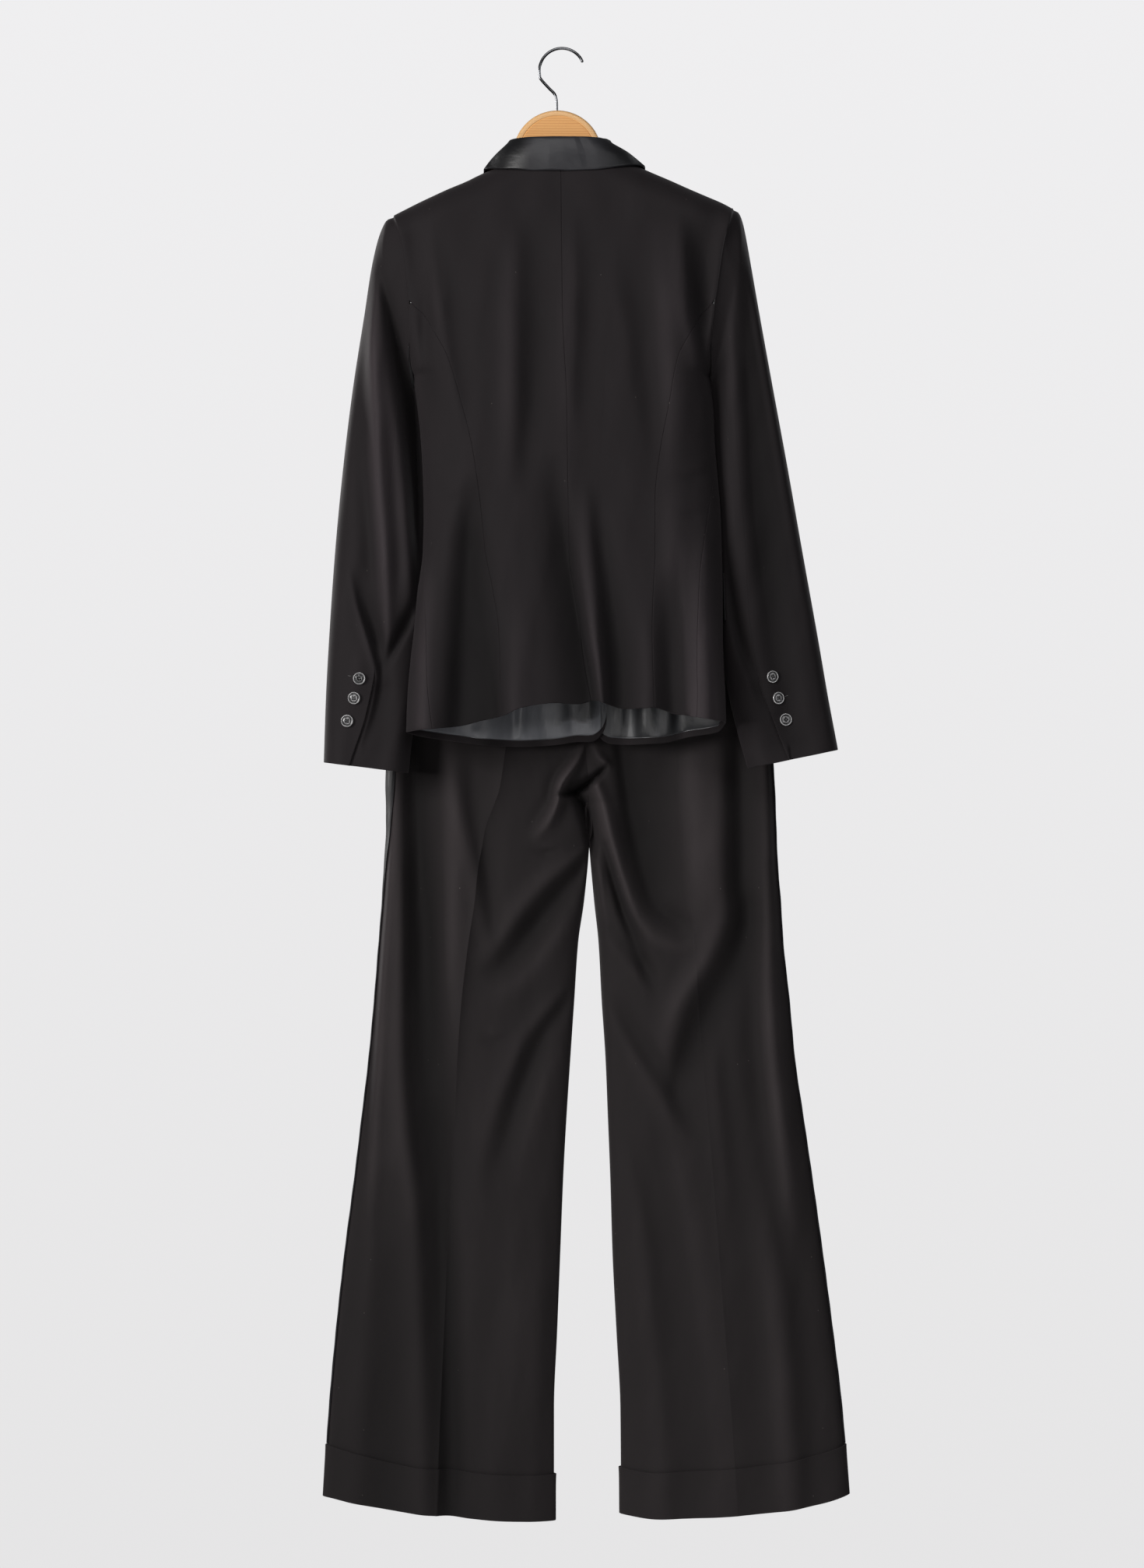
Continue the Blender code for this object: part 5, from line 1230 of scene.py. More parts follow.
def revolved(name, profile, finish, sides=48):
    """A turned piece on the Z axis: profile rows are (radius, height), middle to middle."""
    points, rings = [], []
    for radius, height in profile:
        if radius < 1e-6:
            rings.append([len(points)] * sides)
            points.append((0, 0, height))
            continue
        rings.append(list(range(len(points), len(points) + sides)))
        for k in range(sides):
            t = 2 * math.pi * k / sides
            points.append((radius * math.cos(t), radius * math.sin(t), height))
    faces = []
    for lower, upper in zip(rings, rings[1:]):
        for k in range(sides):
            quad = [lower[k], lower[(k + 1) % sides], upper[(k + 1) % sides], upper[k]]
            face = [q for i, q in enumerate(quad) if q != quad[i - 1]]
            if len(face) > 2:
                faces.append(face)
    return mesh_of(name, points, faces, [finish], sharp=40)


def tube(name, points, radius, finish, ends=0.0, sides=16, squash=1.0):
    """A closed round bar along points; its last stretches of length ends round off."""
    points = np.asarray(points, float)
    run = run_of(points[:, None], 0)[:, 0]
    along = np.gradient(points, axis=0)
    along /= np.linalg.norm(along, axis=1, keepdims=True)
    side = np.array([0.0, 1.0, 0.0])
    rings = []
    for spot, way, here in zip(points, along, run):
        side = side - way * np.dot(side, way)
        if np.linalg.norm(side) < 1e-3:
            side = np.cross(way, (1.0, 0.0, 0.0))
        side /= np.linalg.norm(side)
        other = np.cross(way, side)
        wide = radius
        if ends:
            wide = radius * float(rounding(min(here, run[-1] - here) / ends * 0.999 + 0.02))
        t = np.linspace(0, 2 * math.pi, sides, endpoint=False)[:, None]
        rings.append(spot + wide * (np.cos(t) * side * squash + np.sin(t) * other))
    rings = np.array(rings)
    count = len(points)
    verts = np.concatenate([rings.reshape(-1, 3), points[:1], points[-1:]])
    faces = []
    for r in range(count - 1):
        for k in range(sides):
            n = (k + 1) % sides
            faces.append((r * sides + k, r * sides + n, (r + 1) * sides + n, (r + 1) * sides + k))
    for k in range(sides):
        n = (k + 1) % sides
        faces.append((count * sides, n, k))
        faces.append((count * sides + 1, (count - 1) * sides + k, (count - 1) * sides + n))
    return mesh_of(name, verts, faces, [finish], sharp=55)


def placed(made, place, out, spin=0.0):
    """Stands a piece made on the Z axis at a place, facing out. Its mesh is moved, not its object."""
    turn = Vector(out).to_track_quat("Z", "Y").to_matrix().to_4x4()
    turn = turn @ Matrix.Rotation(spin, 4, "Z")
    made.data.transform(Matrix.Translation(Vector(place) * MM) @ turn)
    return made


# ------------------------------------------------------------------- materials


class Finish:
    """A material's node tree, and short calls for the nodes it is built from."""

    def __init__(self, name, **sockets):
        self.made = bpy.data.materials.new(name)
        self.made.use_nodes = True
        self.tree = self.made.node_tree
        self.skin = self.tree.nodes["Principled BSDF"]
        for socket, value in sockets.items():
            self.skin.inputs[socket.replace("_", " ")].default_value = value

    def node(self, kind, inputs=None, **settings):
        made = self.tree.nodes.new("ShaderNode" + kind)
        for key, value in settings.items():
            setattr(made, key, value)
        for key, value in (inputs or {}).items():
            socket = made.inputs[key]
            if isinstance(value, bpy.types.NodeSocket):
                self.tree.links.new(value, socket)
            else:
                socket.default_value = value
        return made

    def cloth_mm(self):
        """The cloth's own coordinates, across and along the cut, in millimetres."""
        spot = self.node("UVMap", uv_map="cloth").outputs["UV"]
        return self.node("VectorMath", {0: spot, "Scale": 1000.0}, operation="SCALE").outputs[0]

    def fold_tone(self, least, most, ridge):
        """Painted shade in hollows and painted highlight on ridges, by the cloth's second map.

        least is reached in a hollow 15 mm deep, most on a ridge that stands up by ridge.
        """
        place = self.node("SeparateXYZ", {0: self.node("UVMap", uv_map="fold").outputs["UV"]}).outputs["X"]
        tone = self.ramp(place, (0.25, least / 2), (0.5, 0.5), (0.5 + ridge / 60, most / 2))
        return self.sum((tone, 2.0))

    def object_mm(self):
        spot = self.node("TexCoord").outputs["Object"]
        return self.node("VectorMath", {0: spot, "Scale": 1000.0}, operation="SCALE").outputs[0]

    def stretched(self, vector, scale, turn=(0, 0, 0)):
        return self.node("Mapping", {"Vector": vector, "Scale": scale, "Rotation": turn}).outputs[0]

    def noise(self, vector, scale, detail=2.0, rough=0.5, distort=0.0):
        return self.node(
            "TexNoise",
            {"Vector": vector, "Scale": scale, "Detail": detail, "Roughness": rough, "Distortion": distort},
        ).outputs["Fac"]

    def bands(self, vector, scale, direction="DIAGONAL", distort=0.0, detail=1.0, pace=1.0):
        return self.node(
            "TexWave",
            {
                "Vector": vector,
                "Scale": scale,
                "Distortion": distort,
                "Detail": detail,
                "Detail Scale": pace,
            },
            wave_type="BANDS",
            bands_direction=direction,
        ).outputs["Fac"]

    def sum(self, *pairs):
        """A weighted sum of values."""
        total = None
        for value, weight in pairs:
            scaled = self.node("Math", {0: value, 1: weight}, operation="MULTIPLY").outputs[0]
            if total is None:
                total = scaled
            else:
                total = self.node("Math", {0: total, 1: scaled}, operation="ADD").outputs[0]
        return total

    def ramp(self, factor, *stops):
        made = self.node("ValToRGB", {"Fac": factor})
        line = made.color_ramp
        for _ in range(len(stops) - 2):
            line.elements.new(0.5)
        for element, (place, colour) in zip(line.elements, stops):
            element.position = place
            if not hasattr(colour, "__len__"):
                colour = (colour,) * 3
            element.color = (*colour, 1.0)
        return made.outputs["Color"]

    def blend(self, factor, first, second, way="MIX"):
        def full(value):
            if isinstance(value, bpy.types.NodeSocket):
                return value
            return (*value, 1.0)

        made = self.node("Mix", {"Factor": factor}, data_type="RGBA", blend_type=way)
        for slot, value in ((6, first), (7, second)):
            value = full(value)
            if isinstance(value, bpy.types.NodeSocket):
                self.tree.links.new(value, made.inputs[slot])
            else:
                made.inputs[slot].default_value = value
        return made.outputs[2]

    def bump(self, height, distance, strength=1.0, under=None):
        inputs = {"Height": height, "Distance": distance, "Strength": strength}
        if under is not None:
            inputs["Normal"] = under
        return self.node("Bump", inputs).outputs["Normal"]

    def set(self, **sockets):
        for socket, value in sockets.items():
            self.tree.links.new(value, self.skin.inputs[socket.replace("_", " ")])
        return self.made


def wool_twill(name, dark, light, sheen, lean=1.0):
    """Fine worsted: a steep twill of 0.6 mm ribs, slubs in the yarn, faint cloudiness and lint."""
    f = Finish(name, Specular_IOR_Level=0.22, Sheen_Weight=sheen, Sheen_Roughness=0.42)
    f.skin.inputs["Sheen Tint"].default_value = (0.95, 0.86, 0.90, 1.0)
    mm = f.cloth_mm()
    steep = f.stretched(mm, (lean, 0.62, 1.0))
    rib = f.bands(steep, 1.0, "DIAGONAL", distort=0.7, detail=2.0, pace=0.8)
    yarn = f.noise(f.stretched(mm, (2.6, 1.1, 1.0)), 1.0, detail=3.0, rough=0.6)
    cloud = f.noise(f.stretched(mm, (0.03, 0.012, 1.0)), 1.0, detail=4.0, rough=0.55)
    fuzz = f.noise(mm, 0.55, detail=4.0, rough=0.65)
    tone = f.sum((rib, 0.22), (yarn, 0.30), (cloud, 0.33), (fuzz, 0.15))
    colour = f.ramp(tone, (0.28, dark), (0.72, light))
    specks = f.node(
        "TexVoronoi", {"Vector": f.stretched(mm, (1.0, 0.8, 1.0)), "Scale": 0.017}, voronoi_dimensions="2D"
    )
    lint = f.ramp(specks.outputs["Distance"], (0.0050, 1.0), (0.0085, 0.0))
    some = f.ramp(specks.outputs["Color"], (0.62, 0.0), (0.64, 0.55))
    lint = f.node("Math", {0: lint, 1: some}, operation="MULTIPLY").outputs[0]
    colour = f.blend(lint, colour, (0.20, 0.18, 0.17))
    # painted shade in the folds' hollows and painted highlight on their ridges, from the fold map
    colour = f.blend(1.0, colour, f.fold_tone(0.36, 2.6, 14), "MULTIPLY")
    height = f.sum((rib, 0.7), (yarn, 0.5), (lint, 0.6))
    normal = f.bump(height, 0.00007, 0.55)
    normal = f.bump(fuzz, 0.00016, 0.30, normal)
    rough = f.ramp(f.sum((cloud, 0.5), (yarn, 0.5)), (0.3, 0.74), (0.7, 0.88))
    return f.set(Base_Color=colour, Roughness=rough, Normal=normal)


def satin_weave(name, dark, light, rough, bright=0.5, sheen=0.06, span=(0.5, 1.4), ridge=12):
    """A weft-faced satin: long floats across the cut, a soft gloss and slight puckers."""
    f = Finish(name, Specular_IOR_Level=bright, Sheen_Weight=sheen, Sheen_Roughness=0.3)
    f.skin.inputs["Anisotropic"].default_value = 0.35
    mm = f.cloth_mm()
    floats = f.noise(f.stretched(mm, (0.5, 5.5, 1.0)), 1.0, detail=3.0, rough=0.6)
    rows = f.bands(mm, 1.6, "Y", distort=0.5, detail=2.0, pace=0.6)
    cloud = f.noise(f.stretched(mm, (0.05, 0.03, 1.0)), 1.0, detail=3.0)
    pucker = f.noise(f.stretched(mm, (0.16, 0.07, 1.0)), 1.0, detail=2.0)
    colour = f.ramp(f.sum((floats, 0.45), (cloud, 0.4), (rows, 0.15)), (0.3, dark), (0.7, light))
    # painted shade in the folds' hollows and painted highlight on their ridges, from the fold map
    colour = f.blend(1.0, colour, f.fold_tone(*span, ridge), "MULTIPLY")
    normal = f.bump(f.sum((floats, 0.7), (rows, 0.3)), 0.00004, 0.5)
    normal = f.bump(pucker, 0.0009, 0.35, normal)
    gloss = f.ramp(f.sum((floats, 0.4), (cloud, 0.6)), (0.3, rough - 0.05), (0.7, rough + 0.07))
    return f.set(Base_Color=colour, Roughness=gloss, Normal=normal)


def horn(name, dark, light, low=0.10, high=0.24):
    """Polished grey horn: smoky streaks, a clear gloss and fine handling scratches."""
    f = Finish(name, Specular_IOR_Level=0.7, Coat_Weight=0.9, Coat_Roughness=0.05)
    mm = f.object_mm()
    streak = f.noise(f.stretched(mm, (0.5, 0.5, 0.16)), 1.0, detail=4.0, distort=0.8)
    between = tuple((a + b) / 2 for a, b in zip(dark, light))
    colour = f.ramp(streak, (0.32, dark), (0.52, between), (0.72, light))
    scratch = f.noise(f.stretched(mm, (9.0, 0.7, 0.7), (0.2, 0.4, 0.3)), 1.0, detail=3.0)
    normal = f.bump(scratch, 0.00002, 0.35)
    rough = f.ramp(scratch, (0.3, low), (0.7, high))
    return f.set(Base_Color=colour, Roughness=rough, Normal=normal)


def beech(name):
    """Steamed beech under clear lacquer: grain along the arms, short dark flecks, paler edges."""
    f = Finish(name, Specular_IOR_Level=0.45, Coat_Weight=0.35, Coat_Roughness=0.22)
    mm = f.object_mm()
    grain = f.noise(f.stretched(mm, (0.012, 0.4, 0.30)), 1.0, detail=5.0, rough=0.6, distort=0.5)
    ring = f.bands(f.stretched(mm, (0.010, 0.08, 0.11)), 1.0, "Z", distort=3.0, detail=3.0, pace=0.8)
    fleck = f.node("TexVoronoi", {"Vector": f.stretched(mm, (0.22, 1.6, 1.5)), "Scale": 1.0})
    fleck = f.ramp(fleck.outputs["Distance"], (0.10, 1.0), (0.24, 0.0))
    tone = f.sum((grain, 0.55), (ring, 0.45))
    colour = f.ramp(tone, (0.25, (0.82, 0.355, 0.098)), (0.5, (0.91, 0.435, 0.130)), (0.78, (0.97, 0.52, 0.178)))
    faint = f.node("Math", {0: fleck, 1: 0.35}, operation="MULTIPLY").outputs[0]
    colour = f.blend(faint, colour, (0.42, 0.17, 0.05))
    edge = f.node("NewGeometry").outputs["Pointiness"]
    paler = f.ramp(edge, (0.50, 0.0), (0.56, 0.35))
    colour = f.blend(paler, colour, (0.90, 0.60, 0.32))
    # outside the turned groove the half-moon's rim is painted paler: a painted highlight where the rounded rim catches
    # the light
    from_middle = f.node(
        "VectorMath", {0: f.stretched(mm, (1, 0, 1)), 1: (DISC[0], 0.0, -DISC[1])}, operation="DISTANCE"
    ).outputs["Value"]
    rim = f.ramp(f.sum((from_middle, 0.01)), (0.434, 0.0), (0.439, 0.5), (0.515, 0.5), (0.52, 0.0))
    colour = f.blend(rim, colour, (0.98, 0.66, 0.33))
    normal = f.bump(f.sum((grain, 0.6), (fleck, -0.4)), 0.00012, 0.35)
    rough = f.ramp(grain, (0.3, 0.34), (0.7, 0.48))
    return f.set(Base_Color=colour, Roughness=rough, Normal=normal)


def plated(name, colour, low, high):
    """Bright plated steel with drawing lines and faint smudges."""
    f = Finish(name, Metallic=1.0)
    mm = f.object_mm()
    smudge = f.noise(mm, 0.12, detail=4.0)
    line = f.noise(f.stretched(mm, (3.0, 3.0, 0.4)), 1.0, detail=3.0)
    paler = tuple(min(1.0, 1.12 * c) for c in colour)
    tone = f.ramp(f.sum((smudge, 0.7), (line, 0.3)), (0.3, colour), (0.7, paler))
    rough = f.ramp(f.sum((smudge, 0.6), (line, 0.4)), (0.3, low), (0.7, high))
    normal = f.bump(line, 0.00001, 0.3)
    return f.set(Base_Color=tone, Roughness=rough, Normal=normal)


def sewing_thread(name, dark, light):
    """Plied thread: a tight slanting twist."""
    f = Finish(name, Specular_IOR_Level=0.3, Sheen_Weight=0.2)
    mm = f.object_mm()
    twist = f.bands(mm, 1.4, "DIAGONAL", distort=0.4)
    wisp = f.noise(mm, 3.0, detail=3.0)
    colour = f.ramp(f.sum((twist, 0.6), (wisp, 0.4)), (0.3, dark), (0.7, light))
    normal = f.bump(twist, 0.00008, 0.6)
    rough = f.ramp(wisp, (0.3, 0.5), (0.7, 0.7))
    return f.set(Base_Color=colour, Roughness=rough, Normal=normal)


WOOL = wool_twill("worsted twill", (0.0128, 0.0106, 0.0117), (0.0222, 0.0184, 0.0200), 0.05)
TROUSER_WOOL = wool_twill("worsted twill, trousers", (0.0138, 0.0115, 0.0122), (0.0240, 0.0204, 0.0212), 0.05, -1.0)
SATIN = satin_weave("black satin", (0.017, 0.017, 0.0195), (0.027, 0.027, 0.031), 0.42, span=(0.35, 2.6), ridge=30)
LINING = satin_weave("lining satin", (0.060, 0.063, 0.070), (0.098, 0.102, 0.112), 0.36, 0.6, span=(0.3, 2.1), ridge=27)
SLEEVE_LINING = satin_weave("sleeve lining", (0.0085, 0.0085, 0.009), (0.015, 0.015, 0.0165), 0.5, 0.3)
STRIPE = satin_weave("stripe satin", (0.011, 0.0105, 0.012), (0.019, 0.0185, 0.021), 0.58, 0.22, 0.02)
HORN = horn("polished horn", (0.15, 0.15, 0.155), (0.31, 0.305, 0.31))
# Copies of the horn for painted light: the paler one is a painted highlight on the buttons' rims, the darker one
# painted shade on one button's face, and the darkest painted shade in the groove, the holes and underneath.
PAINTED_HIGHLIGHT_HORN = horn("horn on the rim", (0.40, 0.40, 0.405), (0.66, 0.655, 0.66))
PAINTED_SHADE_FACE_HORN = horn("polished horn, dark side", (0.030, 0.030, 0.031), (0.075, 0.073, 0.074))
PAINTED_SHADE_HORN = horn("horn in the groove", (0.006, 0.006, 0.007), (0.014, 0.013, 0.014), 0.12, 0.6)
THREAD = sewing_thread("black thread", (0.010, 0.010, 0.011), (0.030, 0.029, 0.030))
PALE_THREAD = sewing_thread("buttonhole thread", (0.05, 0.05, 0.052), (0.16, 0.155, 0.15))
BEECH = beech("lacquered beech")
# The chrome's plating colour is darkened to about 0.2: painted shade that stands in for the dark room the hook
# reflects.
CHROME = plated("chrome plate", (0.19, 0.195, 0.205), 0.10, 0.17)
STEEL = plated("nickelled steel", (0.56, 0.56, 0.57), 0.16, 0.30)


# ------------------------------------------------------------------ the pieces


def stands_for(made, node):
    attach(made, "root")
    if node:
        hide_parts(node)
    return made


STEP = 4.0
BODY_WALL, LEG_WALL = 1.8, 1.4
MEET = -0.12  # sewn edges press into each other, so no light shows between them
HANDS = ((1, "left"), (-1, "right"))
BACKWARDS, FORWARDS = np.array([0, 1.0, 0]), np.array([0, -1.0, 0])


def from_body_core(grid):
    core = grid.copy()
    down = -grid[..., 2]
    core[..., 0] = body_middle(down) + 0.55 * (grid[..., 0] - body_middle(down))
    core[..., 1] = BODY("hinge", down)
    core[..., 2] = grid[..., 2] - 25
    return grid - core


def worn(point, drape):
    return lambda a, b: drape(point(a, b))


def moved(grid, point, a, b):
    """How far the folds moved each place of a panel, in millimetres."""
    return grid[..., 1] - point(a, b)[..., 1]


for hand, label in HANDS:
    name = f"jacket_back_{label}"
    grid, a, b = panel_grid(worn(back_panel(hand), body_drape), STEP, trace=(0.35, 0.75))
    back = shell(name + "_cloth", grid, BODY_WALL, BACKWARDS, [WOOL, LINING], (MEET, MEET, SEAM, 0), hem=34, fold=moved(grid, back_panel(hand), a, b))
    stands_for(back, name)

    # The side back starts where the princess seam leaves the armhole.
    name = f"jacket_side_back_{label}"
    start = body_rows(hand)[7]
    side_back_cloth = side_back_panel(hand)
    grid, a, b = panel_grid(
        lambda a, b: body_drape(side_back_cloth(a, start + b * (1 - start))), STEP, trace=(0.5, 0.8)
    )
    level = moved(grid, lambda a, b: side_back_cloth(a, start + b * (1 - start)), a, b)
    side_back = shell(
        name + "_cloth", grid, BODY_WALL, from_body_core(grid), [WOOL, LINING], (MEET, MEET, -0.7, 0), hem=34, fold=level
    )
    stands_for(side_back, name)

    name = f"jacket_front_{label}"
    grid, a, b = panel_grid(worn(front_panel(hand), body_drape), STEP, trace=(0.5, 0.5))
    level = moved(grid, front_panel(hand), a, b)
    front = shell(
        name + "_cloth", grid, BODY_WALL, from_body_core(grid), [WOOL, LINING], (MEET, 0, SEAM, 0), hem=9, fold=level
    )
    stands_for(front, name)


def sleeve_core(hand, grid_b):
    table = SLEEVE_LEFT if hand > 0 else SLEEVE_RIGHT
    return stacked(
        hand * (table("out", grid_b) + table("in", grid_b)) / 2,
        (table("out_hinge", grid_b) + table("in_hinge", grid_b)) / 2,
        (table("out_down", grid_b) + table("in_down", grid_b)) / 2,
    )


for hand, label in HANDS:
    name = f"top_sleeve_{label}"
    grid, a, b = panel_grid(top_sleeve(hand), STEP, trace=(0.5, 0.5), zones_a=((110, 400, 3.3),), zones_b=((390, 600, 3.2),))
    # At the cuff vent the top sleeve's edge stands over the under sleeve.
    vent = ease((b - 0.80) / 0.04)
    lift = 1.0 * vent * ease((a - 0.84) / 0.10)
    level = moved(grid, top_sleeve(hand, sleeve_point), a, b)
    gaps = (MEET, MEET - 1.1, -0.4, 0)
    top = shell(
        name + "_cloth", grid, BODY_WALL, grid - sleeve_core(hand, b), [WOOL, SLEEVE_LINING], gaps, lift, hem=38, fold=level
    )
    stands_for(top, name)

    name = f"under_sleeve_{label}"
    grid, a, b = panel_grid(under_sleeve(hand), STEP, trace=(0.5, 0.5), zones_a=((0, 60, 2.8),), zones_b=((230, 450, 2.8),))
    vent = ease((b - 0.80) / 0.04)
    lift = -2.2 * vent * ease((0.34 - a) / 0.20)
    level = moved(grid, under_sleeve(hand, sleeve_point), a, b)
    gaps = (MEET, MEET, -0.4, 0)
    under = shell(
        name + "_cloth", grid, BODY_WALL, grid - sleeve_core(hand, b), [WOOL, SLEEVE_LINING], gaps, lift, hem=38, fold=level
    )
    stands_for(under, name)


# ------------------------------------------------ lining inside the front hems

LINING_FOLDS = {
    # how the loose satin ripples above the front hems: across, lift, width
    1: ((126, 1.6, 9), (108, -2.0, 8), (90, 2.6, 9), (72, -1.2, 7), (55, 3.0, 6), (47, -2.6, 5), (36, 1.2, 9), (10, -1.6, 14), (-14, 1.4, 11), (-34, -1.0, 8)),
    -1: ((-56, 2.2, 7), (-70, -1.8, 6), (-84, 2.8, 8), (-100, -1.4, 7), (-112, 2.4, 7), (-124, -3.0, 5), (-134, 2.0, 6), (-150, -1.6, 8)),
}


def lining_cloth(hand, label):
    side = front_panel(hand)

    def point(a, b):
        first, last = 0.02, 0.985
        return body_drape(side(first + a * (last - first), 0.80 + 0.187 * b))

    grid, a, b = panel_grid(point, 3.6, trace=(0.5, 0.5))
    across = grid[..., 0]
    ripples = sum(
        high * np.exp(-(((across - at - 5 * (b - 0.5)) / wide) ** 2)) for at, high, wide in LINING_FOLDS[hand]
    )
    loose = np.sin(math.pi * np.clip(b, 0, 1)) ** 0.6
    edge = ease((1 - a) / 0.04)
    lift = -(BODY_WALL + 1.0) - edge * loose * (3.2 - ripples)
    # painted light and shade: the wearer's left lining is painted paler, the right darker, and the raised ripples paler
    painted_light_and_shade = (29 if hand > 0 else -20) + 5.0 * ripples
    if hand > 0:
        # painted shadow under the back hem near the middle: the lining is painted darker there, with no hollow in its
        # shape
        hollow = np.exp(-(((across + 20) / 24) ** 4)) * ease((0.885 + 0.02 * np.sin(across / 5.0) - b) / 0.04)
        painted_light_and_shade = painted_light_and_shade - 42 * hollow
    painted_light_and_shade = painted_light_and_shade * -1.0  # the fronts face away from +Y
    return shell(f"front_lining_{label}_cloth", grid, 0.7, from_body_core(grid), [LINING], lift=lift, fold=painted_light_and_shade)


for hand, label in HANDS:
    lining = lining_cloth(hand, label)
    stands_for(lining, f"front_lining_{label}")


# ------------------------------------------------------------ collar and lapels


def collar_cloth():
    parts = np.concatenate([-np.linspace(1, 0, 91), np.linspace(0, 1, 91)[1:]])
    rows = collar_grid(parts)
    # Across its width the collar is one smooth curve through stand, fold and leaf.
    fine = []
    for row in rows:
        fine.append(smooth_path(row, 44))
    grid = np.array(fine)
    width = run_of(grid, 1)
    leaf = np.clip((width / width[:, -1:] - 0.52) / 0.48, 0, 1)
    across = grid[..., 0]
    soft = 0.5 * np.sin(across / 15.0 + 1.2) + 0.4 * np.sin(across / 6.7) * ease(leaf)
    grid[..., 1] += soft * ease(leaf * 1.4) * (1 - ease((leaf - 0.92) / 0.08)) * 0.6
    # painted highlight along the turned edge of the leaf, and painted shade towards both ends of the collar
    edge = 22 * ease((leaf - 0.955) / 0.03)
    painted_light_and_shade = 6 + edge - 28 * ease((across - 28) / 28) - 17 * ease((-across - 34) / 30)
    return shell("collar_cloth", grid, 1.8, collar_away(grid), [SATIN], fold=painted_light_and_shade)


def collar_away(grid):
    down_rows = np.gradient(grid, axis=0)
    across = np.gradient(grid, axis=1)
    out = np.cross(down_rows, across)
    return out


collar = collar_cloth()
stands_for(collar, "collar")


def lapel_cloth(hand, label):
    grid, a, b = panel_grid(worn(lapel(hand), body_drape), 3.4, trace=(0.5, 0.3))
    # The roll line stands off the chest, more in the middle of its length.
    roll = 3.4 * np.sin(math.pi * np.clip(b, 0, 1)) ** 0.8 * (1 - a) ** 1.5
    swell = 0.5 * np.sin(math.pi * a) * np.sin(math.pi * b)
    lift = LIFT + TRIM_WALL + 0.3 + roll + swell
    return shell(f"lapel_{label}_cloth", grid, 1.3, FORWARDS, [SATIN], lift=lift)


for hand, label in HANDS:
    facing = lapel_cloth(hand, label)
    stands_for(facing, f"lapel_{label}")


for hand, label in HANDS:
    grid, a, b = panel_grid(worn(flap(hand), body_drape), 3.6, trace=(0.5, 0.5))
    lift = LIFT + JACKET_WALL + 0.2 + 2.2 * b * (1 - 0.7 * a) + 0.5 * np.sin(9 * a + hand) * b
    pocket = shell(f"pocket_flap_{label}_cloth", grid, 1.7, from_body_core(grid), [WOOL, SLEEVE_LINING], lift=lift)
    stands_for(pocket, f"pocket_flap_{label}")


# ---------------------------------------------------------------- the trousers


def leg_away(grid):
    core = grid.copy()
    core[..., 1] = TROUSER_HINGE
    middle = grid[:, :1, 0] * 0.5 + grid[:, -1:, 0] * 0.5
    core[..., 0] = middle + 0.7 * (grid[..., 0] - middle)
    return grid - core


for hand, label in HANDS:
    for side, place in ((1, "back"), (-1, "front")):
        name = f"trouser_{place}_{label}"
        zones = ((175, 350, 2.2), (350, 540, 3.6)) if side > 0 else ()
        grid, a, b = panel_grid(
            worn(leg_panel(hand, side), leg_drape),
            STEP if side > 0 else STEP + 1.0,
            sharp_a=(0.5,),
            zones_a=((150, 185, 3.2), (185, 400, 2.15)) if side > 0 else (),
            zones_b=zones,
            trace=(0.75, 0.45),
        )
        level = moved(grid, leg_panel(hand, side), a, b)
        leg = shell(name + "_cloth", grid, LEG_WALL, leg_away(grid), [TROUSER_WOOL], (MEET, MEET, 0, 0), fold=level)
        stands_for(leg, name)


def turn_up_cloth(hand, label):
    """A ring over the foot of the leg, standing just clear of it."""
    first = panel_grid(worn(leg_panel(hand, 1), leg_drape), 4.2, sharp_a=(0.5,), trace=(0.5, 0.9))[1][0]
    columns = [(1, v) for v in first[:-1]] + [(-1, v) for v in first[:0:-1]]
    sides = np.array([c[0] for c in columns], float)
    a = np.array([c[1] for c in columns])
    down_marks = stations(56.0, 4.2) / 56.0
    rows, level = [], []
    for mark in down_marks:
        share = leg_share(hand, a, 1690.0 + 0 * a)
        foot = LEG_HEM(label, share)
        down = foot - LEG_HEM("turn_" + label, share) * (1 - mark) + 1.4 * mark
        points = np.empty((len(a), 3))
        for value in (1, -1):
            pick = sides == value
            points[pick] = leg_point(hand, value, leg_share(hand, a[pick], down[pick]), down[pick])
        rows.append(leg_drape(points))
        level.append(rows[-1][:, 1] - points[:, 1])
    grid, level = np.array(rows), np.array(level)
    away = grid.copy()
    middle = grid[..., 0].mean()
    away[..., 0] = 0.3 * (grid[..., 0] - middle)
    away[..., 1] -= TROUSER_HINGE
    away[..., 2] = 0
    b = down_marks[:, None]
    # The top edge springs a little off the leg, the foot is pressed flat.
    lift = LIFT + LEG_WALL + 0.25 + 0.55 * np.exp(-(b / 0.12)) + 0.15 * np.sin(a * 21)[None, :]
    return shell(f"turn_up_{label}_cloth", grid, LEG_WALL, away, [TROUSER_WOOL], lift=lift, ring=True, fold=level)


for hand, label in HANDS:
    turned = turn_up_cloth(hand, label)
    stands_for(turned, f"turn_up_{label}")


for hand, label in HANDS:
    grid, a, b = panel_grid(worn(stripe(hand), leg_drape), 4.0, trace=(0.5, 0.5), zones_a=((0, 60, 1.6),))
    lift = LIFT + TRIM_WALL + 0.12 * np.sin(b * 160 + hand)
    band = shell(f"side_stripe_{label}_cloth", grid, 0.8, leg_away(grid), [STRIPE], lift=lift)
    stands_for(band, f"side_stripe_{label}")


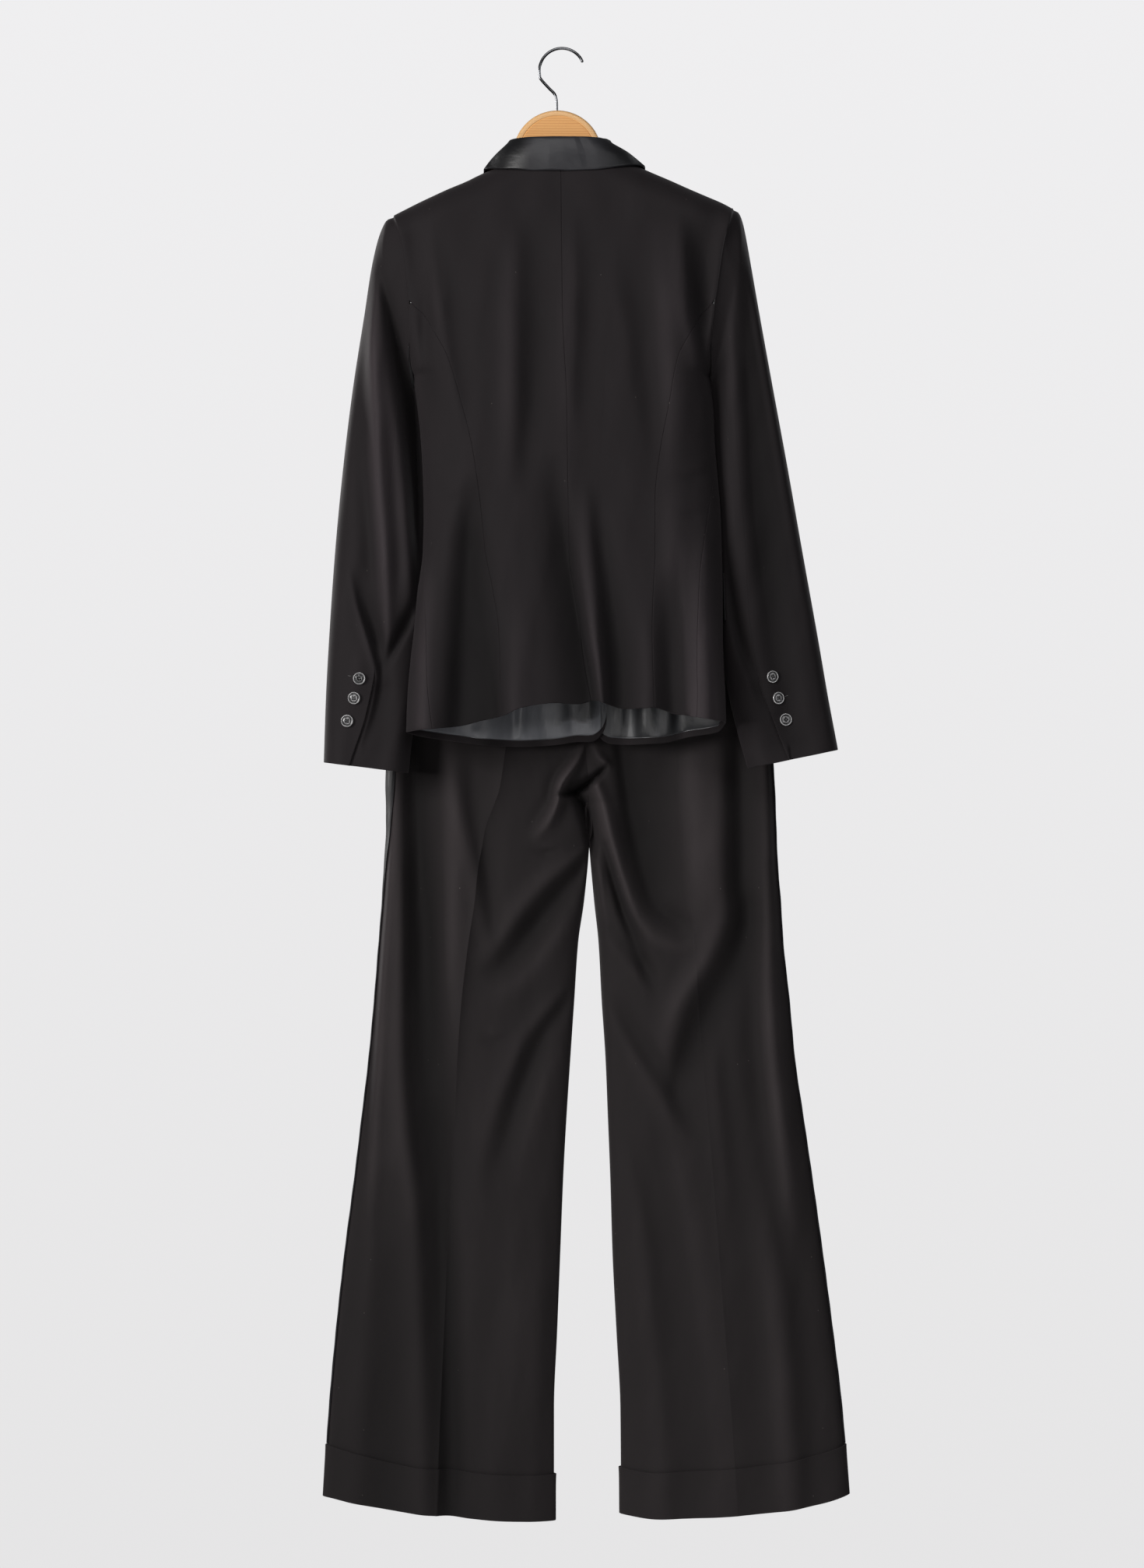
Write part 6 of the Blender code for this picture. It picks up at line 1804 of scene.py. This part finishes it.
def waistband_cloth():
    corners = []
    for mark in np.linspace(0, 1, 13):
        in_by = 0.985 + 0.015 * mark
        corners.append(band_ring(TROUSER_TOP - BAND_HEIGHT * (1 - mark), in_by))
    coarse = np.array(corners)
    fine = []
    for row in coarse:
        closed = np.vstack([row[-2:], row, row[:3]])
        line = smooth_path(closed, 600)
        run = run_of(line[:, None], 0)[:, 0]
        start = run[np.argmin(np.linalg.norm(line[:200] - row[0], axis=1))]
        stop = run[300 + np.argmin(np.linalg.norm(line[300:] - row[0], axis=1))]
        spots = np.linspace(start, stop, 161)[:-1]
        fine.append(np.stack([np.interp(spots, run, line[:, k]) for k in range(3)], -1))
    fine = np.array(fine)
    away = fine.copy()
    away[..., 0] = 0.1 * (fine[..., 0] - fine[..., 0].mean())
    away[..., 1] -= TROUSER_HINGE
    away[..., 2] = 0
    return shell("waistband_cloth", fine, 2.4, away, [TROUSER_WOOL], ring=True)


waistband = waistband_cloth()
stands_for(waistband, "waistband")


# --------------------------------------------------------------------- buttons


def button_piece(name, place, out, radius, spin, node, dull=False):
    """A turned four-hole button, sewn on with two bars of thread."""
    r = radius
    profile = [
        (0, 0.05), (0.55 * r, 0.0), (0.80 * r, 0.18), (0.93 * r, 0.6), (r, 1.15), (0.998 * r, 1.7),
        (0.97 * r, 2.2), (0.93 * r, 2.42), (0.875 * r, 2.36), (0.845 * r, 2.0), (0.83 * r, 1.2),
        (0.76 * r, 0.9), (0.66 * r, 0.9), (0.60 * r, 1.15), (0.575 * r, 1.78), (0.52 * r, 1.98), (0.42 * r, 1.96),
        (0.2 * r, 1.80), (0, 1.78),
    ]
    made = revolved(name, profile, HORN)
    # The turned groove, the holes and the underside take the darkest horn as painted shade, the rim a paler horn as
    # painted highlight, and one button's face a darker horn as painted shade.
    made.data.materials.append(PAINTED_SHADE_HORN)
    made.data.materials.append(PAINTED_SHADE_FACE_HORN)
    made.data.materials.append(PAINTED_HIGHLIGHT_HORN)
    middle = 2 if dull else 0
    kinds = [
        1 if k < 3 or 9 <= k <= 13 else middle if k > 13 else 3
        for k in range(len(profile) - 1)
        for _ in range(48)
    ]
    made.data.polygons.foreach_set("material_index", kinds)
    holes = []
    for k in range(4):
        t = math.radians(45 + 90 * k)
        hole = revolved(
            f"{name}_hole_{k}",
            [(0, -1), (0.135 * r, -1), (0.135 * r, 1.60), (0.165 * r, 1.95), (0.165 * r, 4), (0, 4)],
            PAINTED_SHADE_HORN,
            16,
        )
        hole.data.transform(Matrix.Translation((0.23 * r * MM * math.cos(t), 0.23 * r * MM * math.sin(t), 0)))
        holes.append(hole)
    for hole in holes:
        cut = made.modifiers.new("hole", "BOOLEAN")
        cut.operation = "DIFFERENCE"
        cut.solver = "EXACT"
        cut.object = hole
    applied(made)
    for hole in holes:
        bpy.data.objects.remove(hole, do_unlink=True)
    placed(made, place, out, spin)
    stands_for(made, node)
    reach = 0.23 * r * math.cos(math.radians(45))
    for k, sign in enumerate((-1, 1)):
        for strand in (-0.28, 0.28):
            line = [
                (-reach, sign * reach + strand, 0.9),
                (-reach * 0.9, sign * reach + strand, 1.85),
                (-reach * 0.4, sign * reach + strand, 2.2),
                (reach * 0.4, sign * reach + strand, 2.2),
                (reach * 0.9, sign * reach + strand, 1.85),
                (reach, sign * reach + strand, 0.9),
            ]
            bar = tube(f"{name}_thread_{k}_{'a' if strand < 0 else 'b'}", smooth_path(line, 18), 0.27, THREAD, sides=8)
            placed(bar, place, out, spin)
            stands_for(bar, None)
    return made


def applied(made):
    graph = bpy.context.evaluated_depsgraph_get()
    mesh = bpy.data.meshes.new_from_object(made.evaluated_get(graph))
    made.modifiers.clear()
    old = made.data
    made.data = mesh
    bpy.data.meshes.remove(old)
    made.data.shade_smooth()
    made.data.set_sharp_from_angle(angle=math.radians(40))


def sleeve_spot(hand, across, down):
    part, turn = nearest_on_sleeve(hand, across, down)
    here = draped_sleeve(hand, np.array(part), np.array(turn))
    out = np.cross(
        draped_sleeve(hand, np.array(part), np.array(turn + 4e-3)) - here,
        draped_sleeve(hand, np.array(part + 4e-3), np.array(turn)) - here,
    )
    out *= np.sign(out[1]) / np.linalg.norm(out)
    return here, out


BUTTON_SPIN = {(1, 1): 0.15, (1, 2): 0.05, (1, 3): -0.1, (-1, 1): 0.5, (-1, 2): 0.1, (-1, 3): 0.9}
# Where the worked ends of the buttonholes peep out beside their buttons.
HOLE_END = {(1, 1): (1, 7.5), (-1, 2): (-1, 7.0)}
for hand, label in HANDS:
    for number, (across, down) in enumerate(CUFF_BUTTONS[hand], 1):
        here, out = sleeve_spot(hand, across, down)
        tilt = out + np.array([0.03 * hand, 0, 0.05 * (number - 2)])
        # The first button on the wearer's left is given a face of painted shade.
        button_piece(
            f"cuff_button_{label}_{number}_horn",
            here + out * 1.5,
            tilt,
            BUTTON_RADIUS,
            BUTTON_SPIN[hand, number],
            f"cuff_button_{label}_{number}",
            dull=(hand, number) == (1, 1),
        )
        # The buttonhole: a close-stitched oval under the button, across the sleeve.
        for row, shift in enumerate((-0.55, 0.55)):
            line = []
            for step in np.linspace(-7.5, 7.5, 9):
                along = hand * (step + 1.0)
                flat, way = sleeve_spot(hand, across + along, down - 0.30 * along * hand + shift)
                line.append(flat + way * 0.28)
            stitches = tube(f"buttonhole_{label}_{number}_{row}", smooth_path(line, 40), 0.42, THREAD, 1.0, 8)
            stands_for(stitches, None)
        if (hand, number) in HOLE_END:
            way_x, far = HOLE_END[hand, number]
            line = []
            for step in np.linspace(far + 1.2, far + 5.4, 5):
                flat, way = sleeve_spot(hand, across + way_x * step, down - 0.25 * step)
                line.append(flat + way * 0.9)
            end = tube(f"buttonhole_end_{label}_{number}", smooth_path(line, 12), 0.34, PALE_THREAD, 1.0, 8)
            stands_for(end, None)

button_x = float(FRONT_EDGE("right", 492)) - 9
front_spot = body_drape(
    stacked(button_x, float(body_depth(-1.0, button_x, 492)) - 3.4, 492.0)[None, None]
)[0, 0]
button_piece("front_button_horn", front_spot + (0, -0.7, 0), (0, -1, 0.02), 10.0, 0.2, "front_button")
for row, shift in enumerate((-0.6, 0.6)):
    line = [front_spot + (step, -0.25, shift) for step in np.linspace(-10, 13, 9)]
    stitches = tube(f"front_buttonhole_{row}", smooth_path(line, 40), 0.45, THREAD, 1.0, 8)
    stands_for(stitches, None)
waist_y = float(leg_point(1, -1, 0.98, TROUSER_TOP)[1])
button_piece(
    "waistband_button_horn", (-24, waist_y - 0.6, -(TROUSER_TOP - 20)), (0, -1, 0), BUTTON_RADIUS, 0.4, "waistband_button"
)


# ------------------------------------------------------------------ the hanger


def evenly(points, step):
    points = np.asarray(points, float)
    run = run_of(points[:, None], 0)[:, 0]
    spots = np.linspace(0, run[-1], max(3, int(run[-1] / step)))
    return np.stack([np.interp(spots, run, points[:, k]) for k in range(points.shape[1])], -1)


def hanger_wood():
    """The bow: its rim rounds over, and a fine line is routed inside the half-moon's rim."""
    half, soft = 7.0, 3.4
    ring = np.array(hanger_outline(), float)
    closed = np.vstack([ring, ring[:1]])
    ring = evenly(closed, 2.2)[:-1]
    ring = (np.roll(ring, 1, 0) + 2 * ring + np.roll(ring, -1, 0)) / 4
    along = np.roll(ring, -1, 0) - np.roll(ring, 1, 0)
    inward = np.stack([-along[:, 1], along[:, 0]], -1)
    inward /= np.linalg.norm(inward, axis=1, keepdims=True)
    middle = ring.mean(axis=0)
    if np.sum(inward * (middle - ring)) < 0:
        inward = -inward
    off_disc = np.hypot(ring[:, 0] - DISC[0], ring[:, 1] - DISC[1])
    on_moon = ease((2.0 - np.abs(off_disc - DISC[2])) / 1.5) * ease((150 - ring[:, 1]) / 12)
    # Rows from the back face round the rim to the front face: inset, depth and groove.
    face = [(8.6, 0.0), (7.9, 0.0), (7.4, 0.55), (6.9, 0.75), (6.4, 0.55), (5.9, 0.0), (4.6, 0.0)]
    turn = [(soft * (1 - math.cos(t)), soft * (1 - math.sin(t))) for t in np.radians(np.arange(90, -1, -15))]
    rows = [(inset, half, groove) for inset, groove in face]
    rows += [(inset, half - drop, 0.0) for inset, drop in turn]
    rows += [(inset, -(half - drop), 0.0) for inset, drop in turn[::-1]]
    rows += [(inset, -half, groove) for inset, groove in face[::-1]]
    grid = []
    for inset, depth, groove in rows:
        spot = ring + inward * inset
        level = depth - np.sign(depth) * groove * on_moon
        grid.append(np.stack([spot[:, 0], level, -spot[:, 1]], -1))
    grid = np.array(grid)
    count = len(ring)
    index = np.arange(grid.shape[0] * count).reshape(grid.shape[0], count)
    index = np.concatenate([index, index[:, :1]], axis=1)
    quads = np.stack([index[:-1, :-1], index[:-1, 1:], index[1:, 1:], index[1:, :-1]], -1).reshape(-1, 4).tolist()
    quads.append(list(range(count))[::-1])
    quads.append(list(index[-1, :-1]))
    quads = [[int(v) for v in face] for face in quads]
    made = mesh_of("hanger_bow", grid.reshape(-1, 3), quads, [BEECH], sharp=42)
    return made


bow = hanger_wood()
stands_for(bow, "wooden_hanger")

HOOK_RADIUS, WIRE = 25.8, 1.65
hook_line = [
    (
        -HOOK_RADIUS * math.cos(math.radians(t)),
        0,
        WIRE - HOOK_RADIUS + HOOK_RADIUS * math.sin(math.radians(t)),
    )
    for t in range(22, 206, 12)
]
hook_line += [(14.6, 0, -44.2), (8.3, 0, -50.8), (6.1, 0, -58.5), (5.8, 0, -70), (5.8, 0, -84)]
hook = tube("hook_wire", smooth_path(hook_line, 220), WIRE, CHROME, 1.3, 20)
stands_for(hook, "chrome_hook")

drop_line = [
    (5, -7.5, -152),
    (5, -14, -152.3),
    (5, -26, -158),
    (5, -52, -180),
    (4.5, -70, -225),
    (3, -74, -300),
    (-3, -76, -400),
    (-10, -80, -470),
    (-16, -89, -520),
    (-17.5, -93, -542.1),
]
drop = tube("drop_wire_steel", smooth_path(drop_line, 180), 1.6, STEEL, 0, 16)
stands_for(drop, "drop_wire")
bar = tube("clip_bar_steel", [(x, -93, -545) for x in np.linspace(-147.5, 112.5, 60)], 2.5, STEEL, 2.0, 24)
stands_for(bar, "clip_bar")


def clip_steel(name, across):
    """Sheet steel bent over the bar: rolled lips, ribs pressed down both jaws, a pinched neck."""
    outer = [(13.4, 584.5), (11.4, 582), (10.6, 578), (10.6, 546), (8.6, 541.2), (5, 539.4), (0, 539.0)]
    outer = outer + [(-y, d) for y, d in outer[-2::-1]]
    line = smooth_path([(0, y, -d) for y, d in outer], 90)
    way = np.gradient(line, axis=0)
    way /= np.linalg.norm(way, axis=1, keepdims=True)
    out = np.stack([np.zeros(len(way)), -way[:, 2], way[:, 1]], -1)
    if out[45, 2] < 0:
        out = -out
    marks = stations(28.0, 2.0) - 14.0
    grid, lift = [], []
    for x in marks:
        narrow = 1 - 0.10 * np.exp(-(((line[:, 2] + 548) / 7.0) ** 2))
        grid.append(np.stack([across + x * narrow, TROUSER_HINGE + line[:, 1], line[:, 2]], -1))
        rib = 0.5 * np.exp(-((x / 2.6) ** 2)) + 0.35 * np.exp(-(((abs(x) - 8.5) / 1.5) ** 2))
        lift.append(rib * np.clip((-542 - line[:, 2]) / 8, 0, 1) * np.clip((line[:, 2] + 583) / 4, 0, 1))
    grid, lift = np.array(grid), np.array(lift)
    away = grid - np.array([across, TROUSER_HINGE, -565])
    away[..., 0] = 0
    return shell(name, grid, 1.0, away, [STEEL], lift=lift)


for across, label in ((87.5, "left"), (-122.5, "right")):
    jaw = clip_steel(f"trouser_clip_{label}_steel", across)
    stands_for(jaw, f"trouser_clip_{label}")


# ------------------------------------------------------------------- the studio

scene = bpy.context.scene
scene.view_settings.view_transform = "Standard"
scene.view_settings.look = "None"
scene.view_settings.exposure = 0.0
scene.view_settings.gamma = 1.0

camera_data = bpy.data.cameras.new("camera")
camera_data.sensor_width = 36.0
camera_data.lens = 80.3
camera_data.clip_end = 60.0
camera = bpy.data.objects.new("camera", camera_data)
camera.location = (-0.01157, 4.0, -0.8397)
camera.rotation_euler = (math.radians(90), 0, math.radians(180))
scene.collection.objects.link(camera)
scene.camera = camera

world = bpy.data.worlds.new("studio")
scene.world = world
world.use_nodes = True
tree = world.node_tree
tree.nodes.clear()


def sky(kind, **settings):
    made = tree.nodes.new(kind)
    for key, value in settings.items():
        setattr(made, key, value)
    return made


way = sky("ShaderNodeTexCoord").outputs["Generated"]
parts = sky("ShaderNodeSeparateXYZ")
tree.links.new(way, parts.inputs[0])


def sky_ramp(value, low, high, *stops):
    scaled = sky("ShaderNodeMapRange")
    tree.links.new(value, scaled.inputs["Value"])
    scaled.inputs["From Min"].default_value = low
    scaled.inputs["From Max"].default_value = high
    made = sky("ShaderNodeValToRGB")
    tree.links.new(scaled.outputs[0], made.inputs[0])
    line = made.color_ramp
    for _ in range(len(stops) - 2):
        line.elements.new(0.5)
    for element, (place, colour) in zip(line.elements, stops):
        element.position = place
        element.color = (*colour, 1)
    return made.outputs[0]


# What the camera sees behind the suit: a pale wall, a little brighter at the top.
seen = sky_ramp(parts.outputs["Z"], -0.24, 0.24, (0.0, (0.785, 0.78, 0.785)), (1.0, (0.87, 0.865, 0.875)))
# What lights the suit: bright above, dim at the level of the room and below.
room = sky_ramp(
    parts.outputs["Z"], -1.0, 1.0, (0.0, (0.16, 0.155, 0.155)), (0.45, (0.30, 0.30, 0.31)), (0.62, (0.5, 0.5, 0.52)), (1.0, (0.9, 0.9, 0.93))
)
shade_x = sky_ramp(parts.outputs["X"], -1.0, 1.0, (0.0, (0.25, 0.25, 0.26)), (0.5, (0.7, 0.7, 0.7)), (1.0, (1.15, 1.15, 1.15)))
product = sky("ShaderNodeMix", data_type="RGBA", blend_type="MULTIPLY")
product.inputs["Factor"].default_value = 1.0
tree.links.new(room, product.inputs[6])
tree.links.new(shade_x, product.inputs[7])
lights = sky("ShaderNodeBackground")
tree.links.new(product.outputs[2], lights.inputs["Color"])
lights.inputs["Strength"].default_value = 0.09
wall = sky("ShaderNodeBackground")
tree.links.new(seen, wall.inputs["Color"])
ray = sky("ShaderNodeLightPath")
either = sky("ShaderNodeMixShader")
tree.links.new(ray.outputs["Is Camera Ray"], either.inputs[0])
tree.links.new(lights.outputs[0], either.inputs[1])
tree.links.new(wall.outputs[0], either.inputs[2])
end = sky("ShaderNodeOutputWorld")
tree.links.new(either.outputs[0], end.inputs["Surface"])


def soft_light(name, place, aim, width, height, power, colour=(1, 1, 1)):
    data = bpy.data.lights.new(name, "AREA")
    data.shape = "RECTANGLE"
    data.size, data.size_y = width, height
    data.energy = power
    data.color = colour
    made = bpy.data.objects.new(name, data)
    made.location = place
    made.rotation_euler = (Vector(aim) - Vector(place)).to_track_quat("-Z", "Y").to_euler()
    scene.collection.objects.link(made)
    return made


soft_light("key", (3.13, 3.13, 0.0), (0.0, 0.0, -0.85), 1.6, 1.8, 125, (1.0, 0.985, 0.975))
soft_light("camera fill", (0.2, 3.7, 1.75), (0, 0, -0.85), 1.8, 1.4, 32, (1.0, 0.985, 0.985))
soft_light("low fill", (0.5, 3.75, -1.75), (0, 0, -0.85), 1.6, 1.0, 14, (1.0, 0.985, 0.985))
soft_light("shade side fill", (-3.24, 2.72, 0.69), (0, 0, -0.85), 1.6, 1.8, 22, (0.97, 0.98, 1.0))
soft_light("front key", (2.9, -3.2, 0.3), (0.0, 0.0, -0.85), 1.7, 1.8, 110, (1.0, 0.985, 0.975))
soft_light("front fill", (-2.6, -3.2, 1.0), (0, 0, -0.85), 1.8, 1.8, 46, (0.97, 0.98, 1.0))


def studio_floor():
    """A pale round floor well below the hems, fading into the backdrop at its rim."""
    rings, sides, points, faces = 24, 96, [(0, 0, -2350)], []
    for r in range(1, rings + 1):
        for k in range(sides):
            t = 2 * math.pi * k / sides
            points.append((2600 * r / rings * math.cos(t), 2600 * r / rings * math.sin(t), -2350))
    for k in range(sides):
        faces.append((0, 1 + k, 1 + (k + 1) % sides))
    for r in range(rings - 1):
        for k in range(sides):
            i, j = 1 + r * sides + k, 1 + r * sides + (k + 1) % sides
            faces.append((i, i + sides, j + sides, j))
    made = mesh_of("studio_floor", points, faces, [])
    f = Finish("pale floor", Roughness=0.85, Specular_IOR_Level=0.2)
    spot = f.node("TexCoord").outputs["Object"]
    flat = f.node("VectorMath", {0: f.node("VectorMath", {0: spot, 1: (1, 1, 0)}, operation="MULTIPLY").outputs[0]}, operation="LENGTH").outputs["Value"]
    grain = f.noise(spot, 9.0, detail=5.0)
    f.set(Base_Color=f.ramp(grain, (0.3, (0.66, 0.655, 0.65)), (0.7, (0.70, 0.695, 0.69))))
    scaled = f.node("Math", {0: flat, 1: 1 / 2.6}, operation="MULTIPLY").outputs[0]
    fade = f.ramp(scaled, (0.45, 1.0), (0.97, 0.0))
    f.set(Alpha=fade)
    made.data.materials.append(f.made)


studio_floor()

bpy.context.view_layer.update()
